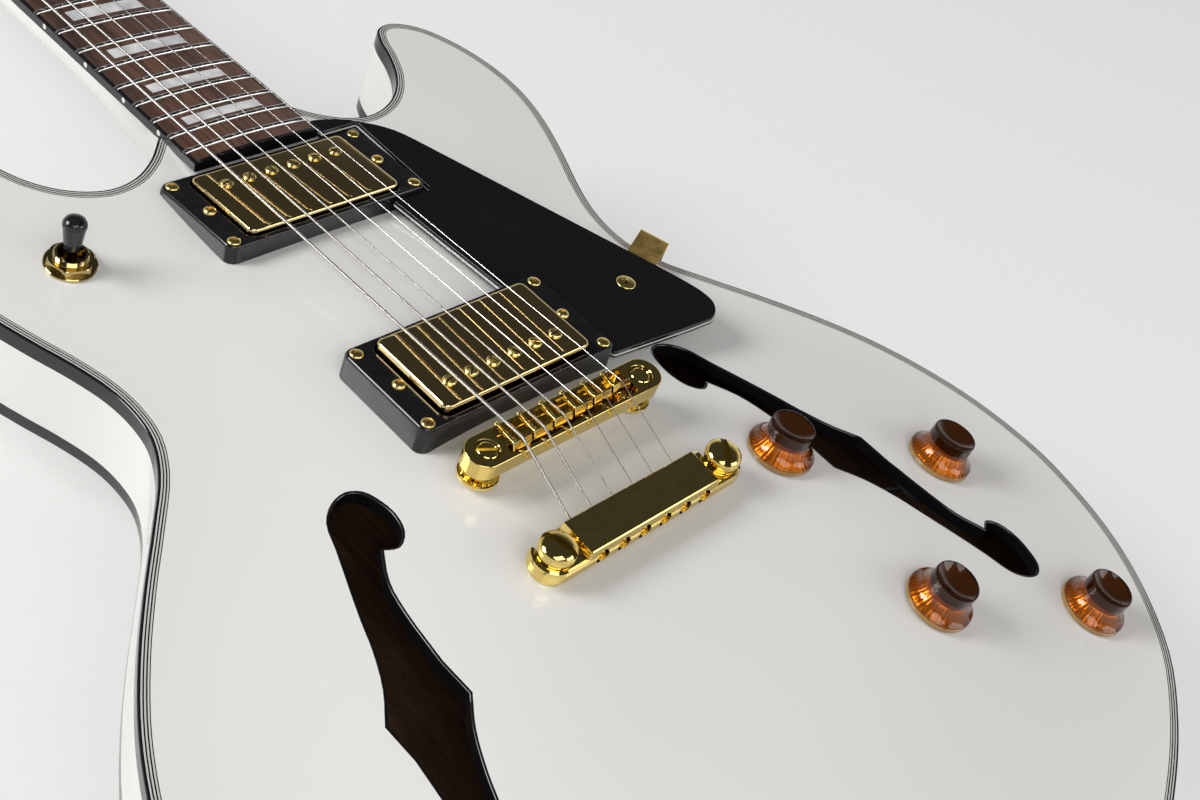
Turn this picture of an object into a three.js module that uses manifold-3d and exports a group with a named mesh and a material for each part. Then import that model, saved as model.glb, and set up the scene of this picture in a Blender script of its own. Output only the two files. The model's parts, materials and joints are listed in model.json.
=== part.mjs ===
// Semi-hollow electric guitar lying on its back, built as the separate pieces of the real one.
// Lengths are in millimetres and angles in degrees. +Z is up, +Y points at the headstock and +X is the
// treble side. The pieces are laid out in the body's own frame: x = 0 on the centre line, y = 0 under the
// saddles and z = 0 at the top edge of the sides. At the end the whole guitar is tipped onto its back.

import * as THREE from "three";
import { mergeVertices } from "three/addons/utils/BufferGeometryUtils.js";
import Module from "manifold-3d";

const wasm = await Module();
wasm.setup();

// Clearances and shared values
const SEAT_GAP = 0.3; // between pieces that rest on or stand beside each other
const RUN_GAP = 0.35; // between a turning piece and its bore
const OVERRUN = 40; // how far a cutting tool runs past what it cuts
const WELD = 0.0005; // corners closer than this are one corner
const SIDES_LARGE = 24;
const SIDES_MEDIUM = 12;
const SIDES_SMALL = 8;
const CORNER_STEPS = 2;

// Body outline
const BODY_LENGTH = 464.7;
const HORN_REACH = 221.3; // from the saddle line to the horns' tips
const BRIDGE_TO_TAIL = BODY_LENGTH - HORN_REACH;
const LOWER_BOUT = 390.4;
const WAIST = 223;
const UPPER_BOUT = 272.2;
const NECK_SHOULDER = 57.6; // width of the body's tongue at the neck
const SHOULDER_Y = 191.8;

// Body walls and arches
const RIM_DEPTH = 41.5;
const TOP_THICK = 5;
const BACK_THICK = 4.5;
const SIDE_WALL = 6;
const TOP_ARCH = 12;
const BACK_ARCH = 9;
const ARCH_REACH = 120; // distance from the edge at which the arch is at full height
const EDGE_FLAT = 7; // flat border of both plates
const ARCH_FADE_START = 20; // the top arch falls away towards the neck between these two places
const ARCH_FADE_END = 190;
const GRID_CELL = 32;
const BLOCK_WIDTH = 114;

// Sound holes: a point-symmetric f, given as one half
const F_CENTRE_X = LOWER_BOUT * 0.2659;
const F_CENTRE_Y = -BRIDGE_TO_TAIL * 0.2379;
const F_HALF_WIDTH = 36;
const F_HALF_LENGTH = BODY_LENGTH * 0.1644;

// Neck, fingerboard and nut, in the neck's frame: v along the neck from the saddle line, w up from the
// fingerboard's underside
const SCALE_LENGTH = 628.65;
const NECK_ANGLE = 6.5;
const NECK_RISE = 20.1;
const SADDLE_LINE = 1.5;
const BOARD_THICK = 5.2;
const BOARD_RADIUS = 305;
const BOARD_START = 168.6;
const BOARD_END_WIDTH = 57.2;
const NUT_WIDTH = 43;
const NUT_THICK = 5;
const NUT_TOP = 8.2;
const NUT_SPREAD = 35.6;
const FRETS = 22;
const FRET_WIDTH = 2.4;
const FRET_RISE = 1.1;
const NECK_DEPTH_NUT = 15.2;
const NECK_DEPTH_BODY = 17.2;
const HEEL_START = 262; // v where the shaft begins to deepen into the heel
const HEEL_END = 197;
const HEEL_DEPTH = 39;
const HEEL_BASE_WIDTH = 44;
const TENON_WIDTH = 38;
const TENON_LENGTH = 17;
const TENON_DEPTH = 24;
const ROD_SIDE = 5;
const ROD_COVER = 4.2; // wood left between the rod and the fingerboard
const ROD_START = 196;
const ROD_END = SCALE_LENGTH + 12.35;
const ROD_NUT_RADIUS = 3;
const ROD_NUT_LENGTH = 7;

// Headstock, in its own frame: u from the nut's far edge, h up from the face
const HEAD_ANGLE = 15;
const HEAD_THICK = 14.5;
const HEAD_LENGTH = 184;
const HEAD_WIDTH = 80;
const HEAD_FACE_DROP = 0.6;
const TRUSS_POCKET_LENGTH = 30;
const TRUSS_POCKET_WIDTH = 11;
const TRUSS_POCKET_DEPTH = 9.6;
const TRUSS_POCKET_START = 3;

// Tuners
const TUNER_FIRST = 42;
const TUNER_STEP = 38;
const TUNER_INSETS = [21.5, 23, 24.5];
const POST_RADIUS = 3.1;
const POST_NECK_RADIUS = 2.7;
const POST_HEIGHT = 17;
const POST_HOLE_RADIUS = 0.9;
const POST_HOLE_HEIGHT = 13;
const SLEEVE_RADIUS = 4.8;
const BUSHING_RADIUS = 6.4;
const BUSHING_THICK = 2.2;
const WASHER_RADIUS = 7.2;
const WASHER_THICK = 0.8;
const HOUSING_LENGTH = 24;
const HOUSING_WIDTH = 15;
const HOUSING_DEPTH = 11.5;
const HOUSING_CORNER = 5;
const WORM_RADIUS = 2;
const WORM_SOCKET = 5;
const WORM_OFFSET = 5.6; // the worm runs beside the post
const BUTTON_REACH = 22; // from the post's line to the button
const BUTTON_LENGTH = 15;
const BUTTON_WIDTH = 17;
const BUTTON_THICK = 7.5;
const BUTTON_CORNER = 3;
const COLLAR_RADIUS = 3.4;
const COLLAR_LENGTH = 4;

// Strings, bass first
const STRING_RADII = [0.58, 0.46, 0.33, 0.22, 0.19, 0.17];
const STRING_SIDES = 5;
const WRAP_TURNS = 2;
const WRAP_STEPS = 6;
const WRAP_SPARE = 0.5; // least gap between the turns on a post
const WRAP_HEIGHT = 11.6;
const BRIDGE_SPREAD = 50.5;
const STRING_HEIGHT = 28.7; // underside of the strings over the saddles
const BALL_RADIUS = 1.9;
const BALL_LENGTH = 3.4;
const STRING_BEND = 1.2; // length over which a string bends at a bearing point

// Bridge
const BRIDGE_POST_SPAN = 73.6;
const BRIDGE_LENGTH = 90;
const BRIDGE_WIDTH = 13.8;
const BRIDGE_TOP = 26.8;
const BRIDGE_HEIGHT = 7.4;
const BRIDGE_EDGE = 1.2;
const TROUGH_LENGTH = 61;
const TROUGH_WALL = 1.5;
const TROUGH_FLOOR = 1.6;
const SADDLE_WIDTH = 8.6;
const SADDLE_DEPTH = 3.9;
const SADDLE_CREST = 0.6;
const SADDLE_SHOULDER = 1.3;
const SADDLE_BORE = 1.25;
const SADDLE_SCREW_RADIUS = 0.85;
const SADDLE_SCREW_RISE = 3.2;
const SADDLE_SCREW_HEAD = 1.7;
const SADDLE_SCREW_HEAD_LENGTH = 1.5;
const NOTCH_FLOOR = 1; // the saddle's notch lies this far under the string
const NOTCH_SPARE = 0.35;
const BRIDGE_POST_RADIUS = 2.4;
const BRIDGE_POST_TOP = 0.1;
const THUMBWHEEL_RADIUS = 7.4;
const THUMBWHEEL_THICK = 2.6;
const THUMBWHEEL_DROP = 3.2;
const HUB_RADIUS = 3.6;
const POST_STEM_RADIUS = 2.9;
const POST_STEM_DEPTH = 16;
const POST_TRAVEL = 2; // how far the bridge can be let down
const SLOT_WIDTH = 1.3;
const SLOT_DEPTH = 1.1;

// Tailpiece
const TAIL_BAR_Y = -40.2;
const STUD_SPAN = 81.3;
const TAIL_BAR_LENGTH = 98;
const TAIL_BAR_WIDTH = 16;
const TAIL_BAR_BOTTOM = 14.6;
const TAIL_BAR_HEIGHT = 8.2;
const TAIL_BAR_NOSE = 3.2;
const TAIL_HOLE_RADIUS = 1.35;
const TAIL_HOLE_RISE = 3.6;
const BALL_POCKET_RADIUS = 2.5;
const BALL_POCKET_DEPTH = 4.6;
const FORK_WIDTH = 8.8;
const STUD_HEAD_RADIUS = 7;
const STUD_HEAD_THICK = 2.4;
const STUD_NECK_RADIUS = 4;
const STUD_FLANGE_RADIUS = 6.6;
const STUD_FLANGE_THICK = 2;
const STUD_STEM_RADIUS = 5;
const STUD_STEM_DEPTH = 16;
const STUD_SLOT_WIDTH = 2.4;
const STUD_SLOT_DEPTH = 1.6;

// Pickups and their rings
const RING_LENGTH = 92;
const RING_WIDTH = 44.6;
const RING_CORNER = 4;
const RING_WINDOW_LENGTH = 71;
const RING_WINDOW_WIDTH = 39.4;
const RING_BEVEL = 1;
const NECK_RING_Y = 145.4;
const NECK_RING_TOP = 5.6;
const NECK_RING_TILT = -8.3;
const BRIDGE_RING_Y = 40.3;
const BRIDGE_RING_TOP = 17.8;
const BRIDGE_RING_TILT = -4.9;
const RING_SCREW_SPAN = 83.9;
const RING_SCREW_ROW = 37.3;
const RING_SCREW_RADIUS = 2.5;
const RING_SCREW_RISE = 0.7;
const HEIGHT_SCREW_SPAN = 77.8;
const HEIGHT_SCREW_RADIUS = 1.2;
const HEIGHT_SCREW_HEAD = 2.5;
const HEIGHT_SCREW_LENGTH = 21;
const COVER_LENGTH = 69.6;
const COVER_WIDTH = 38;
const COVER_DEPTH = 15;
const COVER_CORNER = 3;
const COVER_BEVEL = 1.2;
const NECK_COVER_RISE = 2.2;
const BRIDGE_COVER_RISE = 3.4;
const BASE_THICK = 1.8;
const EAR_LENGTH = 86;
const EAR_WIDTH = 13;
const EAR_HOLE = 1.6;
const POLE_SPAN = 50.4;
const POLE_ROW = 9.1;
const POLE_RADIUS = 2.4;
const POLE_RISE = 0.9;
const POLE_LENGTH = 19.5;
const POLE_SHANK = 1.6;
const ROUTE_SPARE = 1.6;
const ROUTE_SIDE_SPARE = 1.1;
const ROUTE_FLOOR = 7;

// Pickguard and bracket
const GUARD_THICK = 2.6;
const GUARD_SPARE = 0.6; // between the guard and the rings
const GUARD_HIGH_Y = 40;
const GUARD_HIGH_TOP = 13.2;
const GUARD_TILT = -4.1;
const GUARD_INNER_LOW_X = 32.6;
const GUARD_INNER_HIGH_X = 27.8;
const GUARD_TAIL_X = 85;
const GUARD_TAIL_Y = 14.2;
const GUARD_TIP_X = 105.4;
const GUARD_TIP_Y = 21;
const GUARD_TIP_TOP_X = 103;
const GUARD_TIP_TOP_Y = 31.4;
const GUARD_TIP_CORNER_X = 98.4;
const GUARD_TIP_CORNER_Y = 13.6;
const GUARD_TIP_ROUND_X = 102.2;
const GUARD_TIP_ROUND_Y = 16.8;
const GUARD_BEND_X = 58.2;
const GUARD_BEND_Y = 160.4;
const GUARD_HORN_X = 42.5;
const GUARD_HORN_Y = 173.4;
const GUARD_TOP_Y = 176.8;
const GUARD_SCREW_X = 80.4;
const GUARD_SCREW_Y = 45;
const GUARD_SCREW_RADIUS = 3;
const GUARD_SCREW_RISE = 0.9;
const BRACKET_WIDTH = 12.6;
const BRACKET_THICK = 1.6;
const BRACKET_DROP = 30;
const BRACKET_SIDE_Y = 61.6; // where the strip turns down over the side
const BRACKET_INNER = 7; // how far the strip runs in past the guard's screw
const BRACKET_STANDOFF = 1.1;

// Knobs, potentiometers and wires
// the knobs' places: shares of the lower bout's width from the middle and of the way to the tail
const KNOB_ACROSS = [0.19083, 0.36245, 0.19442, 0.36475];
const KNOB_DOWN = [0.1857, 0.32005, 0.50164, 0.64215];
const KNOB_X = KNOB_ACROSS.map((share) => share * LOWER_BOUT);
const KNOB_Y = KNOB_DOWN.map((share) => -share * BRIDGE_TO_TAIL);
const KNOB_NAMES = ["neck_volume", "neck_tone", "bridge_volume", "bridge_tone"];
const KNOB_SKIRT_RADIUS = 12.6;
const KNOB_SKIRT_THICK = 1.6;
const KNOB_BASE_RADIUS = 11.6;
const KNOB_CROWN_RADIUS = 9;
const KNOB_SHOULDER = 5.2;
const KNOB_HEIGHT = 13.6;
const KNOB_DISH = 0.8;
const KNOB_DISH_RADIUS = 6.6;
const KNOB_HOLLOW_RADIUS = 8;
const KNOB_HOLLOW_DEPTH = 4.6;
const KNOB_LIFT = 1.4; // skirt above the top
const SHAFT_RADIUS = 3;
const SHAFT_DEPTH = 9;
const BUSHING_OUTER = 4.5;
const POT_HOLE_SPARE = 0.5;
const POT_NUT_RADIUS = 6.6;
const POT_NUT_THICK = 2;
const POT_RADIUS = 8.4;
const POT_DEPTH = 9;
const POT_DROP = 2.2; // can below the plate's underside
const LUG_WIDTH = 9;
const LUG_REACH = 13;
const LUG_THICK = 1.6;
const WIRE_RADIUS = 0.9;
const WIRE_SIDES = 5;
const WIRE_SAG = 4;

// Toggle switch
const SWITCH_X = -UPPER_BOUT * 0.3446;
const SWITCH_Y = 146;
const SWITCH_BUSHING = 6;
const SWITCH_BORE = 4.7;
const SWITCH_RISE = 5.4;
const SWITCH_NUT_RADIUS = 8.6;
const SWITCH_NUT_THICK = 2.4;
const SWITCH_WASHER_RADIUS = 9.6;
const SWITCH_WASHER_THICK = 0.7;
const SWITCH_FRAME_LENGTH = 30;
const SWITCH_FRAME_WIDTH = 17;
const SWITCH_FRAME_DEPTH = 20;
const LEVER_RADIUS = 1.7;
const LEVER_TAIL = 6;
const PIVOT_RADIUS = 0.9;
const PIVOT_REACH = 5.4;
const TIP_RADIUS = 4.1;
const TIP_NECK_RADIUS = 2.6;
const TIP_START = 10;
const TIP_LENGTH = 13.4;

// Output jack and strap buttons
const JACK_FROM_TAIL = BODY_LENGTH * 0.3241;
const JACK_HEIGHT = -20.5;
const JACK_BORE = 3.25;
const JACK_BARREL = 4.7;
const JACK_PLATE_RADIUS = 12.4;
const JACK_PLATE_THICK = 1.5;
const JACK_NUT_RADIUS = 7.6;
const JACK_NUT_THICK = 2.4;
const JACK_NECK_OUT = 4.6;
const JACK_NECK_IN = 12;
const JACK_FRAME_RADIUS = 8.6;
const JACK_FRAME_LENGTH = 13;
const BUTTON_BASE_RADIUS = 6.4;
const BUTTON_WAIST_RADIUS = 4.2;
const BUTTON_HEAD_RADIUS = 7.6;
const BUTTON_STAND = 13.4;
const BUTTON_HEAD_THICK = 3;
const BUTTON_SCREW_RADIUS = 2.1;
const BUTTON_SCREW_LENGTH = 14;
const HORN_BUTTON_X = -UPPER_BOUT * 0.3894;
const HORN_BLOCK_WIDTH = 18;
const HORN_BLOCK_LENGTH = 13;

// Half of the body's outline from the tail's middle round to the neck. The first value is a share of
// the half width that the list follows, the second a share of the body's length from the tail.
const LOWER_BOUT_SHARES = [
  [0, 0],
  [0.174, 0.0052],
  [0.348, 0.0211],
  [0.524, 0.0489],
  [0.673, 0.0809],
  [0.807, 0.1224],
  [0.911, 0.1801],
  [0.967, 0.2333],
  [0.995, 0.2885],
  [1, 0.3241],
  [0.983, 0.3826],
  [0.944, 0.4356],
  [0.89, 0.4842],
  [0.823, 0.5285],
  [0.749, 0.5698],
  [0.672, 0.6092],
];
const WAIST_SHARES = [
  [1.063, 0.6443],
  [1.01, 0.6723],
  [1, 0.697],
  [1.013, 0.7216],
  [1.053, 0.7507],
];
const UPPER_BOUT_SHARES = [
  [0.913, 0.7848],
  [0.961, 0.8216],
  [0.993, 0.8584],
  [1, 0.8918],
  [0.982, 0.9262],
  [0.938, 0.9606],
  [0.875, 0.987],
  [0.793, 1],
  [0.735, 0.9965],
  [0.704, 0.983],
  [0.68, 0.961],
  [0.645, 0.9385],
  [0.595, 0.9195],
  [0.525, 0.9047],
  [0.441, 0.8978],
  [0.36, 0.902],
  [0.282, 0.916],
];

// Half of the treble sound hole from its outer notch round the upper lobe to its inner notch, as shares
// of the hole's half width and half length. The other half is the same, turned by half a turn.
const F_HOLE_SHARES = [
  [0.353, 0.035],
  [0.161, 0.162],
  [-0.006, 0.326],
  [-0.117, 0.47],
  [-0.394, 0.79],
  [-0.506, 0.922],
  [-0.66, 0.985],
  [-0.814, 1],
  [-0.93, 0.965],
  [-0.99, 0.88],
  [-1, 0.8],
  [-0.945, 0.715],
  [-0.82, 0.669],
  [-0.686, 0.7],
  [-0.5, 0.55],
  [-0.417, 0.393],
  [-0.35, 0.137],
];

// The heel's depth and half width between where it starts and where it meets the body: share of the
// way, share of the added depth, share of the narrowing
const HEEL_SHARES = [
  [0, 0, 0],
  [0.3, 0.06, 0],
  [0.5, 0.2, 0.05],
  [0.68, 0.45, 0.2],
  [0.84, 0.76, 0.55],
  [1, 1, 0.9],
];

// Half of the headstock's outline: share of the half width, share of the length
const HEAD_SHARES = [
  [0.56, 0.075],
  [0.7, 0.14],
  [0.86, 0.2],
  [0.93, 0.3],
  [0.95, 0.6],
  [1, 0.9],
  [0.93, 0.962],
  [0.5, 0.99],
];

// Half round of the neck's back, from the board's edge down to the middle: share of the half width,
// share of the depth
const NECK_ROUND_SHARES = [
  [1, 0],
  [0.985, 0.22],
  [0.9, 0.52],
  [0.7, 0.8],
  [0.38, 0.965],
];

// Where the crowned board's section has its points, across the half width.
const BOARD_CROWN_SHARES = [1, 0.5, 0, -0.5, -1];

const finish = (color, roughness, metalness) =>
  new THREE.MeshStandardMaterial({ color, roughness, metalness });

const WHITE_GLOSS = finish(0xe9e7e4, 0.12, 0);
const BARE_WOOD = finish(0x9a7448, 0.7, 0);
const ROSEWOOD = finish(0x4a2f23, 0.5, 0);
const BONE = finish(0xeae4d2, 0.4, 0);
const STEEL = finish(0xb9b9bb, 0.3, 1);
const GOLD = finish(0xd9a93b, 0.18, 1);
const BLACK_GLOSS = finish(0x0b0b0c, 0.15, 0);
const AMBER = finish(0x8a4a14, 0.15, 0);
const WIRE_COAT = finish(0x2a2a2c, 0.6, 0);

const guitar = new THREE.Group();
const neckFrame = new THREE.Group();
const headFrame = new THREE.Group();
neckFrame.position.set(0, SADDLE_LINE, NECK_RISE);
neckFrame.rotation.x = -THREE.MathUtils.degToRad(NECK_ANGLE);
headFrame.position.set(0, SCALE_LENGTH + NUT_THICK, -HEAD_FACE_DROP);
headFrame.rotation.x = -THREE.MathUtils.degToRad(HEAD_ANGLE);
neckFrame.add(headFrame);
guitar.add(neckFrame);
guitar.updateMatrixWorld(true);

// Solids

// A closed indexed mesh with shared corners, facing out.
function weld(geometry) {
  if (geometry.userData.welded) return geometry;
  const bare = geometry.index ? geometry.toNonIndexed() : geometry.clone();
  bare.deleteAttribute("normal");
  bare.deleteAttribute("uv");
  const merged = mergeVertices(bare, WELD);
  const places = merged.attributes.position;
  const corners = [new THREE.Vector3(), new THREE.Vector3(), new THREE.Vector3()];
  const triangles = [];
  let volume = 0;
  for (let i = 0; i < merged.index.count; i += 3) {
    const [a, b, c] = [0, 1, 2].map((k) => merged.index.getX(i + k));
    if (a === b || b === c || c === a) continue;
    [a, b, c].forEach((vertex, k) => corners[k].fromBufferAttribute(places, vertex));
    volume += corners[0].dot(corners[1].cross(corners[2]));
    triangles.push([a, b, c]);
  }
  const facing = volume > 0 ? triangles : triangles.map(([a, b, c]) => [a, c, b]);
  merged.setIndex(facing.flat());
  merged.userData = { welded: true };
  return merged;
}

function toManifold(geometry) {
  const closed = weld(geometry);
  return new wasm.Manifold(
    new wasm.Mesh({
      numProp: 3,
      vertProperties: Float32Array.from(closed.attributes.position.array),
      triVerts: Uint32Array.from(closed.index.array),
    }),
  );
}

function fromManifold(solid) {
  const { vertProperties, triVerts } = solid.getMesh();
  const geometry = new THREE.BufferGeometry();
  geometry.setAttribute("position", new THREE.Float32BufferAttribute(vertProperties, 3));
  geometry.setIndex(Array.from(triVerts));
  geometry.userData.welded = true;
  return geometry;
}

function join(first, ...others) {
  return fromManifold(others.reduce((sum, part) => sum.add(toManifold(part)), toManifold(first)));
}

function cut(first, ...tools) {
  return fromManifold(
    tools.reduce((rest, tool) => rest.subtract(toManifold(tool)), toManifold(first)),
  );
}

function meet(first, second) {
  return fromManifold(toManifold(first).intersect(toManifold(second)));
}

function moved(geometry, matrix) {
  const copy = geometry.clone();
  copy.userData = { ...geometry.userData };
  return copy.applyMatrix4(matrix);
}

function at(geometry, x, y, z) {
  return moved(geometry, new THREE.Matrix4().makeTranslation(x, y, z));
}

function turned(geometry, axis, degrees) {
  const angle = THREE.MathUtils.degToRad(degrees);
  return moved(geometry, new THREE.Matrix4().makeRotationAxis(axis, angle));
}

const X_AXIS = new THREE.Vector3(1, 0, 0);
const Y_AXIS = new THREE.Vector3(0, 1, 0);
const Z_AXIS = new THREE.Vector3(0, 0, 1);
const QUARTER = 90;

// A box between two corners.
function box(x0, x1, y0, y1, z0, z1) {
  const geometry = new THREE.BoxGeometry(x1 - x0, y1 - y0, z1 - z0);
  return geometry.translate((x0 + x1) / 2, (y0 + y1) / 2, (z0 + z1) / 2);
}

// A cylinder or cone that stands on z0 and reaches z1.
function cylinder(radius, z0, z1, sides = SIDES_MEDIUM, topRadius = radius) {
  const geometry = new THREE.CylinderGeometry(topRadius, radius, z1 - z0, sides);
  return geometry.rotateX(Math.PI / 2).translate(0, 0, (z0 + z1) / 2);
}

// A turned piece from a profile of [radius, z] points that starts and ends on the axis.
function turning(profile, sides = SIDES_MEDIUM) {
  const points = profile.map(([radius, z]) => new THREE.Vector2(radius, z));
  return new THREE.LatheGeometry(points, sides).rotateX(Math.PI / 2);
}

// A plate of the given outline between two heights.
function plate(points, z0, z1) {
  const shape = points instanceof THREE.Shape ? points : new THREE.Shape(points);
  const options = { depth: z1 - z0, bevelEnabled: false, curveSegments: CORNER_STEPS };
  return new THREE.ExtrudeGeometry(shape, options).translate(0, 0, z0);
}

function roundedShape(width, height, corner) {
  const shape = new THREE.Shape();
  const [x, y] = [width / 2 - corner, height / 2 - corner];
  shape.absarc(x, y, corner, 0, Math.PI / 2);
  shape.absarc(-x, y, corner, Math.PI / 2, Math.PI);
  shape.absarc(-x, -y, corner, Math.PI, -Math.PI / 2);
  shape.absarc(x, -y, corner, -Math.PI / 2, 0);
  return shape;
}

// A rounded plate whose upper edge is bevelled.
function bevelledPlate(width, height, corner, z0, z1, bevel) {
  const lower = plate(roundedShape(width, height, corner), z0, z1 - bevel);
  const options = {
    depth: 0,
    bevelEnabled: true,
    bevelThickness: bevel,
    bevelSize: bevel,
    bevelOffset: -bevel,
    bevelSegments: 1,
    curveSegments: CORNER_STEPS,
  };
  const cap = new THREE.ExtrudeGeometry(roundedShape(width, height, corner), options);
  return join(lower, cap.translate(0, 0, z1 - bevel));
}

// A path through hand-picked stations, kept as they are and not spaced evenly.
class Route extends THREE.Curve {
  constructor(stations) {
    super();
    this.stations = stations;
  }

  getPoint(share, target = new THREE.Vector3()) {
    const last = this.stations.length - 1;
    const place = share * last;
    const index = Math.min(Math.floor(place), last - 1);
    return target.lerpVectors(this.stations[index], this.stations[index + 1], place - index);
  }

  getPointAt(share, target) {
    return this.getPoint(share, target);
  }

  getTangentAt(share, target = new THREE.Vector3()) {
    const last = this.stations.length - 1;
    const index = Math.round(share * last);
    const before = this.stations[Math.max(index - 1, 0)];
    const after = this.stations[Math.min(index + 1, last)];
    const here = this.stations[index];
    const incoming = here.clone().sub(before).normalize();
    const outgoing = after.clone().sub(here).normalize();
    return target.copy(incoming).add(outgoing).normalize();
  }
}

// A round wire along a list of stations.
function wire(stations, radius, sides) {
  const section = new THREE.Shape();
  section.absarc(0, 0, radius, 0, 2 * Math.PI);
  const ring = new THREE.Shape(section.getSpacedPoints(sides).slice(0, sides));
  return new THREE.ExtrudeGeometry(ring, {
    steps: stations.length - 1,
    bevelEnabled: false,
    extrudePath: new Route(stations),
  });
}

// A skin over equal rings of points, closed at both ends.
function loft(rings) {
  const count = rings[0].length;
  const places = rings.flat();
  const faces = [];
  for (let ring = 0; ring + 1 < rings.length; ring += 1) {
    for (let k = 0; k < count; k += 1) {
      const [a, b] = [ring * count + k, ring * count + ((k + 1) % count)];
      faces.push(a, b, b + count, a, b + count, a + count);
    }
  }
  const last = (rings.length - 1) * count;
  for (let k = 1; k + 1 < count; k += 1) {
    faces.push(0, k + 1, k);
    faces.push(last, last + k, last + k + 1);
  }
  const geometry = new THREE.BufferGeometry().setFromPoints(places);
  geometry.setIndex(faces);
  return geometry;
}

function addPiece(name, geometry, material, parent = guitar) {
  const mesh = new THREE.Mesh(weld(geometry), material);
  mesh.name = name;
  parent.add(mesh);
  return mesh;
}

const mirrorX = (points) => points.map((p) => new THREE.Vector2(-p.x, p.y)).reverse();

// Body outline and arches

const TAIL_Y = -BRIDGE_TO_TAIL;

function halfOutline() {
  const follow = (shares, width) =>
    shares.map(([x, y]) => new THREE.Vector2((x * width) / 2, TAIL_Y + y * BODY_LENGTH));
  return [
    ...follow(LOWER_BOUT_SHARES, LOWER_BOUT),
    ...follow(WAIST_SHARES, WAIST),
    ...follow(UPPER_BOUT_SHARES, UPPER_BOUT),
    new THREE.Vector2(NECK_SHOULDER / 2, SHOULDER_Y),
  ];
}

const treble = halfOutline();
const OUTLINE = [...treble, ...mirrorX(treble).slice(0, -1)];

// The outline moved in by a wall's thickness.
function insetOutline(wall) {
  const count = OUTLINE.length;
  return OUTLINE.map((point, index) => {
    const before = OUTLINE[(index + count - 1) % count];
    const after = OUTLINE[(index + 1) % count];
    const incoming = point.clone().sub(before).normalize();
    const outgoing = after.clone().sub(point).normalize();
    const along = incoming.clone().add(outgoing).normalize();
    const spread = Math.max(along.dot(outgoing), 1 / 2);
    return new THREE.Vector2(point.x - (along.y * wall) / spread, point.y + (along.x * wall) / spread);
  });
}

// Where the treble side lies at a height along the body, and which way it runs there.
function trebleSide(y) {
  const index = treble.findIndex((point) => point.y > y);
  const [below, above] = [treble[index - 1], treble[index]];
  const x = below.x + ((above.x - below.x) * (y - below.y)) / (above.y - below.y);
  return { x, turn: THREE.MathUtils.radToDeg(Math.atan2(below.x - above.x, above.y - below.y)) };
}

function insideOutline(x, y) {
  let inside = false;
  OUTLINE.forEach((a, index) => {
    const b = OUTLINE[(index + 1) % OUTLINE.length];
    const crosses = a.y > y !== b.y > y;
    if (crosses && x < a.x + ((y - a.y) * (b.x - a.x)) / (b.y - a.y)) inside = !inside;
  });
  return inside;
}

function edgeDistance(x, y) {
  if (!insideOutline(x, y)) return 0;
  const point = new THREE.Vector3(x, y, 0);
  const nearest = new THREE.Vector3();
  return OUTLINE.reduce((least, a, index) => {
    const b = OUTLINE[(index + 1) % OUTLINE.length];
    const side = new THREE.Line3(new THREE.Vector3(a.x, a.y, 0), new THREE.Vector3(b.x, b.y, 0));
    side.closestPointToPoint(point, true, nearest);
    return Math.min(least, nearest.distanceTo(point));
  }, Infinity);
}

function archShare(x, y) {
  return THREE.MathUtils.smoothstep(edgeDistance(x, y), EDGE_FLAT, ARCH_REACH);
}

// Height of the top's outer surface over the sides' upper edge.
function topHeight(x, y) {
  const gone = THREE.MathUtils.clamp((y - ARCH_FADE_START) / (ARCH_FADE_END - ARCH_FADE_START), 0, 1);
  return (TOP_ARCH * archShare(x, y) * (1 + Math.cos(Math.PI * gone))) / 2;
}

// Height of the back's outer surface.
function backHeight(x, y) {
  return -RIM_DEPTH - BACK_ARCH * archShare(x, y);
}

const GRID_X = Math.ceil((LOWER_BOUT / 2 + GRID_CELL / 2) / GRID_CELL);
const GRID_Y = Math.ceil((BODY_LENGTH + GRID_CELL / 2) / GRID_CELL);

// A slab over the whole body between two surfaces.
function slab(upper, lower) {
  const columns = 2 * GRID_X + 1;
  const rows = GRID_Y + 2;
  const places = [];
  const faces = [];
  for (let row = 0; row < rows; row += 1) {
    for (let column = 0; column < columns; column += 1) {
      const x = (column - GRID_X) * GRID_CELL;
      const y = TAIL_Y - GRID_CELL / 2 + row * GRID_CELL;
      places.push(new THREE.Vector3(x, y, lower(x, y)), new THREE.Vector3(x, y, upper(x, y)));
    }
  }
  const low = (row, column) => 2 * (row * columns + column);
  for (let row = 0; row + 1 < rows; row += 1) {
    for (let column = 0; column + 1 < columns; column += 1) {
      const [a, b] = [low(row, column), low(row, column + 1)];
      const [c, d] = [low(row + 1, column + 1), low(row + 1, column)];
      faces.push(a, d, c, a, c, b);
      faces.push(a + 1, b + 1, c + 1, a + 1, c + 1, d + 1);
    }
  }
  const wall = (a, b) => faces.push(a, b, b + 1, a, b + 1, a + 1);
  for (let column = 0; column + 1 < columns; column += 1) {
    wall(low(0, column), low(0, column + 1));
    wall(low(rows - 1, column + 1), low(rows - 1, column));
  }
  for (let row = 0; row + 1 < rows; row += 1) {
    wall(low(row + 1, 0), low(row, 0));
    wall(low(row, columns - 1), low(row + 1, columns - 1));
  }
  const geometry = new THREE.BufferGeometry().setFromPoints(places);
  geometry.setIndex(faces);
  return geometry;
}

const outsidePrism = plate(OUTLINE, -RIM_DEPTH - OVERRUN, OVERRUN);
const underTop = (x, y) => topHeight(x, y) - TOP_THICK - SEAT_GAP;
const overBack = (x, y) => backHeight(x, y) + BACK_THICK + SEAT_GAP;
const core = slab(underTop, overBack);
// Everything below the top's outer surface and a seat's gap, to shape what stands on the top.
const topSeat = slab(
  (x, y) => topHeight(x, y) + SEAT_GAP,
  () => -RIM_DEPTH - OVERRUN,
);

// Frames of what is mounted on the top

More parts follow.
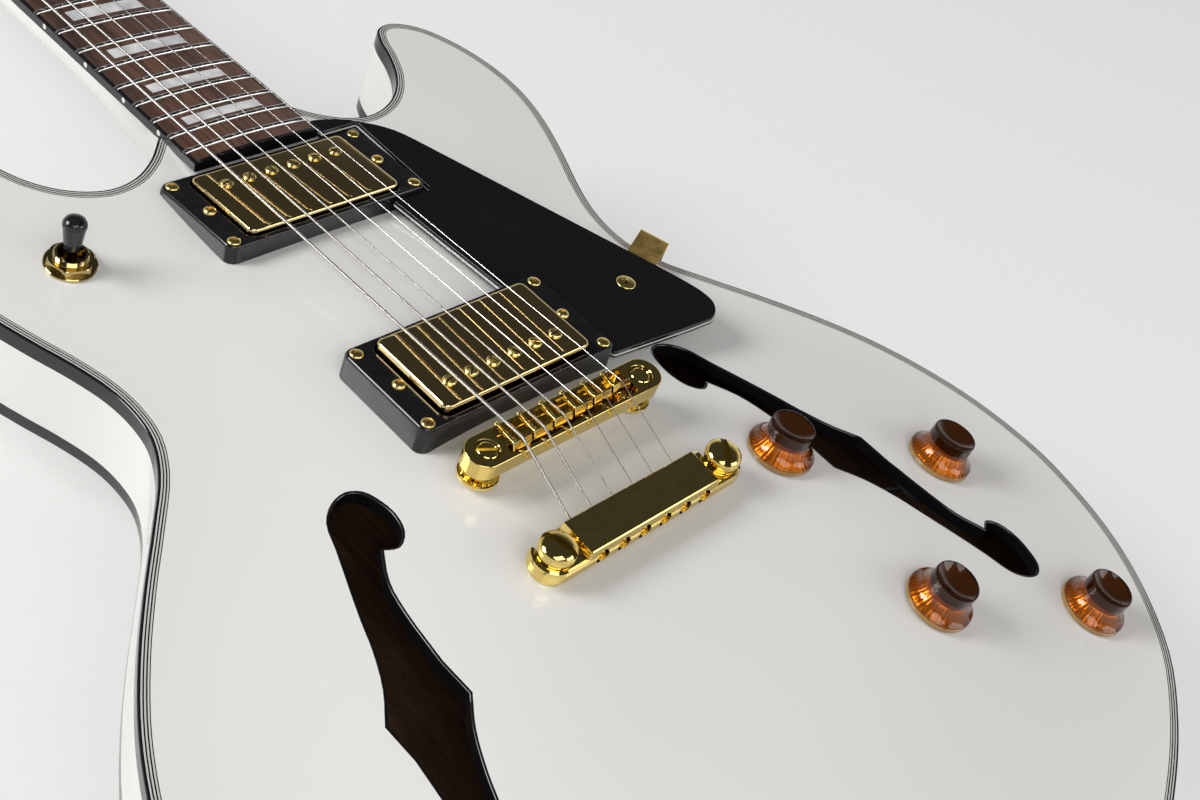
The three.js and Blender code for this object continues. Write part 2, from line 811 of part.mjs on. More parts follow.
// The matrix that stands a piece on the top at one place, square to the surface.
function onTop(x, y) {
  const step = GRID_CELL;
  const slopeX = (topHeight(x + step, y) - topHeight(x - step, y)) / (2 * step);
  const slopeY = (topHeight(x, y + step) - topHeight(x, y - step)) / (2 * step);
  const normal = new THREE.Vector3(-slopeX, -slopeY, 1).normalize();
  const turn = new THREE.Quaternion().setFromUnitVectors(Z_AXIS, normal);
  const place = new THREE.Vector3(x, y, topHeight(x, y));
  return new THREE.Matrix4().compose(place, turn, new THREE.Vector3(1, 1, 1));
}

function tilted(y, z, tilt) {
  const turn = new THREE.Matrix4().makeRotationX(THREE.MathUtils.degToRad(tilt));
  return new THREE.Matrix4().makeTranslation(0, y, z).multiply(turn);
}

const neckRingFrame = tilted(NECK_RING_Y, NECK_RING_TOP, NECK_RING_TILT);
const bridgeRingFrame = tilted(BRIDGE_RING_Y, BRIDGE_RING_TOP, BRIDGE_RING_TILT);
const knobFrames = KNOB_X.map((x, index) => onTop(x, KNOB_Y[index]));
const switchFrame = onTop(SWITCH_X, SWITCH_Y);
const JACK_Y = TAIL_Y + JACK_FROM_TAIL;
const JACK_X = LOWER_BOUT / 2;
const HORN_TOP_Y = TAIL_Y + BODY_LENGTH;
const BUTTON_HEIGHT = -RIM_DEPTH / 2;

const inGuitar = (frame) => frame.matrixWorld;
const neckMatrix = inGuitar(neckFrame);
const headMatrix = inGuitar(headFrame);

// Tools shared by the body's pieces

function pickupRoute(frame, coverRise) {
  const length = COVER_LENGTH + 2 * ROUTE_SPARE;
  const width = COVER_WIDTH + 2 * ROUTE_SIDE_SPARE;
  const floor = coverRise - POLE_LENGTH - ROUTE_FLOOR;
  const earLength = EAR_LENGTH + 2 * ROUTE_SPARE;
  const earWidth = EAR_WIDTH + 2 * ROUTE_SPARE;
  const well = box(-length / 2, length / 2, -width / 2, width / 2, floor, OVERRUN);
  const ears = box(-earLength / 2, earLength / 2, -earWidth / 2, earWidth / 2, floor, OVERRUN);
  return moved(join(well, ears), frame);
}

const neckRoute = pickupRoute(neckRingFrame, NECK_COVER_RISE);
const bridgeRoute = pickupRoute(bridgeRingFrame, BRIDGE_COVER_RISE);

function bore(x, y, radius, depth) {
  return at(cylinder(radius + SEAT_GAP, -depth, OVERRUN), x, y, 0);
}

const stemBores = [-1, 1].map((side) =>
  bore((side * BRIDGE_POST_SPAN) / 2, 0, POST_STEM_RADIUS, POST_STEM_DEPTH - TOP_ARCH + POST_TRAVEL),
);
const studBores = [-1, 1].map((side) =>
  bore((side * STUD_SPAN) / 2, TAIL_BAR_Y, STUD_STEM_RADIUS, STUD_STEM_DEPTH - TOP_ARCH + SEAT_GAP),
);

// The neck's tenon and what lies under the fingerboard, grown by the clearance.
const tenonPocket = moved(
  box(
    -TENON_WIDTH / 2 - SEAT_GAP,
    TENON_WIDTH / 2 + SEAT_GAP,
    HEEL_END - TENON_LENGTH - 2 * SEAT_GAP,
    HEEL_END + OVERRUN,
    -TENON_DEPTH - SEAT_GAP,
    OVERRUN,
  ),
  neckMatrix,
);
const boardSeat = moved(
  box(
    -BOARD_END_WIDTH / 2 - SEAT_GAP,
    BOARD_END_WIDTH / 2 + SEAT_GAP,
    BOARD_START - SEAT_GAP,
    BOARD_START + OVERRUN,
    -SEAT_GAP,
    OVERRUN,
  ),
  neckMatrix,
);

// Top and back plates

function soundHole() {
  const half = F_HOLE_SHARES.map(([x, y]) => new THREE.Vector2(x * F_HALF_WIDTH, y * F_HALF_LENGTH));
  const whole = [...half, ...half.map((p) => p.clone().negate())];
  const outline = whole.map((p) => p.add(new THREE.Vector2(F_CENTRE_X, F_CENTRE_Y)));
  return [outline, mirrorX(outline)].map((points) => plate(points, -OVERRUN / 2, OVERRUN));
}

function topPlate() {
  const sheet = slab(topHeight, (x, y) => topHeight(x, y) - TOP_THICK);
  const potHoles = knobFrames.map((frame) =>
    moved(cylinder(BUSHING_OUTER + POT_HOLE_SPARE, -OVERRUN / 2, OVERRUN / 2, SIDES_SMALL), frame),
  );
  const switchHole = moved(
    cylinder(SWITCH_BUSHING + POT_HOLE_SPARE, -OVERRUN / 2, OVERRUN / 2, SIDES_SMALL),
    switchFrame,
  );
  return cut(
    meet(sheet, outsidePrism),
    ...soundHole(),
    neckRoute,
    bridgeRoute,
    ...stemBores,
    ...studBores,
    ...potHoles,
    switchHole,
    tenonPocket,
    boardSeat,
  );
}

function backPlate() {
  const sheet = slab((x, y) => backHeight(x, y) + BACK_THICK, backHeight);
  return meet(sheet, outsidePrism);
}

// Sides and centre block

function strapButtonBores() {
  const depth = BUTTON_SCREW_LENGTH + 2 * SEAT_GAP;
  const hole = cylinder(BUTTON_SCREW_RADIUS + SEAT_GAP, -depth, OVERRUN, SIDES_SMALL);
  const tail = at(turned(hole, X_AXIS, QUARTER), 0, TAIL_Y, BUTTON_HEIGHT);
  const horn = at(turned(hole, X_AXIS, -QUARTER), HORN_BUTTON_X, HORN_TOP_Y, BUTTON_HEIGHT);
  return [tail, horn];
}

const buttonBores = strapButtonBores();

function bodyRim() {
  const inner = plate(insetOutline(SIDE_WALL), -RIM_DEPTH - OVERRUN, OVERRUN);
  const ring = cut(outsidePrism, inner);
  const blockX = HORN_BUTTON_X;
  const hornBlock = box(
    blockX - HORN_BLOCK_WIDTH / 2,
    blockX + HORN_BLOCK_WIDTH / 2,
    HORN_TOP_Y - HORN_BLOCK_LENGTH - SIDE_WALL,
    HORN_TOP_Y - SIDE_WALL / 2,
    -RIM_DEPTH,
    0,
  );
  const walls = meet(core, join(ring, meet(hornBlock, outsidePrism)));
  const jackHole = turned(cylinder(JACK_BARREL + SEAT_GAP, -OVERRUN, OVERRUN), Y_AXIS, QUARTER);
  return cut(walls, tenonPocket, boardSeat, at(jackHole, JACK_X, JACK_Y, JACK_HEIGHT), ...buttonBores);
}

function centerBlock() {
  const inner = plate(insetOutline(SIDE_WALL + SEAT_GAP), -RIM_DEPTH - OVERRUN, OVERRUN);
  const beam = box(
    -BLOCK_WIDTH / 2,
    BLOCK_WIDTH / 2,
    TAIL_Y,
    TAIL_Y + BODY_LENGTH,
    -RIM_DEPTH - OVERRUN,
    OVERRUN,
  );
  const trimmed = meet(meet(beam, inner), core);
  return cut(
    trimmed,
    neckRoute,
    bridgeRoute,
    ...stemBores,
    ...studBores,
    tenonPocket,
    boardSeat,
    ...buttonBores,
  );
}

// Neck, fingerboard, nut and truss rod

const fretPlace = (number) => SCALE_LENGTH * 2 ** (-number / 12);

function boardHalfWidth(v) {
  const share = (SCALE_LENGTH - v) / (SCALE_LENGTH - BOARD_START);
  return (NUT_WIDTH + (BOARD_END_WIDTH - NUT_WIDTH) * share) / 2;
}

// Height of the crowned board at a distance from the middle.
const crown = (x) => BOARD_THICK - (BOARD_RADIUS - Math.sqrt(BOARD_RADIUS ** 2 - x ** 2));

function neckRing(v, halfWidth, depth, baseHalfWidth) {
  const lower = NECK_ROUND_SHARES.map(([across, down]) => {
    const width = halfWidth + (baseHalfWidth - halfWidth) * down;
    return [across * width, -down * depth];
  });
  const left = lower.map(([x, w]) => [-x, w]).reverse();
  return [...lower, [0, -depth], ...left].map(([x, w]) => new THREE.Vector3(x, v, w));
}

function neckShaft() {
  const rings = [];
  const depthAt = (v) => {
    const share = (SCALE_LENGTH - v) / (SCALE_LENGTH - HEEL_START);
    return NECK_DEPTH_NUT + (NECK_DEPTH_BODY - NECK_DEPTH_NUT) * share;
  };
  const nutEnd = SCALE_LENGTH + NUT_THICK;
  [nutEnd, fretPlace(3), fretPlace(8)].forEach((v) => {
    rings.push(neckRing(v, boardHalfWidth(v), depthAt(v), boardHalfWidth(v)));
  });
  HEEL_SHARES.forEach(([along, deeper, narrower]) => {
    const v = HEEL_START + (HEEL_END - HEEL_START) * along;
    const halfWidth = boardHalfWidth(v);
    const base = halfWidth + (HEEL_BASE_WIDTH / 2 - halfWidth) * narrower;
    rings.push(neckRing(v, halfWidth, NECK_DEPTH_BODY + (HEEL_DEPTH - NECK_DEPTH_BODY) * deeper, base));
  });
  const end = HEEL_END - TENON_LENGTH;
  rings.push(neckRing(end, boardHalfWidth(HEEL_END), HEEL_DEPTH, HEEL_BASE_WIDTH / 2));
  return loft(rings);
}

function headPlate() {
  const half = HEAD_SHARES.map(([x, u]) => new THREE.Vector2((x * HEAD_WIDTH) / 2, u * HEAD_LENGTH));
  const right = [new THREE.Vector2(NUT_WIDTH / 2, -NUT_THICK), ...half];
  const outline = [...right, new THREE.Vector2(0, HEAD_LENGTH), ...mirrorX(right)];
  return plate(outline, -HEAD_THICK, 0);
}

// The wedge that thickens the turn from the shaft to the headstock.
function headVolute() {
  const width = NUT_WIDTH / 2;
  const side = (x) => [
    new THREE.Vector3(x, -NUT_THICK, -HEAD_THICK / 2),
    new THREE.Vector3(x, -NUT_THICK, -NECK_DEPTH_NUT),
    new THREE.Vector3(x, HEAD_THICK, -HEAD_THICK - NUT_THICK / 2),
    new THREE.Vector3(x, 2 * HEAD_THICK, -HEAD_THICK / 2),
  ];
  return loft([side(-width / 2), side(width / 2)]);
}

const tunerSides = [-1, 1];
const tunerSpots = TUNER_INSETS.flatMap((inset, row) =>
  tunerSides.map((side) => ({ side, row, x: side * inset, u: TUNER_FIRST + row * TUNER_STEP })),
);

function neckPiece() {
  const toNeck = new THREE.Matrix4().compose(
    headFrame.position,
    headFrame.quaternion,
    new THREE.Vector3(1, 1, 1),
  );
  const postHoles = tunerSpots.map(({ x, u }) =>
    moved(at(cylinder(SLEEVE_RADIUS + SEAT_GAP, -OVERRUN, OVERRUN, SIDES_SMALL), x, u, 0), toNeck),
  );
  const rodRoom = ROD_SIDE / 2 + SEAT_GAP;
  const rodChannel = box(
    -rodRoom,
    rodRoom,
    ROD_START - SEAT_GAP,
    SCALE_LENGTH + NUT_THICK + TRUSS_POCKET_START,
    -ROD_COVER - ROD_SIDE - SEAT_GAP,
    OVERRUN,
  );
  const pocket = moved(
    box(
      -TRUSS_POCKET_WIDTH / 2,
      TRUSS_POCKET_WIDTH / 2,
      TRUSS_POCKET_START,
      TRUSS_POCKET_START + TRUSS_POCKET_LENGTH,
      -TRUSS_POCKET_DEPTH,
      OVERRUN,
    ),
    toNeck,
  );
  const toBody = neckMatrix.clone().invert();
  const bodyRoom = moved(
    cut(
      box(
        -LOWER_BOUT,
        LOWER_BOUT,
        SHOULDER_Y - BODY_LENGTH,
        SHOULDER_Y + SEAT_GAP,
        -RIM_DEPTH - OVERRUN,
        OVERRUN,
      ),
      moved(
        box(
          -TENON_WIDTH / 2,
          TENON_WIDTH / 2,
          HEEL_END - TENON_LENGTH,
          HEEL_END + OVERRUN,
          -TENON_DEPTH,
          OVERRUN,
        ),
        neckMatrix,
      ),
    ),
    toBody,
  );
  const wood = join(neckShaft(), moved(headPlate(), toNeck), moved(headVolute(), toNeck));
  const nutSeat = box(
    -NUT_WIDTH,
    NUT_WIDTH,
    SCALE_LENGTH,
    SCALE_LENGTH + NUT_THICK + SEAT_GAP,
    -HEAD_FACE_DROP,
    OVERRUN,
  );
  return cut(wood, bodyRoom, ...postHoles, rodChannel, pocket, nutSeat);
}

// A board section with its crowned upper edge, raised where a fret stands.
function boardRing(v, rise) {
  const halfWidth = boardHalfWidth(v);
  const upper = BOARD_CROWN_SHARES.map((share) => {
    const x = share * halfWidth;
    return new THREE.Vector3(x, v, crown(x) + rise);
  });
  const lower = [-halfWidth, halfWidth].map((x) => new THREE.Vector3(x, v, SEAT_GAP));
  return [...upper, ...lower];
}

function fingerboard() {
  const places = Array.from({ length: FRETS }, (_, index) => fretPlace(FRETS - index));
  const half = FRET_WIDTH / 2;
  const frets = places.flatMap((v) =>
    [-half, 0, half].map((shift) => boardRing(v + shift, shift === 0 ? FRET_RISE : 0)),
  );
  return loft([boardRing(BOARD_START, 0), ...frets, boardRing(SCALE_LENGTH - SEAT_GAP, 0)]);
}

const stringShare = (index) => index / (STRING_RADII.length - 1) - 1 / 2;

const NUT_STRING_W = BOARD_THICK + FRET_RISE + STRING_RADII[0] / 2;

function nutPiece() {
  const blank = box(
    -NUT_WIDTH / 2 + SEAT_GAP,
    NUT_WIDTH / 2 - SEAT_GAP,
    SCALE_LENGTH + SEAT_GAP,
    SCALE_LENGTH + NUT_THICK - SEAT_GAP,
    SEAT_GAP - HEAD_FACE_DROP,
    NUT_TOP,
  );
  const slots = STRING_RADII.map((radius, index) => {
    const x = stringShare(index) * NUT_SPREAD;
    const half = radius + SEAT_GAP;
    return box(x - half, x + half, 0, SCALE_LENGTH + OVERRUN, NUT_STRING_W - SEAT_GAP, NUT_TOP + OVERRUN);
  });
  return cut(blank, ...slots);
}

function trussRod() {
  const half = ROD_SIDE / 2;
  const bar = box(-half, half, ROD_START, ROD_END, -ROD_COVER - ROD_SIDE, -ROD_COVER);
  const nut = turned(cylinder(ROD_NUT_RADIUS, 0, ROD_NUT_LENGTH, 6), X_AXIS, -QUARTER);
  return join(bar, at(nut, 0, ROD_END - half, -ROD_COVER - half));
}

// Tuners, each modelled about its post's foot on the headstock's face

function tunerHousing(side) {
  const back = -HEAD_THICK;
  const shape = roundedShape(HOUSING_WIDTH, HOUSING_LENGTH, HOUSING_CORNER);
  const centreX = side * (WORM_OFFSET / 2 - SEAT_GAP);
  const shell = at(plate(shape, back - SEAT_GAP - HOUSING_DEPTH, back - SEAT_GAP), centreX, 0, 0);
  const sleeve = cylinder(SLEEVE_RADIUS, back - SEAT_GAP * 2, SEAT_GAP * 2, SIDES_SMALL);
  const washer = cylinder(WASHER_RADIUS, SEAT_GAP, SEAT_GAP + WASHER_THICK);
  const topOfWasher = SEAT_GAP + WASHER_THICK;
  const hex = cylinder(BUSHING_RADIUS, topOfWasher, topOfWasher + BUSHING_THICK, 6);
  const outer = join(shell, sleeve, washer, hex);
  const postBore = cylinder(POST_RADIUS + RUN_GAP, back - HOUSING_DEPTH / 2, OVERRUN, SIDES_SMALL);
  const wormBore = at(
    turned(
      cylinder(WORM_RADIUS + RUN_GAP, HOUSING_WIDTH / 2 - WORM_SOCKET, OVERRUN, SIDES_SMALL),
      Y_AXIS,
      side * QUARTER,
    ),
    centreX,
    WORM_OFFSET,
    back - SEAT_GAP - HOUSING_DEPTH / 2,
  );
  return cut(outer, postBore, wormBore);
}

function tunerPost() {
  const foot = -HEAD_THICK - HOUSING_DEPTH / 2 + SEAT_GAP;
  const waist = WRAP_HEIGHT / 2 - SEAT_GAP;
  const profile = [
    [0, foot],
    [POST_RADIUS, foot],
    [POST_RADIUS, waist],
    [POST_NECK_RADIUS, waist + SEAT_GAP * 2],
    [POST_NECK_RADIUS, POST_HOLE_HEIGHT + POST_HOLE_RADIUS],
    [POST_RADIUS, POST_HOLE_HEIGHT + POST_HOLE_RADIUS * 2],
    [POST_RADIUS, POST_HEIGHT - SEAT_GAP * 2],
    [POST_NECK_RADIUS, POST_HEIGHT],
    [0, POST_HEIGHT],
  ];
  const hole = turned(cylinder(POST_HOLE_RADIUS, -OVERRUN, OVERRUN, 6), X_AXIS, QUARTER);
  return cut(turning(profile, SIDES_SMALL), at(hole, 0, 0, POST_HOLE_HEIGHT));
}

function tunerButton() {
  const stemEnd = BUTTON_REACH - (WORM_OFFSET / 2 + HOUSING_WIDTH / 2 - WORM_SOCKET + SEAT_GAP);
  const stem = turned(cylinder(WORM_RADIUS, -stemEnd, BUTTON_CORNER, SIDES_SMALL), Y_AXIS, QUARTER);
  const collar = turned(cylinder(COLLAR_RADIUS, -COLLAR_LENGTH, SEAT_GAP, SIDES_SMALL), Y_AXIS, QUARTER);
  const grip = plate(
    roundedShape(BUTTON_LENGTH, BUTTON_WIDTH, BUTTON_CORNER),
    -BUTTON_THICK / 2,
    BUTTON_THICK / 2,
  );
  return join(stem, collar, at(grip, BUTTON_LENGTH / 2, 0, 0));
}

// Strings

// The string's tangent point and winding angle on its post, in the headstock's frame.
function postApproach(from, centre, radius, side) {
  const reach = new THREE.Vector2().subVectors(centre, from);
  const length = reach.length();
  const bend = Math.asin(radius / length) * side;
  const along = reach.clone().normalize().rotateAround(new THREE.Vector2(), bend);
  const touch = from.clone().addScaledVector(along, Math.sqrt(length ** 2 - radius ** 2));
  return { touch, angle: Math.atan2(touch.y - centre.y, touch.x - centre.x) };
}

// Which post takes each string: bass row from the nut outwards, then treble row inwards.
const ROWS = TUNER_INSETS.length;
const STRING_POSTS = STRING_RADII.map((_, index) =>
  index < ROWS ? [-1, index] : [1, 2 * ROWS - 1 - index],
);

const inNeck = (x, v, w) => new THREE.Vector3(x, v, w).applyMatrix4(neckMatrix);
const inHead = (x, u, h) => new THREE.Vector3(x, u, h).applyMatrix4(headMatrix);
const headToNeck = headMatrix.clone().invert();
const SADDLE_ROWS = [-3.2, -2.6, -2, -1.6, -1, -0.4];

function stringRoute(index) {
  const radius = STRING_RADII[index];
  const share = stringShare(index);
  const bridgeX = share * BRIDGE_SPREAD;
  const nutX = share * NUT_SPREAD;
  const saddleY = SADDLE_ROWS[index];
  const crest = STRING_HEIGHT + radius;
  const holeZ = TAIL_BAR_BOTTOM + TAIL_HOLE_RISE;
  const barFront = TAIL_BAR_Y + TAIL_BAR_WIDTH / 2;
  const barRear = TAIL_BAR_Y - TAIL_BAR_WIDTH / 2;
  const overNut = inNeck(nutX, SCALE_LENGTH, NUT_STRING_W + radius);
  const fall = (crest - holeZ) / (saddleY - barFront);
  const rise = (crest - overNut.z) / (overNut.y - saddleY);
  const stations = [
    new THREE.Vector3(bridgeX, barRear + BALL_POCKET_DEPTH - BALL_LENGTH / 2, holeZ),
    new THREE.Vector3(bridgeX, barFront - STRING_BEND, holeZ),
    new THREE.Vector3(bridgeX, barFront + STRING_BEND, holeZ + STRING_BEND * fall),
    new THREE.Vector3(bridgeX, saddleY - STRING_BEND, crest - STRING_BEND * fall),
    new THREE.Vector3(bridgeX, saddleY, crest - (STRING_BEND * (fall - rise)) / 4),
    new THREE.Vector3(bridgeX, saddleY + STRING_BEND, crest - STRING_BEND * rise),
    overNut,
    inNeck(nutX, SCALE_LENGTH + NUT_THICK, NUT_STRING_W + radius),
  ];
  const [side, row] = STRING_POSTS[index];
  const centre = new THREE.Vector2(side * TUNER_INSETS[row], TUNER_FIRST + row * TUNER_STEP);
  const leave = stations[stations.length - 1].clone().applyMatrix4(headToNeck);
  const turnRadius = POST_RADIUS + radius + SEAT_GAP;
  const start = new THREE.Vector2(leave.x, leave.y);
  const { touch, angle } = postApproach(start, centre, turnRadius, side);
  const pitch = 2 * radius + WRAP_SPARE;
  const steps = WRAP_TURNS * WRAP_STEPS;
  stations.push(inHead(touch.x, touch.y, WRAP_HEIGHT));
  for (let step = 1; step <= steps; step += 1) {
    const turns = step / WRAP_STEPS;
    const swing = angle - side * turns * 2 * Math.PI;
    stations.push(
      inHead(
        centre.x + turnRadius * Math.cos(swing),
        centre.y + turnRadius * Math.sin(swing),
        WRAP_HEIGHT - pitch * turns,
      ),
    );
  }
  return stations;
}

// Least gap between the turns of the winding, measured between points at least half a turn apart.
function leastGap(stations, radius) {
  let least = Infinity;
  stations.forEach((a, i) => {
    stations.slice(i + WRAP_STEPS - 2).forEach((b) => {
      least = Math.min(least, a.distanceTo(b) - 2 * radius);
    });
  });
  return least;
}

function stringPiece(index) {
  const stations = stringRoute(index);
  const radius = STRING_RADII[index];
  const gap = leastGap(stations, radius);
  console.log(`string ${index + 1}: least gap between turns ${gap.toFixed(2)} mm`);
  const half = BALL_LENGTH / 2;
  const ball = turned(cylinder(BALL_RADIUS, -half, half, SIDES_SMALL), X_AXIS, QUARTER);
  const end = stations[0];
  return join(wire(stations, radius, STRING_SIDES), at(ball, end.x, end.y, end.z));
}

// Bridge

const BRIDGE_BOTTOM = BRIDGE_TOP - BRIDGE_HEIGHT;
const SCREW_AXIS_Z = BRIDGE_BOTTOM + TROUGH_FLOOR + SADDLE_SCREW_RISE;

function bridgeBody() {
  const bar = bevelledPlate(
    BRIDGE_LENGTH,
    BRIDGE_WIDTH,
    BRIDGE_WIDTH / 2 - SEAT_GAP,
    BRIDGE_BOTTOM,
    BRIDGE_TOP,
    BRIDGE_EDGE,
  );
  const troughHalf = BRIDGE_WIDTH / 2 - TROUGH_WALL;
  const trough = box(
    -TROUGH_LENGTH / 2,
    TROUGH_LENGTH / 2,
    -troughHalf,
    troughHalf,
    BRIDGE_BOTTOM + TROUGH_FLOOR,
    BRIDGE_TOP + OVERRUN,
  );
  const postHoles = [-1, 1].map((side) =>
    bore((side * BRIDGE_POST_SPAN) / 2, 0, BRIDGE_POST_RADIUS + RUN_GAP - SEAT_GAP, OVERRUN),
  );
  const screws = STRING_RADII.map((_, index) => {
    const x = stringShare(index) * BRIDGE_SPREAD;
    const shank = cylinder(SADDLE_SCREW_RADIUS, -BRIDGE_WIDTH / 2 + SEAT_GAP, BRIDGE_WIDTH / 2, 8);
    const head = cylinder(
      SADDLE_SCREW_HEAD,
      BRIDGE_WIDTH / 2 - SEAT_GAP,
      BRIDGE_WIDTH / 2 + SADDLE_SCREW_HEAD_LENGTH,
      SIDES_SMALL,
    );
    return at(turned(join(shank, head), X_AXIS, -QUARTER), x, 0, SCREW_AXIS_Z);
  });
  return join(cut(bar, trough, ...postHoles), ...screws);
}

function bridgeSaddle(index) {
  const radius = STRING_RADII[index];
  const base = BRIDGE_BOTTOM + TROUGH_FLOOR + SEAT_GAP;
  const top = STRING_HEIGHT + radius / 2;
  const [half, crest] = [SADDLE_DEPTH / 2, SADDLE_CREST / 2];
  const shoulder = BRIDGE_TOP - SADDLE_SHOULDER;
  const section = [
    [-half, base],
    [half, base],
    [half, shoulder],
    [crest, top],
    [-crest, top],
    [-half, shoulder],
  ].map(([y, z]) => new THREE.Vector2(y, z));
  const width = SADDLE_WIDTH;
  const block = plate(section, -width / 2, width / 2);
  // the section's y and z lie in the plate's plane, so the plate is stood up and turned
  const upright = turned(turned(block, X_AXIS, QUARTER), Z_AXIS, QUARTER);
  const screwBore = at(
    turned(cylinder(SADDLE_BORE, -OVERRUN, OVERRUN, 8), X_AXIS, QUARTER),
    0,
    0,
    SCREW_AXIS_Z,
  );
  const slot = radius + NOTCH_SPARE;
  const notch = box(-slot, slot, -OVERRUN, OVERRUN, STRING_HEIGHT - NOTCH_FLOOR, OVERRUN + top);
  return cut(upright, screwBore, notch);
}

function bridgePost() {
  const wheelTop = BRIDGE_BOTTOM - THUMBWHEEL_DROP;
  const wheelBottom = wheelTop - THUMBWHEEL_THICK;
  const top = BRIDGE_TOP + BRIDGE_POST_TOP;
  const profile = [
    [0, TOP_ARCH - POST_STEM_DEPTH],
    [POST_STEM_RADIUS, TOP_ARCH - POST_STEM_DEPTH],
    [POST_STEM_RADIUS, wheelBottom],
    [THUMBWHEEL_RADIUS, wheelBottom],
    [THUMBWHEEL_RADIUS, wheelTop],
    [HUB_RADIUS, wheelTop],
    [HUB_RADIUS, BRIDGE_BOTTOM - SEAT_GAP],
    [BRIDGE_POST_RADIUS, BRIDGE_BOTTOM - SEAT_GAP],
    [BRIDGE_POST_RADIUS, top],
    [0, top],
  ];
  const half = SLOT_WIDTH / 2;
  const slot = box(-OVERRUN, OVERRUN, -half, half, top - SLOT_DEPTH, top + OVERRUN);
  return cut(turning(profile), slot);
}

// Tailpiece

const STUD_TOP = TAIL_BAR_BOTTOM + TAIL_BAR_HEIGHT + SEAT_GAP + STUD_HEAD_THICK;

function tailpiece() {
  const half = TAIL_BAR_WIDTH / 2;
  const [low, high] = [TAIL_BAR_BOTTOM, TAIL_BAR_BOTTOM + TAIL_BAR_HEIGHT];
  const nose = TAIL_BAR_NOSE;
  const section = [
    [-half + nose / 2, low],
    [half - nose / 2, low],
    [half, low + nose / 2],
    [half, high - nose],
    [half - nose, high],
    [-half + nose, high],
    [-half, high - nose],
    [-half, low + nose / 2],
  ].map(([y, z]) => new THREE.Vector2(y, z));
  const length = TAIL_BAR_LENGTH;
  const raw = turned(turned(plate(section, -length / 2, length / 2), X_AXIS, QUARTER), Z_AXIS, QUARTER);
  const ends = plate(roundedShape(length, TAIL_BAR_WIDTH, half - SEAT_GAP), 0, OVERRUN);
  const bar = meet(raw, ends);
  const holes = STRING_RADII.flatMap((_, index) => {
    const x = stringShare(index) * BRIDGE_SPREAD;
    const z = low + TAIL_HOLE_RISE;
    const through = turned(cylinder(TAIL_HOLE_RADIUS, -OVERRUN, OVERRUN, 8), X_AXIS, QUARTER);
    const pocket = turned(
      cylinder(BALL_POCKET_RADIUS, half - BALL_POCKET_DEPTH, OVERRUN, SIDES_SMALL),
      X_AXIS,
      QUARTER,
    );
    return [at(through, x, 0, z), at(pocket, x, 0, z)];
  });
  const forks = [-1, 1].map((side) => {
    const x = (side * STUD_SPAN) / 2;
    const round = at(cylinder(FORK_WIDTH / 2, 0, OVERRUN), x, 0, 0);
    const mouth = box(x - FORK_WIDTH / 2, x + FORK_WIDTH / 2, 0, OVERRUN, 0, OVERRUN);
    return join(round, mouth);
  });
  return at(cut(bar, ...holes, ...forks), 0, TAIL_BAR_Y, 0);
}

function tailpieceStud() {
  const low = TAIL_BAR_BOTTOM - SEAT_GAP;
  const high = TAIL_BAR_BOTTOM + TAIL_BAR_HEIGHT + SEAT_GAP;
  const profile = [
    [0, TOP_ARCH - STUD_STEM_DEPTH],
    [STUD_STEM_RADIUS, TOP_ARCH - STUD_STEM_DEPTH],
    [STUD_STEM_RADIUS, low - STUD_FLANGE_THICK],
    [STUD_FLANGE_RADIUS, low - STUD_FLANGE_THICK],
    [STUD_FLANGE_RADIUS, low],
    [STUD_NECK_RADIUS, low],
    [STUD_NECK_RADIUS, high],
    [STUD_HEAD_RADIUS, high],
    [STUD_HEAD_RADIUS, STUD_TOP - STUD_HEAD_THICK / 2],
    [STUD_HEAD_RADIUS - STUD_HEAD_THICK / 2, STUD_TOP],
    [0, STUD_TOP],
  ];
  const half = STUD_SLOT_WIDTH / 2;
  const slot = box(-OVERRUN, OVERRUN, -half, half, STUD_TOP - STUD_SLOT_DEPTH, STUD_TOP + OVERRUN);
  return cut(turning(profile), slot);
}

// Pickups and rings, modelled about the middle of the ring's upper face

function pickupRing(frame) {
  const rim = bevelledPlate(RING_LENGTH, RING_WIDTH, RING_CORNER, -OVERRUN / 2, 0, RING_BEVEL);
  const opening = roundedShape(RING_WINDOW_LENGTH, RING_WINDOW_WIDTH, RING_CORNER);
  const wall = moved(cut(rim, plate(opening, -OVERRUN, OVERRUN)), frame);
  const seated = cut(wall, topSeat);
  const screws = [-1, 1].flatMap((side) =>
    [-1, 1].map((row) =>
      at(
        cylinder(RING_SCREW_RADIUS, -RING_BEVEL, RING_SCREW_RISE, SIDES_SMALL, RING_SCREW_RADIUS / 2),
        (side * RING_SCREW_SPAN) / 2,
        (row * RING_SCREW_ROW) / 2,
        0,
      ),
    ),
  );
  const lifts = [-1, 1].map((side) => {
    const head = cylinder(HEIGHT_SCREW_HEAD, -RING_BEVEL, RING_SCREW_RISE, SIDES_SMALL);
    const shank = cylinder(HEIGHT_SCREW_RADIUS, -HEIGHT_SCREW_LENGTH, 0, 8);
    return at(join(head, shank), (side * HEIGHT_SCREW_SPAN) / 2, 0, 0);
  });
  return join(seated, ...[...screws, ...lifts].map((screw) => moved(screw, frame)));
}

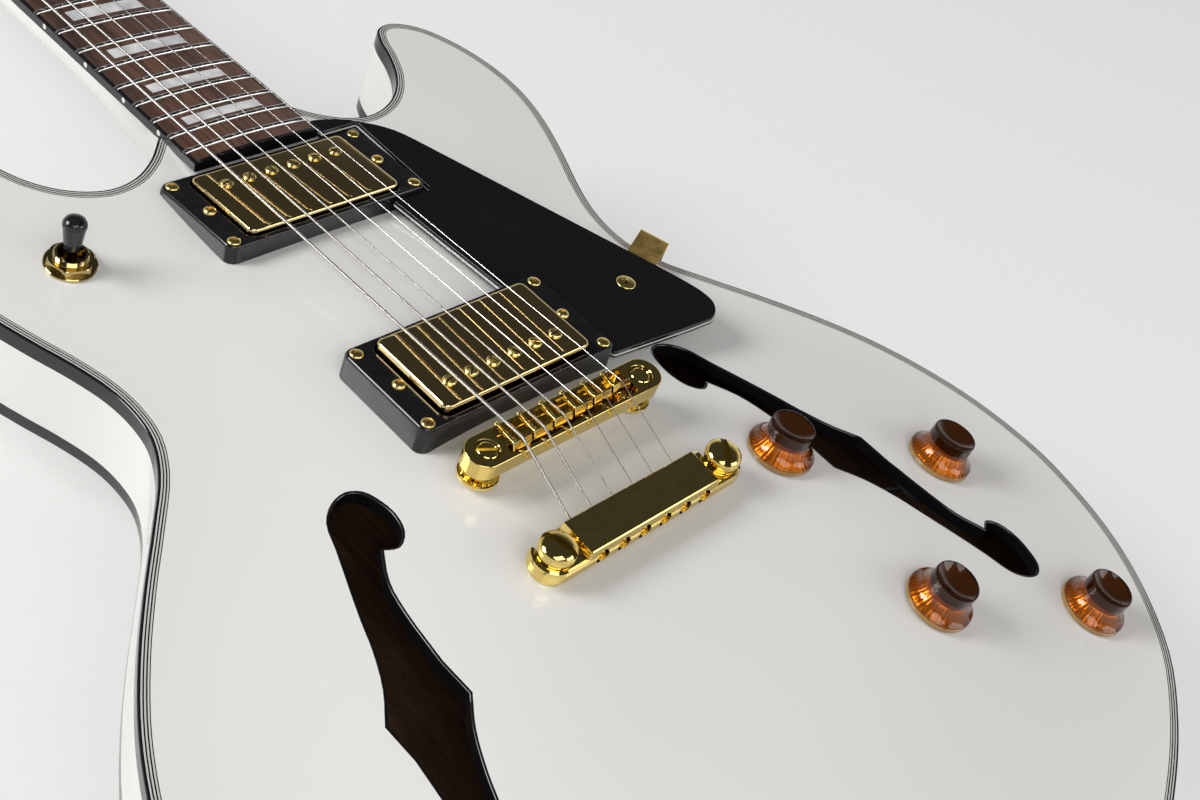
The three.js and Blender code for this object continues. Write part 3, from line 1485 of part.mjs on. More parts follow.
function pickup(rise) {
  const cover = bevelledPlate(
    COVER_LENGTH,
    COVER_WIDTH,
    COVER_CORNER,
    rise - COVER_DEPTH,
    rise,
    COVER_BEVEL,
  );
  const base = rise - COVER_DEPTH - BASE_THICK;
  const [length, width] = [COVER_LENGTH / 2, COVER_WIDTH / 2];
  const plateUnder = box(-length, length, -width, width, base, rise - COVER_DEPTH);
  const ears = box(
    -EAR_LENGTH / 2,
    EAR_LENGTH / 2,
    -EAR_WIDTH / 2,
    EAR_WIDTH / 2,
    base,
    rise - COVER_DEPTH,
  );
  const earHoles = [-1, 1].map((side) =>
    at(cylinder(EAR_HOLE, -OVERRUN, OVERRUN, SIDES_SMALL), (side * HEIGHT_SCREW_SPAN) / 2, 0, 0),
  );
  return { body: cut(join(cover, plateUnder, ears), ...earHoles), base };
}

function pickupPiece(rise, poleSide) {
  const { body } = pickup(rise);
  const poles = STRING_RADII.map((_, index) => {
    const head = cylinder(POLE_RADIUS, rise - COVER_BEVEL, rise + POLE_RISE, SIDES_SMALL);
    const shank = cylinder(POLE_SHANK, rise - POLE_LENGTH, rise - COVER_BEVEL / 2, 6);
    return at(join(head, shank), stringShare(index) * POLE_SPAN, poleSide * POLE_ROW, 0);
  });
  return join(body, ...poles);
}

// Pickguard and bracket

function guardOutline() {
  const ringSide = RING_LENGTH / 2 + GUARD_SPARE;
  const bridgeRingTop = BRIDGE_RING_Y + RING_WIDTH / 2 + GUARD_SPARE;
  const bridgeRingLow = BRIDGE_RING_Y - RING_WIDTH / 2 - GUARD_SPARE;
  const neckRingLow = NECK_RING_Y - RING_WIDTH / 2 - GUARD_SPARE;
  const neckRingTop = NECK_RING_Y + RING_WIDTH / 2 + GUARD_SPARE;
  const boardSide = BOARD_END_WIDTH / 2 + GUARD_SPARE;
  return [
    [ringSide, bridgeRingLow + GUARD_SPARE],
    [GUARD_TAIL_X, GUARD_TAIL_Y],
    [GUARD_TIP_CORNER_X, GUARD_TIP_CORNER_Y],
    [GUARD_TIP_ROUND_X, GUARD_TIP_ROUND_Y],
    [GUARD_TIP_X, GUARD_TIP_Y],
    [GUARD_TIP_TOP_X, GUARD_TIP_TOP_Y],
    [GUARD_BEND_X, GUARD_BEND_Y],
    [GUARD_HORN_X, GUARD_HORN_Y],
    [boardSide + GUARD_THICK, GUARD_TOP_Y],
    [boardSide, GUARD_TOP_Y],
    [boardSide, neckRingTop],
    [ringSide, neckRingTop],
    [ringSide, neckRingLow],
    [GUARD_INNER_HIGH_X, neckRingLow],
    [GUARD_INNER_LOW_X, bridgeRingTop],
    [ringSide, bridgeRingTop],
  ].map(([x, y]) => new THREE.Vector2(x, y - GUARD_HIGH_Y));
}

const guardFrame = tilted(GUARD_HIGH_Y, GUARD_HIGH_TOP, GUARD_TILT);

function pickguard() {
  const sheet = plate(guardOutline(), -GUARD_THICK, 0);
  const screw = cylinder(GUARD_SCREW_RADIUS, -GUARD_THICK / 2, GUARD_SCREW_RISE, SIDES_SMALL);
  const head = at(screw, GUARD_SCREW_X, GUARD_SCREW_Y - GUARD_HIGH_Y, 0);
  return moved(join(sheet, head), guardFrame);
}

// The strip lies under the guard and turns down over the side of the waist.
function pickguardBracket() {
  const side = trebleSide(BRACKET_SIDE_Y);
  const screwReach = Math.hypot(side.x - GUARD_SCREW_X, BRACKET_SIDE_Y - GUARD_SCREW_Y);
  const outer = BRACKET_STANDOFF + BRACKET_THICK;
  const half = BRACKET_WIDTH / 2;
  const fall = Math.tan(THREE.MathUtils.degToRad(-GUARD_TILT));
  const top = GUARD_HIGH_TOP - (BRACKET_SIDE_Y + half - GUARD_HIGH_Y) * fall - GUARD_THICK - SEAT_GAP;
  const strip = box(-screwReach - BRACKET_INNER, outer, -half, half, top - BRACKET_THICK, top);
  const leg = box(BRACKET_STANDOFF, outer, -half, half, top - BRACKET_DROP, top);
  return at(turned(join(strip, leg), Z_AXIS, side.turn), side.x, BRACKET_SIDE_Y, 0);
}

// Knobs, potentiometers and their wiring, modelled about the place where the shaft leaves the top

function knob() {
  const low = KNOB_LIFT;
  const profile = [
    [0, -SHAFT_DEPTH],
    [SHAFT_RADIUS, -SHAFT_DEPTH],
    [SHAFT_RADIUS, low + KNOB_HOLLOW_DEPTH],
    [KNOB_HOLLOW_RADIUS, low + KNOB_HOLLOW_DEPTH],
    [KNOB_HOLLOW_RADIUS, low],
    [KNOB_SKIRT_RADIUS, low],
    [KNOB_SKIRT_RADIUS, low + KNOB_SKIRT_THICK],
    [KNOB_BASE_RADIUS, low + KNOB_SKIRT_THICK],
    [KNOB_CROWN_RADIUS, low + KNOB_SHOULDER],
    [KNOB_CROWN_RADIUS, low + KNOB_HEIGHT],
    [KNOB_DISH_RADIUS, low + KNOB_HEIGHT],
    [KNOB_DISH_RADIUS, low + KNOB_HEIGHT - KNOB_DISH],
    [0, low + KNOB_HEIGHT - KNOB_DISH],
  ];
  return turning(profile, SIDES_MEDIUM);
}

const POT_TOP = -TOP_THICK - POT_DROP;

function potentiometer() {
  const can = cylinder(POT_RADIUS, POT_TOP - POT_DEPTH, POT_TOP, SIDES_SMALL * 2);
  const bushing = cylinder(BUSHING_OUTER, POT_TOP - SEAT_GAP, SEAT_GAP * 3 + POT_NUT_THICK, SIDES_SMALL);
  const nut = cylinder(POT_NUT_RADIUS, SEAT_GAP * 2, SEAT_GAP * 2 + POT_NUT_THICK, 6);
  const half = LUG_WIDTH / 2;
  const lugs = box(-half, half, -LUG_REACH, 0, POT_TOP - LUG_THICK * 2, POT_TOP - LUG_THICK);
  const shaftBore = cylinder(SHAFT_RADIUS + RUN_GAP, -SHAFT_DEPTH - SEAT_GAP * 2, OVERRUN, SIDES_SMALL);
  return cut(join(can, bushing, nut, lugs), shaftBore);
}

function wiringHarness() {
  const pots = knobFrames.map((frame) => moved(potentiometer(), frame));
  const inFrame = (frame, x, y, z) => new THREE.Vector3(x, y, z).applyMatrix4(frame);
  const lead = POT_TOP - POT_DEPTH + WIRE_RADIUS / 2;
  const hop = (from, to) => {
    const start = inFrame(from, 0, 0, lead);
    const end = inFrame(to, 0, 0, lead);
    const stations = [0, 0.2, 0.5, 0.8, 1].map((share) => {
      const place = new THREE.Vector3().lerpVectors(start, end, share);
      place.z -= WIRE_SAG * Math.sin(Math.PI * share);
      return place;
    });
    return wire(stations, WIRE_RADIUS, WIRE_SIDES);
  };
  const [neckVolume, neckTone, bridgeVolume, bridgeTone] = knobFrames;
  const wires = [
    hop(neckVolume, neckTone),
    hop(neckVolume, bridgeVolume),
    hop(bridgeVolume, bridgeTone),
  ];
  const jackEnd = new THREE.Vector3(
    JACK_X - SIDE_WALL - JACK_NECK_IN - JACK_FRAME_LENGTH / 2,
    JACK_Y - JACK_FRAME_RADIUS - SEAT_GAP,
    JACK_HEIGHT,
  );
  const start = inFrame(neckTone, 0, 0, lead);
  const stations = [
    start,
    start.clone().lerp(jackEnd, 1 / 2).add(new THREE.Vector3(0, -WIRE_SAG, -WIRE_SAG)),
    jackEnd.clone().add(new THREE.Vector3(0, -WIRE_SAG, 0)),
    jackEnd,
  ];
  return join(...pots, ...wires, wire(stations, WIRE_RADIUS, WIRE_SIDES));
}

// Toggle switch, modelled about the place where its bushing leaves the top

const LEVER_PIVOT = -TOP_THICK / 2;

function switchBody() {
  const frameTop = -TOP_THICK - SEAT_GAP * 2;
  const bushing = cylinder(SWITCH_BUSHING, frameTop - SEAT_GAP, SWITCH_RISE);
  const washerLow = SEAT_GAP;
  const washerTop = washerLow + SWITCH_WASHER_THICK;
  const washer = cylinder(SWITCH_WASHER_RADIUS, washerLow, washerTop);
  const nut = cylinder(SWITCH_NUT_RADIUS, washerTop, washerTop + SWITCH_NUT_THICK, 6);
  const [length, width] = [SWITCH_FRAME_LENGTH / 2, SWITCH_FRAME_WIDTH / 2];
  const frameBox = box(-length, length, -width, width, frameTop - SWITCH_FRAME_DEPTH, frameTop);
  const leverRoom = cylinder(SWITCH_BORE, frameTop - SWITCH_FRAME_DEPTH / 2, OVERRUN);
  const reach = PIVOT_REACH + SEAT_GAP;
  const pivotHole = turned(cylinder(PIVOT_RADIUS + RUN_GAP, -reach, reach, SIDES_SMALL), X_AXIS, QUARTER);
  return cut(join(bushing, washer, nut, frameBox), leverRoom, at(pivotHole, 0, 0, LEVER_PIVOT));
}

// The lever, modelled about its pivot.
function switchLever() {
  const start = TIP_START;
  const end = start + TIP_LENGTH;
  const profile = [
    [0, -LEVER_TAIL],
    [LEVER_RADIUS, -LEVER_TAIL],
    [LEVER_RADIUS, start],
    [TIP_NECK_RADIUS, start],
    [TIP_RADIUS, start + TIP_LENGTH / 2],
    [TIP_RADIUS, end - TIP_RADIUS / 2],
    [TIP_NECK_RADIUS, end],
    [0, end],
  ];
  const pivot = cylinder(PIVOT_RADIUS, -PIVOT_REACH, PIVOT_REACH, SIDES_SMALL);
  return join(turning(profile, SIDES_SMALL), turned(pivot, X_AXIS, QUARTER));
}

// Jack and strap buttons, modelled along +Z out of the side

function jack() {
  const plateLow = SEAT_GAP * 3;
  const plateTop = plateLow + JACK_PLATE_THICK;
  const plateDisc = cylinder(JACK_PLATE_RADIUS, plateLow, plateTop, SIDES_LARGE);
  const nut = cylinder(JACK_NUT_RADIUS, plateTop, plateTop + JACK_NUT_THICK, 6);
  const barrel = cylinder(JACK_BARREL, -SIDE_WALL - JACK_NECK_IN, JACK_NECK_OUT + SEAT_GAP);
  const frameTop = -SIDE_WALL - JACK_NECK_IN / 2;
  const frameBody = cylinder(JACK_FRAME_RADIUS, frameTop - JACK_FRAME_LENGTH, frameTop, SIDES_SMALL);
  const inner = join(plateDisc, nut, barrel, frameBody);
  return cut(inner, cylinder(JACK_BORE, -SIDE_WALL - JACK_NECK_IN, OVERRUN, SIDES_LARGE));
}

function strapButton() {
  const low = SEAT_GAP;
  const profile = [
    [0, -BUTTON_SCREW_LENGTH],
    [BUTTON_SCREW_RADIUS, -BUTTON_SCREW_LENGTH],
    [BUTTON_SCREW_RADIUS, low],
    [BUTTON_BASE_RADIUS, low],
    [BUTTON_BASE_RADIUS, low + BUTTON_HEAD_THICK / 2],
    [BUTTON_WAIST_RADIUS, low + BUTTON_HEAD_THICK],
    [BUTTON_WAIST_RADIUS, low + BUTTON_STAND - BUTTON_HEAD_THICK],
    [BUTTON_HEAD_RADIUS, low + BUTTON_STAND - BUTTON_HEAD_THICK / 2],
    [BUTTON_HEAD_RADIUS, low + BUTTON_STAND],
    [0, low + BUTTON_STAND],
  ];
  return turning(profile, SIDES_MEDIUM);
}

// Assembly

addPiece("top_plate", topPlate(), WHITE_GLOSS);
addPiece("back_plate", backPlate(), WHITE_GLOSS);
addPiece("body_rim", bodyRim(), WHITE_GLOSS);
addPiece("center_block", centerBlock(), BARE_WOOD);
addPiece("pickguard", pickguard(), BLACK_GLOSS);
addPiece("pickguard_bracket", pickguardBracket(), GOLD);
addPiece("neck", neckPiece(), WHITE_GLOSS, neckFrame);
addPiece("fingerboard", fingerboard(), ROSEWOOD, neckFrame);
addPiece("nut", nutPiece(), BONE, neckFrame);
addPiece("truss_rod", trussRod(), STEEL, neckFrame);

const TUNER_NAMES = ["low_e", "a", "d", "g", "b", "high_e"];
STRING_POSTS.forEach(([side, row], index) => {
  const x = side * TUNER_INSETS[row];
  const u = TUNER_FIRST + row * TUNER_STEP;
  const name = TUNER_NAMES[index];
  addPiece(`tuner_housing_${name}`, tunerHousing(side), GOLD, headFrame).position.set(x, u, 0);
  addPiece(`tuner_post_${name}`, tunerPost(), GOLD, headFrame).position.set(x, u, 0);
  const button = addPiece(`tuner_button_${name}`, tunerButton(), GOLD, headFrame);
  const wormZ = -HEAD_THICK - SEAT_GAP - HOUSING_DEPTH / 2;
  button.position.set(x + side * BUTTON_REACH, u + WORM_OFFSET, wormZ);
  if (side < 0) button.rotation.z = Math.PI;
  addPiece(`string_${name}`, stringPiece(index), STEEL);
});

addPiece("bridge_body", bridgeBody(), GOLD);
TUNER_NAMES.forEach((name, index) => {
  const saddle = addPiece(`bridge_saddle_${name}`, bridgeSaddle(index), GOLD);
  saddle.position.set(stringShare(index) * BRIDGE_SPREAD, SADDLE_ROWS[index], 0);
});
[
  ["bass", -1],
  ["treble", 1],
].forEach(([name, side]) => {
  const post = addPiece(`bridge_post_${name}`, bridgePost(), GOLD);
  post.position.set((side * BRIDGE_POST_SPAN) / 2, 0, 0);
  const stud = addPiece(`tailpiece_stud_${name}`, tailpieceStud(), GOLD);
  stud.position.set((side * STUD_SPAN) / 2, TAIL_BAR_Y, 0);
});
addPiece("tailpiece", tailpiece(), GOLD);

function addPickup(name, frame, rise, poleSide) {
  addPiece(`${name}_pickup_ring`, pickupRing(frame), BLACK_GLOSS);
  const piece = addPiece(`${name}_pickup`, pickupPiece(rise, poleSide), GOLD);
  frame.decompose(piece.position, piece.quaternion, piece.scale);
}

addPickup("neck", neckRingFrame, NECK_COVER_RISE, 1);
addPickup("bridge", bridgeRingFrame, BRIDGE_COVER_RISE, -1);

KNOB_NAMES.forEach((name, index) => {
  const piece = addPiece(`${name}_knob`, knob(), AMBER);
  knobFrames[index].decompose(piece.position, piece.quaternion, piece.scale);
});
addPiece("wiring_harness", wiringHarness(), WIRE_COAT);

const switchPiece = addPiece("switch_body", switchBody(), GOLD);
switchFrame.decompose(switchPiece.position, switchPiece.quaternion, switchPiece.scale);
const lever = addPiece("switch_lever", switchLever(), BLACK_GLOSS);
lever.position.set(0, 0, LEVER_PIVOT).applyMatrix4(switchFrame);
lever.quaternion.copy(switchPiece.quaternion);

const jackPiece = addPiece("jack", jack(), GOLD);
jackPiece.position.set(JACK_X, JACK_Y, JACK_HEIGHT);
jackPiece.rotation.y = Math.PI / 2;
const tailButton = addPiece("strap_button_tail", strapButton(), GOLD);
tailButton.position.set(0, TAIL_Y, BUTTON_HEIGHT);
tailButton.rotation.x = Math.PI / 2;
const hornButton = addPiece("strap_button_horn", strapButton(), GOLD);
hornButton.position.set(HORN_BUTTON_X, HORN_TOP_Y, BUTTON_HEIGHT);
hornButton.rotation.x = -Math.PI / 2;

// The tip onto the back: the guitar rests on the lower side of its profile that spans its balance point.

const BALANCE_Y = 60;

function restTilt() {
  guitar.updateMatrixWorld(true);
  const points = [];
  guitar.traverse((piece) => {
    if (!piece.isMesh) return;
    const places = piece.geometry.attributes.position;
    for (let i = 0; i < places.count; i += 1) {
      const place = new THREE.Vector3().fromBufferAttribute(places, i).applyMatrix4(piece.matrixWorld);
      points.push(new THREE.Vector2(place.y, place.z));
    }
  });
  points.sort((a, b) => a.x - b.x || a.y - b.y);
  const hull = [];
  points.forEach((point) => {
    while (hull.length > 1) {
      const [a, b] = [hull[hull.length - 2], hull[hull.length - 1]];
      if (b.clone().sub(a).cross(point.clone().sub(a)) > 0) break;
      hull.pop();
    }
    hull.push(point);
  });
  const index = hull.findIndex((point) => point.x > BALANCE_Y);
  const reach = hull[index].clone().sub(hull[index - 1]);
  return Math.atan2(reach.y, reach.x);
}

guitar.rotation.x = -restTilt();
const part = new THREE.Group();
part.add(guitar);
part.updateMatrixWorld(true);
const bounds = new THREE.Box3().setFromObject(guitar, true);
const middle = bounds.getCenter(new THREE.Vector3());
guitar.position.set(-middle.x, -middle.y, -bounds.min.z);
part.updateMatrixWorld(true);

export default part;
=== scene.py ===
"""Looks of a semi-hollow electric guitar that lies on its back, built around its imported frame.

Shapes are drawn in millimetres in the guitar's own frames and set in metres: the body's frame has its
origin on the centre line under the saddles at the height of the sides' upper edge, the neck's and the
headstock's frames start from it, and every fitting has the frame that its joint or its seat gives it.
"""

from __future__ import annotations

import json
import logging
from dataclasses import dataclass, field
from enum import Enum, IntEnum
from functools import cache
from math import asin, atan2, copysign, cos, gamma, pi, radians, sin, sqrt
from typing import Callable, Sequence, Union

import bpy
import numpy as np
from mathutils import Matrix, Vector
from mathutils.geometry import delaunay_2d_cdt


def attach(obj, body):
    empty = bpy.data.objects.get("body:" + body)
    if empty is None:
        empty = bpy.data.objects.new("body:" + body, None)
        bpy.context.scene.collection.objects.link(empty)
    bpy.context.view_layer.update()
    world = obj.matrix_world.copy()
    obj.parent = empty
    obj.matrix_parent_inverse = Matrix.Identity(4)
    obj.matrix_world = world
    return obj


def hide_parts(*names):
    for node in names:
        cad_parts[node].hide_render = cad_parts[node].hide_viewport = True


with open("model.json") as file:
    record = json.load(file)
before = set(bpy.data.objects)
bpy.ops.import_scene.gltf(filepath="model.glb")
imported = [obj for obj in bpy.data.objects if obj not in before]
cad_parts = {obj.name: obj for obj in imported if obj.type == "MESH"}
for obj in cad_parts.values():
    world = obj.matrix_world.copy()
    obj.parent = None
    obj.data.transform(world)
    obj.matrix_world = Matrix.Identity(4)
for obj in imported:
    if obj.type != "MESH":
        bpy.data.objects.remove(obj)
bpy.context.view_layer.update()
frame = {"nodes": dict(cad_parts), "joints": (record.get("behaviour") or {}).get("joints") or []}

log = logging.getLogger("guitar")
logging.basicConfig(level=logging.INFO, format="%(message)s")

MM = 0.001
SHADE_ANGLE = radians(32)
STRING_NAMES = ("low_e", "a", "d", "g", "b", "high_e")
Tone = Union[int, Callable[[int, int], int]]
Pair = tuple[float, float]
Triple = tuple[float, float, float]
Profile = Sequence[Pair]
Line = Sequence[Vector]
Loop = list[Vector]
Tree, Node, Output, Thing = bpy.types.NodeTree, bpy.types.Node, bpy.types.NodeSocket, bpy.types.Object


def vec(*parts: float) -> Vector:
    """Vector of two or three parts."""
    return Vector(parts)


def turn_about(axis: str, degrees: float) -> Matrix:
    """Rotation matrix about a named axis."""
    return Matrix.Rotation(radians(degrees), 4, axis)


def shift(x: float, y: float, z: float) -> Matrix:
    """Translation matrix."""
    return Matrix.Translation((x, y, z))


def smoothstep(value: float, low: float, high: float) -> float:
    """Soft step from 0 at low to 1 at high."""
    share = min(max((value - low) / (high - low), 0), 1)
    return share * share * (3 - 2 * share)


# Lines


def spline(points: Line, steps: int, closed: bool = False) -> Loop:
    """Rounds a chain of points by a centripetal spline through them.

    Args:
        points: the points that the line passes.
        steps: pieces between two neighbouring points.
        closed: whether the last point leads back to the first.

    Returns:
        The points of the smooth line, without a repeat of the first at the end where it is closed.
    """
    if closed:
        whole = [points[-1], *points, points[0], points[1]]
    else:
        whole = [points[0] * 2 - points[1], *points, points[-1] * 2 - points[-2]]
    line: Loop = []
    for index in range(len(whole) - 3):
        p0, p1, p2, p3 = whole[index:index + 4]
        t1 = max((p1 - p0).length, 1e-6) ** 0.5
        t2 = t1 + max((p2 - p1).length, 1e-6) ** 0.5
        t3 = t2 + max((p3 - p2).length, 1e-6) ** 0.5
        for step in range(steps):
            t = t1 + (t2 - t1) * step / steps
            a1 = p0.lerp(p1, t / t1)
            a2 = p1.lerp(p2, (t - t1) / (t2 - t1))
            a3 = p2.lerp(p3, (t - t2) / (t3 - t2))
            b1 = a1.lerp(a2, t / t2)
            b2 = a2.lerp(a3, (t - t1) / (t3 - t1))
            line.append(b1.lerp(b2, (t - t1) / (t2 - t1)))
    if not closed:
        line.append(points[-1].copy())
    return line


def soften(points: Sequence, reach: Union[float, Sequence[float]], steps: int = 3, closed: bool = False) -> Loop:
    """Rounds the corners of a line.

    Args:
        points: the corners, in two dimensions.
        reach: how far along its edges each corner is rounded, one value or one per corner.
        steps: pieces of each rounded corner.
        closed: whether the last point leads back to the first.

    Returns:
        The points of the softened line.
    """
    corners = [Vector(p) for p in points]
    count = len(corners)
    reaches = [reach] * count if isinstance(reach, (int, float)) else list(reach)
    line: Loop = []
    for index, corner in enumerate(corners):
        if not closed and index in (0, count - 1) or reaches[index] <= 0:
            line.append(corner)
            continue
        before, after = corners[index - 1], corners[(index + 1) % count]
        span = min(reaches[index], (before - corner).length * 0.49, (after - corner).length * 0.49)
        start = corner + (before - corner).normalized() * span
        end = corner + (after - corner).normalized() * span
        for step in range(steps + 1):
            share = step / steps
            line.append(start.lerp(corner, share).lerp(corner.lerp(end, share), share))
    return line


def offset(loop: Line, inward: float) -> Loop:
    """Moves a closed counter-clockwise loop inwards, or outwards where inward is negative.

    Args:
        loop: the loop's points in two dimensions.
        inward: the distance.

    Returns:
        As many points as the loop has.
    """
    count = len(loop)
    moved = []
    for index, point in enumerate(loop):
        incoming = (point - loop[index - 1]).normalized()
        outgoing = (loop[(index + 1) % count] - point).normalized()
        along = (incoming + outgoing).normalized()
        spread = max(along.dot(outgoing), 0.5)
        moved.append(point + vec(-along.y, along.x) * (inward / spread))
    return moved


def counter_clockwise(loop: Line) -> Loop:
    """The loop, turned round if it runs clockwise."""
    area = sum(a.x * b.y - b.x * a.y for a, b in zip(loop, list(loop[1:]) + [loop[0]]))
    return list(loop) if area > 0 else list(reversed(loop))


def circle(radius: float, sides: int, x: float = 0, y: float = 0) -> Loop:
    """A counter-clockwise circle."""
    angles = (2 * pi * k / sides for k in range(sides))
    return [vec(x + radius * cos(a), y + radius * sin(a)) for a in angles]


def rounded_box(width: float, height: float, corner: float, steps: int = 5, sides: int = 1) -> Loop:
    """A counter-clockwise rounded rectangle round the origin.

    Args:
        width: its size along x.
        height: its size along y.
        corner: the corners' radius.
        steps: pieces of each corner.
        sides: pieces of each straight side.

    Returns:
        The loop's points.
    """
    x, y = width / 2 - corner, height / 2 - corner
    centres = ((x, y), (-x, y), (-x, -y), (x, -y))
    loop: Loop = []
    for index, (cx, cy) in enumerate(centres):
        for step in range(steps + 1):
            angle = pi / 2 * (index + step / steps)
            loop.append(vec(cx + corner * cos(angle), cy + corner * sin(angle)))
        nxt, last = centres[(index + 1) % 4], loop[-1].copy()
        end = vec(nxt[0] + corner * cos(angle), nxt[1] + corner * sin(angle))
        loop.extend(last.lerp(end, k / sides) for k in range(1, sides))
    return loop


def lofted(loop: Line, z: float) -> Loop:
    """The loop's points at one height."""
    return [vec(p.x, p.y, z) for p in loop]


# Forms


@dataclass
class Form:
    """Points in millimetres and faces with the number of the finish that each takes."""

    points: Loop = field(default_factory=list)
    faces: list[tuple[int, ...]] = field(default_factory=list)
    tones: list[int] = field(default_factory=list)

    def face(self, corners: Sequence[int], tone: int = 0) -> None:
        """Adds a face, leaving out repeats of a corner.

        Args:
            corners: numbers of its points in order.
            tone: its finish's number.
        """
        kept = [c for k, c in enumerate(corners) if c != corners[k - 1]]
        if len(set(kept)) > 2:
            self.faces.append(tuple(kept))
            self.tones.append(tone)

    def skin(self, rings: Sequence[Line], tone: Tone = 0, caps: bool = True, round_trip: bool = False) -> Form:
        """Adds a skin over closed rings of equally many points. A ring of one point is a pole.

        Args:
            rings: the rings in order, counter-clockwise seen from the last one.
            tone: the finish's number, or a function of the band and the place along the ring.
            caps: whether the first and last rings are filled.
            round_trip: whether the last ring joins the first one.

        Returns:
            The form itself.
        """
        starts = []
        for ring in rings:
            starts.append(len(self.points))
            self.points.extend(Vector(p) for p in ring)
        pick = tone if callable(tone) else (lambda band, place: tone)
        size = max(len(ring) for ring in rings)
        total = len(rings)
        for band in range(total if round_trip else total - 1):
            low, high = band, (band + 1) % total
            for place in range(size):
                nxt = (place + 1) % size
                a, b = (starts[low] + (k if len(rings[low]) > 1 else 0) for k in (place, nxt))
                d, c = (starts[high] + (k if len(rings[high]) > 1 else 0) for k in (place, nxt))
                self.face((a, b, c, d), pick(band, place))
        if caps and not round_trip:
            for band, turned_round in ((0, True), (total - 1, False)):
                if len(rings[band]) > 2:
                    corners = list(range(starts[band], starts[band] + len(rings[band])))
                    self.face(corners[::-1] if turned_round else corners, pick(min(band, total - 2), 0))
        return self

    def fill(self, loops: Sequence[Sequence[int]], up: bool, tone: int, cell: float = 0) -> None:
        """Fills the flat region between an outer loop and its holes.

        Args:
            loops: numbers of the points of the outer loop and of each hole.
            up: whether the faces look towards +Z.
            tone: the finish's number.
            cell: spacing of extra points inside, none where it is 0.
        """
        numbers = [number for each in loops for number in each]
        flat = [self.points[number].to_2d() for number in numbers]
        height = self.points[numbers[0]].z
        edges, begin = [], 0
        for each in loops:
            edges += [(begin + k, begin + (k + 1) % len(each)) for k in range(len(each))]
            begin += len(each)
        ends = np.array([[*flat[a], *flat[b]] for a, b in edges])
        if cell:
            for place in inner_grid(flat, ends, cell):
                numbers.append(len(self.points))
                self.points.append(vec(place[0], place[1], height))
                flat.append(Vector(place))
        places, _, triangles, origins, _, _ = delaunay_2d_cdt(flat, edges, [], 0, 1e-7)
        back = [numbers[found[0]] if found else -1 for found in origins]
        middles = np.array([sum((places[k] for k in t), vec(0, 0)) / 3 for t in triangles])
        for triangle, inside in zip(triangles, inside_loops(middles, ends)):
            corners = [back[k] for k in triangle]
            if inside and min(corners) >= 0:
                self.face(corners if up else corners[::-1], tone)

    def add(self, other: Form, matrix: Matrix | None = None, tone: int | None = None) -> Form:
        """Adds another form, moved and given one finish if asked. Returns the form itself.

        Args:
            other: the form.
            matrix: where it goes.
            tone: its one finish, if any.

        Returns:
            The form itself.
        """
        start = len(self.points)
        self.points.extend((matrix @ p) if matrix else p.copy() for p in other.points)
        self.faces.extend(tuple(start + k for k in corners) for corners in other.faces)
        self.tones.extend(other.tones if tone is None else [tone] * len(other.faces))
        return self

    def moved(self, matrix: Matrix) -> Form:
        """A copy moved by a matrix."""
        return Form().add(self, matrix)

    def bend(self, rule: Callable[[Vector], Vector]) -> Form:
        """Moves every point by a rule. Returns the form itself."""
        self.points = [rule(point) for point in self.points]
        return self


def inside_loops(places: np.ndarray, ends: np.ndarray) -> np.ndarray:
    """Whether each place lies inside the region that a set of edges bounds.

    Args:
        places: points in the plane, one a row.
        ends: the bounding edges, each a row of x0, y0, x1, y1.

    Returns:
        One truth value a place.
    """
    x, y = places[:, :1], places[:, 1:]
    x0, y0, x1, y1 = (ends[:, k][None, :] for k in range(4))
    spans = (y0 > y) != (y1 > y)
    with np.errstate(divide="ignore", invalid="ignore"):
        crossing = x0 + (y - y0) * (x1 - x0) / (y1 - y0)
    return (spans & (x < crossing)).sum(1) % 2 == 1


def edge_distances(places: np.ndarray, ends: np.ndarray) -> np.ndarray:
    """Distance from each place to the nearest of a set of edges, both as in inside_loops.

    Args:
        places: points, one a row.
        ends: the edges, as in inside_loops.

    Returns:
        One distance a place.
    """
    start, along = ends[None, :, :2], (ends[:, 2:] - ends[:, :2])[None]
    reach = places[:, None, :] - start
    share = np.clip((reach * along).sum(2) / np.maximum((along ** 2).sum(2), 1e-12), 0, 1)
    return np.sqrt(((reach - share[..., None] * along) ** 2).sum(2)).min(1)


def inner_grid(loop: Line, ends: np.ndarray, cell: float) -> np.ndarray:
    """Staggered points inside a region, clear of its edges.

    Args:
        loop: points of the region's loops.
        ends: its edges, as in inside_loops.
        cell: spacing of the points.

    Returns:
        The points, one a row.
    """
    xs, ys = [p.x for p in loop], [p.y for p in loop]
    rows = np.arange(min(ys), max(ys), cell * 0.87)
    grid = [(x + (cell / 2 if row % 2 else 0), y)
            for row, y in enumerate(rows) for x in np.arange(min(xs), max(xs), cell)]
    places = np.array(grid)
    places = places[inside_loops(places, ends)]
    return places[edge_distances(places, ends) > cell * 0.55]


def lathe(profile: Profile, sides: int, tone: int = 0) -> Form:
    """A turned form.

    Args:
        profile: radius and height of each point, from one end to the other, upwards on the outside.
        sides: number of sides.
        tone: the finish's number.

    Returns:
        The form, round the z axis.
    """
    rings = []
    for radius, z in profile:
        rings.append(lofted(circle(radius, sides), z) if radius > 1e-6 else [vec(0, 0, z)])
    return Form().skin(rings, tone)


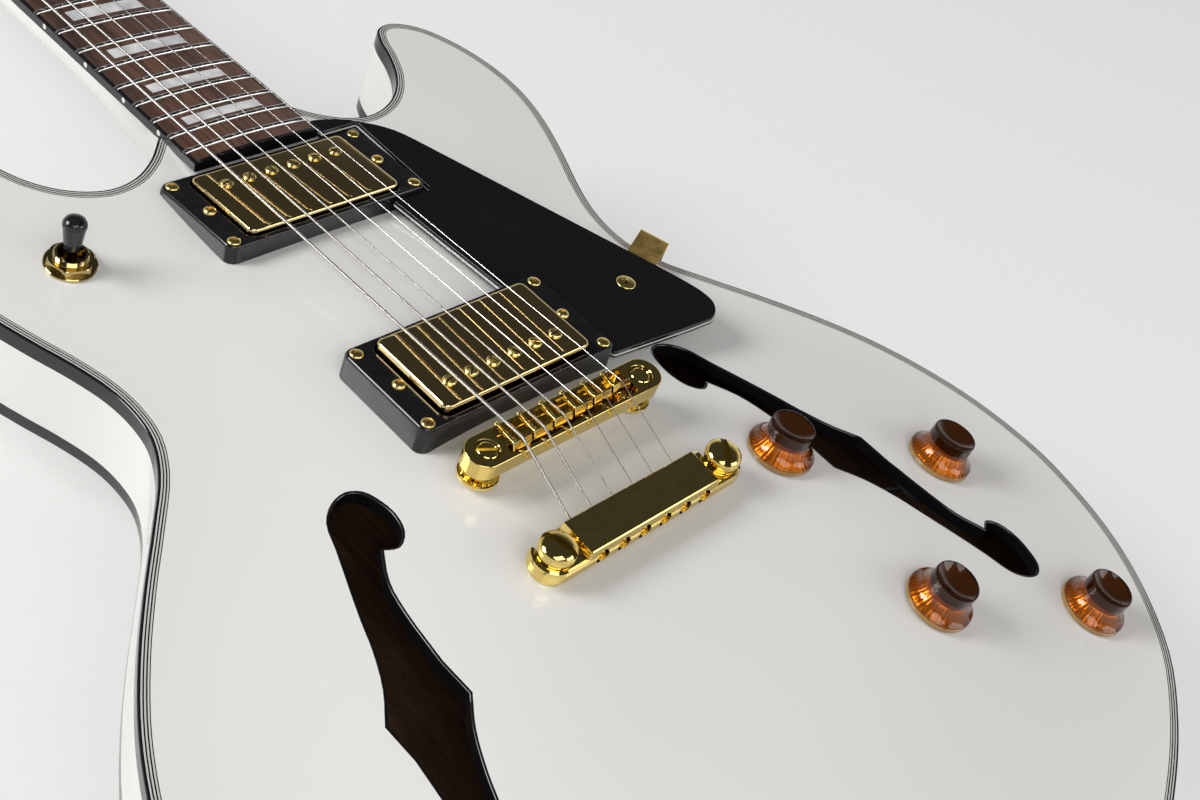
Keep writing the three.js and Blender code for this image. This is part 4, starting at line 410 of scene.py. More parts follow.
def plate(outline: Line, edge: Profile, holes: Sequence[Line] = (),
          tones: Sequence[int] = (0, 0, 0), cell: float = 0) -> Form:
    """A plate with a shaped edge and square openings.

    Args:
        outline: its outer loop.
        edge: inset and height of each line round the outer wall, from the bottom up.
        holes: loops of its openings.
        tones: finish numbers of the underside, the walls and the upper side.
        cell: spacing of extra points on the upper and lower sides.

    Returns:
        The form, lying in the plane z = 0.
    """
    form, lows, highs = Form(), [], []
    square = [(0, edge[0][1]), (0, edge[-1][1])]
    walls = [(counter_clockwise(outline), edge, 1)] + [(counter_clockwise(hole), square, -1) for hole in holes]
    for loop, rows, side in walls:
        start = len(form.points)
        rings = [lofted(offset(loop, inset * side) if inset else loop, z) for inset, z in rows]
        form.skin(rings[::side], tones[1], caps=False)
        end = len(form.points)
        low, high = (range(start, start + len(loop)), range(end - len(loop), end))[::side]
        lows.append(low)
        highs.append(high)
    form.fill(lows, False, tones[0], cell)
    form.fill(highs, True, tones[2], cell)
    return form


def soft_edge(low: float, high: float, bevel: float, steps: int = 3, both: bool = True) -> list[Pair]:
    """Edge of a plate with rounded corners.

    Args:
        low: height of its underside.
        high: height of its upper side.
        bevel: the corners' reach.
        steps: pieces of each corner.
        both: whether the lower corner is rounded too.

    Returns:
        Inset and height of each line, from the bottom up.
    """
    corners = [(bevel * 2, low), (0, low), (0, high), (bevel * 2, high)]
    line = soften(corners if both else corners[1:], bevel, steps)
    return [(p.x, p.y) for p in line[both:-1]]


def block(x0: float, x1: float, y0: float, y1: float, z0: float, z1: float) -> Form:
    """A cutting block between two corners."""
    loop = [Vector(p) for p in ((x0, y0), (x1, y0), (x1, y1), (x0, y1))]
    return Form().skin([lofted(loop, z0), lofted(loop, z1)])


def tube(path: Line, radius: float, sides: int) -> Form:
    """A round bar along a path, with its ends closed and no twist between its rings.

    Args:
        path: its middle line.
        radius: its radius.
        sides: its number of sides.

    Returns:
        The form.
    """
    rings = []
    normal = vec(1, 0, 0)
    for index, point in enumerate(path):
        before, after = path[max(index - 1, 0)], path[min(index + 1, len(path) - 1)]
        along = (after - before).normalized()
        normal = (normal - along * normal.dot(along)).normalized()
        other = along.cross(normal)
        rings.append([
            point + (normal * cos(a) + other * sin(a)) * radius
            for a in (2 * pi * k / sides for k in range(sides))
        ])
    return Form().skin(rings)


def loose_object(form: Form, name: str) -> Thing:
    """An object in millimetres that holds a form.

    Args:
        form: its shape.
        name: its name.

    Returns:
        The object, without finishes.
    """
    mesh = bpy.data.meshes.new(name)
    mesh.from_pydata(form.points, [], form.faces)
    for _ in range(max(form.tones, default=0) + 1):
        mesh.materials.append(None)
    mesh.polygons.foreach_set("material_index", form.tones)
    thing = bpy.data.objects.new(name, mesh)
    bpy.context.scene.collection.objects.link(thing)
    return thing


def carve(base: Form, *tools: Form, join: bool = False) -> Form:
    """Cuts tools out of a closed form, or joins them to it.

    Args:
        base: the form that is cut.
        tools: closed forms.
        join: whether the tools are added.

    Returns:
        The result as one form. Faces keep their finish numbers.
    """
    thing = loose_object(base, "carved")
    helpers = []
    for tool in tools:
        helper = loose_object(tool, "tool")
        helpers.append(helper)
        step = thing.modifiers.new("carve", "BOOLEAN")
        step.operation = "UNION" if join else "DIFFERENCE"
        step.solver = "EXACT"
        step.object = helper
    bpy.context.view_layer.update()
    graph = bpy.context.evaluated_depsgraph_get()
    mesh = bpy.data.meshes.new_from_object(thing.evaluated_get(graph))
    result = Form(
        [v.co.copy() for v in mesh.vertices],
        [tuple(p.vertices) for p in mesh.polygons],
        [p.material_index for p in mesh.polygons],
    )
    bpy.data.meshes.remove(mesh)
    for leftover in [thing, *helpers]:
        data = leftover.data
        bpy.data.objects.remove(leftover)
        bpy.data.meshes.remove(data)
    return result


# Shader nodes




class Desk:
    """Sets nodes in one tree and joins them."""

    def __init__(self, tree: Tree) -> None:
        """Takes the tree that it works on."""
        self.tree = tree

    def add(self, kind: str, values: dict | None = None, **settings: object) -> Node:
        """Adds a node.

        Args:
            kind: the node's type.
            values: socket values or the outputs that feed them, by name or number.
            settings: the node's own settings.

        Returns:
            The node.
        """
        node = self.tree.nodes.new(kind)
        for key, value in settings.items():
            setattr(node, key, value)
        self.dress(node, values or {})
        return node

    def feed(self, socket: Output, value: object) -> None:
        """Joins an output to a socket, or sets its value.

        Args:
            socket: the input.
            value: an output or a plain value.
        """
        if isinstance(value, Output):
            self.tree.links.new(value, socket)
        else:
            socket.default_value = value

    def dress(self, node: Node, values: dict) -> None:
        """Feeds several of a node's sockets, by name or number."""
        for key, value in values.items():
            self.feed(node.inputs[key], value)

    def place(self) -> Output:
        """The object's own coordinates."""
        return self.add("ShaderNodeTexCoord").outputs["Object"]

    def math(self, operation: str, first: object, second: object = 0.0) -> Output:
        """Output of a math node."""
        return self.add("ShaderNodeMath", {0: first, 1: second}, operation=operation).outputs[0]

    def times(self, first: object, second: object) -> Output:
        """Product of two values."""
        return self.math("MULTIPLY", first, second)

    def blend(self, share: object, first: object, second: object, way: str = "MIX") -> Output:
        """Output of a colour mix."""
        node = self.add("ShaderNodeMix", {0: share, 6: first, 7: second}, data_type="RGBA", blend_type=way)
        return node.outputs[2]

    def spread(self, value: object, low: float, high: float, new_low: object = 0.0, new_high: object = 1.0) -> Output:
        """A value's range from low to high, stretched to a new one."""
        values = {0: value, 1: low, 2: high, 3: new_low, 4: new_high}
        return self.add("ShaderNodeMapRange", values).outputs[0]

    def noise(self, place: object, scale: object, detail: float = 3.0, roughness: float = 0.55) -> Output:
        """Value of a noise texture."""
        values = {"Vector": place, "Scale": scale, "Detail": detail, "Roughness": roughness}
        return self.add("ShaderNodeTexNoise", values).outputs["Fac"]

    def stretched(self, place: object, stretch: Triple) -> Output:
        """Coordinates scaled along the axes."""
        return self.add("ShaderNodeMapping", {"Vector": place, "Scale": stretch}).outputs[0]

    def bump(self, height: object, strength: float, distance: float) -> Output:
        """Normal of a bump."""
        values = {"Height": height, "Strength": strength, "Distance": distance}
        return self.add("ShaderNodeBump", values).outputs[0]


class Effect(Enum):
    """Surface effects that several finishes use."""

    HANDLING = "handling"
    EDGE_WEAR = "edge_wear"
    GRAIN = "wood_grain"
    BRUSHED = "brushed"
    DUST = "dust"


class EffectShelf:
    """Builds each shared effect once, as a node group, and sets it in a finish."""

    def __init__(self) -> None:
        """Starts with no group built."""
        self.groups: dict[Effect, Tree] = {}

    def set_in(self, desk: Desk, effect: Effect, **values: object) -> dict:
        """Sets an effect in a finish's tree.

        Args:
            desk: the finish's desk.
            effect: which effect.
            values: values of its inputs by name.

        Returns:
            The outputs of the group's node.
        """
        if effect not in self.groups:
            getattr(self, f"build_{effect.value}")()
        return desk.add("ShaderNodeGroup", values, node_tree=self.groups[effect]).outputs

    def start(self, effect: Effect, inputs: dict, outputs: Sequence[str]) -> tuple[Desk, dict, Node, Output]:
        """Starts a group.

        Args:
            effect: the effect that it holds.
            inputs: the value of each of its inputs by name, of which one with four parts is a colour.
            outputs: names of its outputs, of which "Color" is a colour.

        Returns:
            The desk, the inputs as given, the node of the outputs and the object's coordinates.
        """
        tree = self.groups[effect] = bpy.data.node_groups.new(effect.value, "ShaderNodeTree")
        for name, value in inputs.items():
            kind = "NodeSocketColor" if isinstance(value, tuple) else "NodeSocketFloat"
            tree.interface.new_socket(name, in_out="INPUT", socket_type=kind).default_value = value
        for name in outputs:
            kind = "NodeSocketColor" if name == "Color" else "NodeSocketFloat"
            tree.interface.new_socket(name, in_out="OUTPUT", socket_type=kind)
        desk = Desk(tree)
        given, result = desk.add("NodeGroupInput"), desk.add("NodeGroupOutput")
        return desk, given.outputs, result, desk.place()

    def build_handling(self) -> None:
        """Smudges from hands, hairline marks and the slight ripple of a polished coat."""
        desk, given, result, place = self.start(
            Effect.HANDLING, {"Polish": 0.1, "Smudge": 0.06, "Scale": 18.0}, ("Roughness", "Ripple"))
        cloud = desk.noise(place, given["Scale"], 5.0, 0.62)
        patch = desk.spread(cloud, 0.46, 0.72)
        hair = desk.noise(desk.stretched(place, (1.0, 0.08, 1.0)), 900.0, 2.0)
        lines = desk.times(desk.spread(hair, 0.66, 0.74, 0.0, 0.5), patch)
        added = desk.times(desk.math("MAXIMUM", patch, lines), given["Smudge"])
        desk.dress(result, {
            "Roughness": desk.math("ADD", given["Polish"], added),
            "Ripple": desk.noise(place, 240.0, 2.0),
        })

    def build_edge_wear(self) -> None:
        """Thin bright wear where a surface turns over an edge."""
        desk, given, result, place = self.start(Effect.EDGE_WEAR, {"Amount": 0.5, "Scale": 300.0}, ("Mask",))
        edge = desk.spread(desk.add("ShaderNodeNewGeometry").outputs["Pointiness"], 0.52, 0.6)
        chips = desk.spread(desk.noise(place, given["Scale"], 4.0), 0.42, 0.62)
        worn = desk.times(desk.times(edge, chips), given["Amount"])
        desk.dress(result, {"Mask": worn})

    def build_wood_grain(self) -> None:
        """Grain that runs along the guitar: bands, fibres and open pores."""
        desk, given, result, place = self.start(
            Effect.GRAIN,
            {"Light": (0.6, 0.4, 0.2, 1.0), "Dark": (0.3, 0.2, 0.1, 1.0), "Bands": 40.0, "Pores": 0.5},
            ("Color", "Height", "Pore mask"))
        bands = desk.noise(desk.stretched(place, (1.0, 0.07, 1.0)), given["Bands"], 3.0, 0.6)
        fibres = desk.noise(desk.stretched(place, (1.0, 0.03, 1.0)), 1100.0, 3.0, 0.6)
        streaks = desk.noise(desk.stretched(place, (1.0, 0.04, 1.0)), 420.0, 4.0, 0.65)
        pores = desk.spread(desk.noise(desk.stretched(place, (1.0, 0.045, 1.0)), 1500.0, 1.0), 0.58, 0.66)
        figure = desk.math("ADD", desk.times(bands, 0.55), desk.times(streaks, 0.45))
        tone = desk.blend(desk.spread(figure, 0.4, 0.6), given["Dark"], given["Light"])
        fine = desk.blend(desk.spread(fibres, 0.3, 0.7, 0.0, 0.35), tone, given["Dark"])
        holes = desk.times(pores, given["Pores"])
        desk.dress(result, {
            "Color": desk.blend(holes, fine, (0.02, 0.012, 0.008, 1)),
            "Height": desk.math("SUBTRACT", desk.times(fibres, 0.4), holes),
            "Pore mask": holes,
        })

    def build_brushed(self) -> None:
        """Fine parallel marks of a polished metal."""
        desk, given, result, place = self.start(Effect.BRUSHED, {"Fineness": 2600.0, "Depth": 1.0}, ("Height", "Mask"))
        marks = desk.noise(desk.stretched(place, (0.04, 1.0, 1.0)), given["Fineness"], 2.0)
        desk.dress(result, {
            "Height": desk.times(marks, given["Depth"]),
            "Mask": desk.spread(marks, 0.35, 0.7),
        })

    def build_dust(self) -> None:
        """Specks and a thin film that settle on surfaces that look up."""
        desk, given, result, place = self.start(Effect.DUST, {"Amount": 0.1, "Scale": 900.0}, ("Mask",))
        normal = desk.add("ShaderNodeNewGeometry").outputs["Normal"]
        up = desk.add("ShaderNodeSeparateXYZ", {0: normal}).outputs["Z"]
        specks = desk.spread(desk.noise(place, given["Scale"], 1.0), 0.7, 0.76)
        film = desk.spread(desk.noise(place, 30.0, 4.0), 0.35, 0.75, 0.05, 0.35)
        settled = desk.times(desk.math("MAXIMUM", specks, film), desk.spread(up, 0.3, 0.95))
        desk.dress(result, {"Mask": desk.times(settled, given["Amount"])})


SHELF = EffectShelf()


def rgba(colour: Triple) -> tuple[float, float, float, float]:
    """A colour with full cover."""
    return (*colour, 1.0)


@dataclass(frozen=True)
class Finish:
    """A finish: its name, its slot in the record and its colour."""

    name: str
    slot: str
    colour: Triple

    @cache
    def build(self) -> bpy.types.Material:
        """Makes the material once.

        Returns:
            The material.
        """
        material = bpy.data.materials.new(f"{self.name}_finish")
        material.use_nodes = True
        material.node_tree.nodes.clear()
        desk = Desk(material.node_tree)
        surface = desk.add("ShaderNodeBsdfPrincipled")
        end = desk.add("ShaderNodeOutputMaterial")
        desk.feed(end.inputs["Surface"], surface.outputs[0])
        self.dress(desk, surface)
        material.diffuse_color = rgba(self.colour)
        return material

    def dress(self, desk: Desk, surface: Node) -> None:
        """Feeds the surface shader's sockets.

        Args:
            desk: the material's desk.
            surface: its surface shader.
        """
        desk.dress(surface, {"Base Color": rgba(self.colour)})


@dataclass(frozen=True)
class Lacquer(Finish):
    """Sprayed and buffed coat over wood or plastic."""

    shade: Triple = (0.7, 0.69, 0.66)
    polish: float = 0.16
    smudge: float = 0.05
    ripple: float = 0.02
    dust: float = 0.05
    coat: float = 0.6
    settled: Triple = (0.62, 0.6, 0.57)

    def dress(self, desk: Desk, surface: Node) -> None:
        """Feeds an even colour with faint patches, a clear coat and its ripple.

        Args:
            desk: the material's desk.
            surface: its surface shader.
        """
        handling = SHELF.set_in(desk, Effect.HANDLING, Polish=self.polish, Smudge=self.smudge)
        dust = SHELF.set_in(desk, Effect.DUST, Amount=self.dust)
        patches = desk.spread(desk.noise(desk.place(), 7.0, 3.0), 0.35, 0.7, 0.0, 0.12)
        tone = desk.blend(patches, rgba(self.colour), rgba(self.shade))
        desk.dress(surface, {
            "Base Color": desk.blend(dust["Mask"], tone, rgba(self.settled)),
            "Roughness": handling["Roughness"],
            "Coat Weight": self.coat,
            "Coat Roughness": 0.04,
            "Normal": desk.bump(handling["Ripple"], self.ripple, 0.0006),
        })


@dataclass(frozen=True)
class Plating(Finish):
    """Plated or bare metal."""

    worn: Triple = (0.62, 0.55, 0.42)
    polish: float = 0.09
    smudge: float = 0.12
    wear: float = 0.35
    brush: float = 0.15

    def dress(self, desk: Desk, surface: Node) -> None:
        """Feeds polished metal with smudges, fine marks and paler edges.

        Args:
            desk: the material's desk.
            surface: its surface shader.
        """
        handling = SHELF.set_in(desk, Effect.HANDLING, Polish=self.polish, Smudge=self.smudge, Scale=120.0)
        edge = SHELF.set_in(desk, Effect.EDGE_WEAR, Amount=self.wear)
        brushed = SHELF.set_in(desk, Effect.BRUSHED)
        clouds = desk.spread(desk.noise(desk.place(), 160.0, 4.0), 0.35, 0.75, 0.0, 0.3)
        deep = rgba(tuple(c * 0.72 for c in self.colour))
        tone = desk.blend(clouds, rgba(self.colour), deep)
        marks = desk.times(brushed["Mask"], 0.03)
        desk.dress(surface, {
            "Base Color": desk.blend(edge["Mask"], tone, rgba(self.worn)),
            "Metallic": 1.0,
            "Roughness": desk.math("ADD", handling["Roughness"], marks),
            "Normal": desk.bump(brushed["Height"], self.brush, 0.00002),
        })


@dataclass(frozen=True)
class Plastic(Finish):
    """Moulded or cut plastic and bone."""

    shade: Triple = (0.05, 0.05, 0.05)
    polish: float = 0.2
    smudge: float = 0.12
    wear: float = 0.2
    dust: float = 0.1
    mottle: float = 0.15
    settled: Triple = (0.45, 0.44, 0.42)

    def dress(self, desk: Desk, surface: Node) -> None:
        """Feeds a mottled colour with dust, rubbed edges and a fine skin.

        Args:
            desk: the material's desk.
            surface: its surface shader.
        """
        handling = SHELF.set_in(desk, Effect.HANDLING, Polish=self.polish, Smudge=self.smudge, Scale=60.0)
        dust = SHELF.set_in(desk, Effect.DUST, Amount=self.dust)
        edge = SHELF.set_in(desk, Effect.EDGE_WEAR, Amount=self.wear)
        spots = desk.spread(desk.noise(desk.place(), 90.0, 5.0), 0.3, 0.75, 0.0, self.mottle)
        tone = desk.blend(spots, rgba(self.colour), rgba(self.shade))
        paler = rgba(tuple(min(c * 1.6 + 0.03, 1) for c in self.shade))
        rubbed = desk.blend(edge["Mask"], tone, paler)
        desk.dress(surface, {
            "Base Color": desk.blend(dust["Mask"], rubbed, rgba(self.settled)),
            "Roughness": handling["Roughness"],
            "Normal": desk.bump(handling["Ripple"], 0.06, 0.0002),
        })


@dataclass(frozen=True)
class Wood(Finish):
    """Bare or oiled wood."""

    dark: Triple = (0.1, 0.05, 0.03)
    bands: float = 45.0
    pores: float = 0.6
    roughness: float = 0.5
    relief: float = 0.25
    dust: float = 0.06
    settled: Triple = (0.5, 0.47, 0.43)

    def dress(self, desk: Desk, surface: Node) -> None:
        """Feeds grain, pores and their relief.

        Args:
            desk: the material's desk.
            surface: its surface shader.
        """
        grain = SHELF.set_in(desk, Effect.GRAIN, Light=rgba(self.colour), Dark=rgba(self.dark),
                             Bands=self.bands, Pores=self.pores)
        dust = SHELF.set_in(desk, Effect.DUST, Amount=self.dust)
        open_pores = desk.times(grain["Pore mask"], 0.2)
        desk.dress(surface, {
            "Base Color": desk.blend(dust["Mask"], grain["Color"], rgba(self.settled)),
            "Roughness": desk.math("ADD", open_pores, self.roughness),
            "Normal": desk.bump(grain["Height"], self.relief, 0.00015),
        })


@dataclass(frozen=True)
class Pearl(Finish):
    """Pearl plastic of the inlays, with swirling flakes."""

    shade: Triple = (0.5, 0.5, 0.53)

    def dress(self, desk: Desk, surface: Node) -> None:
        """Feeds flakes of different brightness and gloss.

        Args:
            desk: the material's desk.
            surface: its surface shader.
        """
        place = desk.place()
        warp = desk.add("ShaderNodeTexNoise", {"Vector": place, "Scale": 90.0, "Detail": 2.0}).outputs["Color"]
        swirl = desk.add("ShaderNodeMix", {0: 0.012, 4: place, 5: warp}, data_type="VECTOR").outputs[1]
        cells = desk.add("ShaderNodeTexVoronoi", {"Vector": swirl, "Scale": 170.0}, feature="SMOOTH_F1")
        distance = cells.outputs["Distance"]
        flake = desk.spread(distance, 0.1, 0.7)
        desk.dress(surface, {
            "Base Color": desk.blend(flake, rgba(self.colour), rgba(self.shade)),
            "Roughness": desk.spread(flake, 0.0, 1.0, 0.12, 0.34),
            "Coat Weight": 0.5,
            "Normal": desk.bump(distance, 0.05, 0.0002),
        })


def surface_end(tree: Tree) -> Output:
    """Socket of a material's tree that takes its surface."""
    return next(node for node in tree.nodes if node.type == "OUTPUT_MATERIAL").inputs["Surface"]


@dataclass(frozen=True)
class Amber(Finish):
    """Clear amber plastic of the knobs."""

    depth: Triple = (0.45, 0.13, 0.01)
    polish: float = 0.06

    def dress(self, desk: Desk, surface: Node) -> None:
        """Feeds a clear tinted body with faint flow marks and smudges, which lets the lamps' light in.

        Args:
            desk: the material's desk.
            surface: its surface shader.
        """
        handling = SHELF.set_in(desk, Effect.HANDLING, Polish=self.polish, Smudge=0.05, Scale=150.0)
        flow = desk.spread(desk.noise(desk.place(), 130.0, 3.0), 0.3, 0.7, 0.0, 0.5)
        desk.dress(surface, {
            "Base Color": desk.blend(flow, rgba(self.colour), rgba(self.depth)),
            "Roughness": handling["Roughness"],
            "Transmission Weight": 1.0,
            "IOR": 1.49,
            "Normal": desk.bump(handling["Ripple"], 0.03, 0.0002),
        })
        shadow = desk.add("ShaderNodeLightPath").outputs["Is Shadow Ray"]
        clear = desk.add("ShaderNodeBsdfTransparent", {"Color": rgba(self.colour)})
        both = desk.add("ShaderNodeMixShader", {0: shadow, 1: surface.outputs[0], 2: clear.outputs[0]})
        desk.feed(surface_end(desk.tree), both.outputs[0])


@dataclass(frozen=True)
class WoundWire(Plating):
    """Steel string, plain or with a wire wound round it."""

    pitch: float = 0.0

    def dress(self, desk: Desk, surface: Node) -> None:
        """Feeds steel, with the winding's ridges where the string has one, and painted shade darkening the grooves
        between its turns.

        Args:
            desk: the material's desk.
            surface: its surface shader.
        """
        super().dress(desk, surface)
        if not self.pitch:
            return
        along, around = (desk.add("ShaderNodeAttribute", attribute_name=name).outputs["Fac"]
                         for name in ("along", "round"))
        turns = desk.math("ADD", desk.times(along, 1 / self.pitch), around)
        ridge = desk.math("ABSOLUTE", desk.math("SINE", desk.times(turns, pi)))
        # painted shade: the share of dark grey that is mixed into the metal in the grooves between the winding's turns,
        # standing in for the shade that falls there
        groove = desk.spread(ridge, 0.0, 0.45, 0.14, 0.0)
        metal = surface.inputs["Base Color"].links[0].from_socket
        # the dark grey below is the painted groove shade, blended into the metal's colour by that share
        desk.dress(surface, {
            "Base Color": desk.blend(groove, metal, (0.1, 0.095, 0.09, 1)),
            "Normal": desk.bump(ridge, 0.3, self.pitch * MM * 0.4),
        })


@dataclass(frozen=True)
class StudioGround(Finish):
    """Pale floor that keeps the object's shadow."""

    def dress(self, desk: Desk, surface: Node) -> None:
        """Feeds a pale matt colour with a faint tooth.

        Args:
            desk: the material's desk.
            surface: its surface shader.
        """
        tooth = desk.noise(desk.place(), 160.0, 4.0)
        shade = rgba(tuple(c * 0.97 for c in self.colour))
        desk.dress(surface, {
            "Base Color": desk.blend(desk.spread(tooth, 0.3, 0.7), rgba(self.colour), shade),
            "Roughness": 0.85,
            "Normal": desk.bump(tooth, 0.05, 0.0004),
        })


WHITE = Lacquer("white_lacquer", "white_lacquer", (0.8, 0.79, 0.765))
PLY_BLACK = Lacquer("ply_black", "black_plastic", (0.005, 0.005, 0.006), shade=(0.012, 0.012, 0.014), dust=0.008,
                    coat=0.1)
PLY_WHITE = Lacquer("ply_white", "white_lacquer", (0.6, 0.595, 0.57), shade=(0.5, 0.48, 0.42), dust=0.02)
HEAD_BLACK = Lacquer("head_black", "black_plastic", (0.006, 0.006, 0.007), shade=(0.012, 0.012, 0.014), dust=0.015)
RAW_MAPLE = Wood("raw_maple", "bare_maple", (0.2, 0.105, 0.05), dark=(0.075, 0.034, 0.015), roughness=0.72, pores=0.3)
ROSEWOOD = Wood("rosewood", "rosewood", (0.15, 0.068, 0.042), dark=(0.028, 0.011, 0.007), bands=70.0, pores=0.8,
                roughness=0.36)
BONE = Plastic("bone", "bone", (0.76, 0.71, 0.58), shade=(0.55, 0.47, 0.33), polish=0.3, dust=0.04)
PEARL = Pearl("pearl_block", "bone", (0.83, 0.83, 0.8))
DOT_WHITE = Plastic("dot_white", "bone", (0.75, 0.74, 0.7), shade=(0.55, 0.53, 0.48), polish=0.25, dust=0.02)
FRET_METAL = Plating("fret_metal", "string_steel", (0.66, 0.65, 0.63), worn=(0.85, 0.84, 0.82), polish=0.07,
                     smudge=0.06)
STEEL = Plating("rod_steel", "rod_steel", (0.42, 0.42, 0.43), worn=(0.6, 0.6, 0.6), polish=0.32, brush=0.5)
GOLD = Plating("gold_plate", "gold_plate", (0.84, 0.64, 0.2), worn=(0.93, 0.82, 0.48), polish=0.045, smudge=0.07)
GOLD_DARK = Plating("gold_dark", "gold_plate", (0.52, 0.4, 0.17), worn=(0.7, 0.58, 0.32), polish=0.06, smudge=0.06)
GOLD_SCREW = Plating("gold_screw", "gold_plate", (0.88, 0.69, 0.25), worn=(0.95, 0.84, 0.5), polish=0.24, smudge=0.05)
GOLD_STRAP = Plating("gold_strap", "gold_plate", (0.95, 0.66, 0.2), worn=(0.98, 0.84, 0.44), polish=0.36,
                     smudge=0.25, brush=0.9)
GOLD_COVER = Plating("gold_cover", "gold_cover", (0.74, 0.56, 0.27), worn=(0.9, 0.78, 0.5), polish=0.03, smudge=0.04)
RING_BLACK = Plastic("ring_black", "black_plastic", (0.006, 0.006, 0.007), shade=(0.016, 0.016, 0.018),
                     polish=0.12, smudge=0.08, dust=0.012)
GUARD_BLACK = Lacquer("guard_black", "black_plastic", (0.005, 0.005, 0.006), shade=(0.012, 0.012, 0.014),
                      polish=0.08, dust=0.01, coat=0.1)
TIP_BLACK = Plastic("tip_black", "black_plastic", (0.008, 0.008, 0.01), shade=(0.02, 0.02, 0.02), polish=0.1, dust=0.02)
AMBER = Amber("amber_plastic", "amber_plastic", (0.66, 0.27, 0.045), depth=(0.5, 0.16, 0.02))
AMBER_EDGE = Plastic("amber_edge", "amber_plastic", (0.34, 0.19, 0.06), shade=(0.24, 0.12, 0.03), polish=0.1)
KNOB_CORE = Plastic("knob_core", "amber_plastic", (0.016, 0.007, 0.005), shade=(0.03, 0.012, 0.008), polish=0.3,
                    dust=0.0, wear=0.0)
KNOB_BAND = Plastic("knob_band", "amber_plastic", (0.26, 0.14, 0.1), shade=(0.16, 0.08, 0.05), polish=0.3, dust=0.0)
KNOB_FOIL = Plating("knob_foil", "amber_plastic", (0.34, 0.22, 0.09), worn=(0.45, 0.32, 0.15), polish=0.16)
WIRE_PLAIN = WoundWire("string_plain", "string_steel", (0.72, 0.7, 0.68), worn=(0.9, 0.9, 0.88), polish=0.2,
                       smudge=0.02, brush=0.02)
WIRE_COAT = Plastic("wire_coat", "black_plastic", (0.045, 0.045, 0.05), shade=(0.1, 0.1, 0.11), polish=0.5)
FLOOR = StudioGround("studio_ground", "", (0.8, 0.79, 0.775))


def wound_wire(radius: float) -> WoundWire:
    """Finish of a wound string of a radius.

    Args:
        radius: the string's radius.

    Returns:
        The finish, with the pitch of its winding.
    """
    pitch = round(radius * 0.52, 3)
    return WoundWire(f"string_wound_{round(pitch * 1000)}", "string_steel", (0.6, 0.575, 0.54),
                     worn=(0.8, 0.78, 0.74), polish=0.26, smudge=0.02, brush=0.02, pitch=pitch)


# Seats


def seat(place: Vector, up: Vector, across: Vector = vec(1, 0, 0)) -> Matrix:
    """Frame at a place, with its z axis along up and its x axis as near to across as it can be.

    Args:
        place: its origin.
        up: its z axis.
        across: where its x axis should point.

    Returns:
        The frame.
    """
    z = up.normalized()
    y = z.cross(across).normalized()
    matrix = Matrix((y.cross(z), y, z)).transposed().to_4x4()
    matrix.translation = place
    return matrix


JOINTS = {joint["name"]: joint for joint in frame["joints"]}
POSTS = [Vector(JOINTS[name]["pos_m"]) for name in ("post_turn_bass", "post_turn_treble")]
GUITAR = seat((POSTS[0] + POSTS[1]) / 2, Vector(JOINTS["bridge_height"]["axis"])) @ Matrix.Scale(MM, 4)
NECK_SLOPE = 6.5
HEAD_SLOPE = 15
SCALE_LENGTH = 628.65
NUT_END = 633.65
NECK = shift(0, 1.5, 20.1) @ turn_about("X", -NECK_SLOPE)
HEAD = NECK @ shift(0, NUT_END, -0.6) @ turn_about("X", -HEAD_SLOPE)


def joint_seat(name: str) -> Matrix:
    """Frame of a hinge in the guitar's millimetres: its place, with z along its axis.

    Args:
        name: the joint's name in the frame.

    Returns:
        The frame.
    """
    joint = JOINTS[name]
    turned = seat(Vector(joint["pos_m"]), Vector(joint["axis"]))
    return GUITAR.inverted() @ turned @ Matrix.Scale(MM, 4)


def even_normals(thing: Thing) -> None:
    """Weighs a smooth mesh's normals by the faces' areas, so that flats stay flat beside round edges.

    Args:
        thing: the object, whose mesh is made anew.
    """
    step = thing.modifiers.new("even", "WEIGHTED_NORMAL")
    step.keep_sharp = True
    step.weight = 90
    bpy.context.view_layer.update()
    graph = bpy.context.evaluated_depsgraph_get()
    old = thing.data
    thing.data = bpy.data.meshes.new_from_object(thing.evaluated_get(graph))
    thing.data.name = old.name + "_mesh"
    thing.modifiers.clear()
    bpy.data.meshes.remove(old)


def make_piece(name: str, form: Form, finishes: Sequence[Finish], at: Matrix | None = None,
               body: str = "guitar", stands_for: str = "",
               sharp: float = SHADE_ANGLE) -> Thing:
    """Sets a form in the scene as a finished piece.

    Args:
        name: the piece's name.
        form: its shape in millimetres.
        finishes: the finish of each number that the form's faces hold.
        at: its frame in the guitar's millimetres.
        body: the body of the frame that it rides on.
        stands_for: the frame's node that it replaces, if any.
        sharp: faces that meet at a wider angle get a sharp edge.

    Returns:
        The piece.
    """
    thing = loose_object(form.moved(GUITAR @ at if at else GUITAR), name)
    for number, finish in enumerate(finishes):
        if number < len(thing.data.materials):
            thing.data.materials[number] = finish.build()
    thing.data.shade_smooth()
    thing.data.set_sharp_from_angle(angle=sharp)
    even_normals(thing)
    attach(thing, body)
    if stands_for:
        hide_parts(stands_for)
    log.info("%s: %d faces on %s", name, len(form.faces), body)
    return thing


def dress_node(node: str, finish: Finish) -> None:
    """Gives a node of the frame that stays in view its finish.

    Args:
        node: its name.
        finish: what it gets.
    """
    thing = frame["nodes"][node]
    thing.data.materials.clear()
    thing.data.materials.append(finish.build())
    log.info("%s: the frame's own shape", node)


# Body


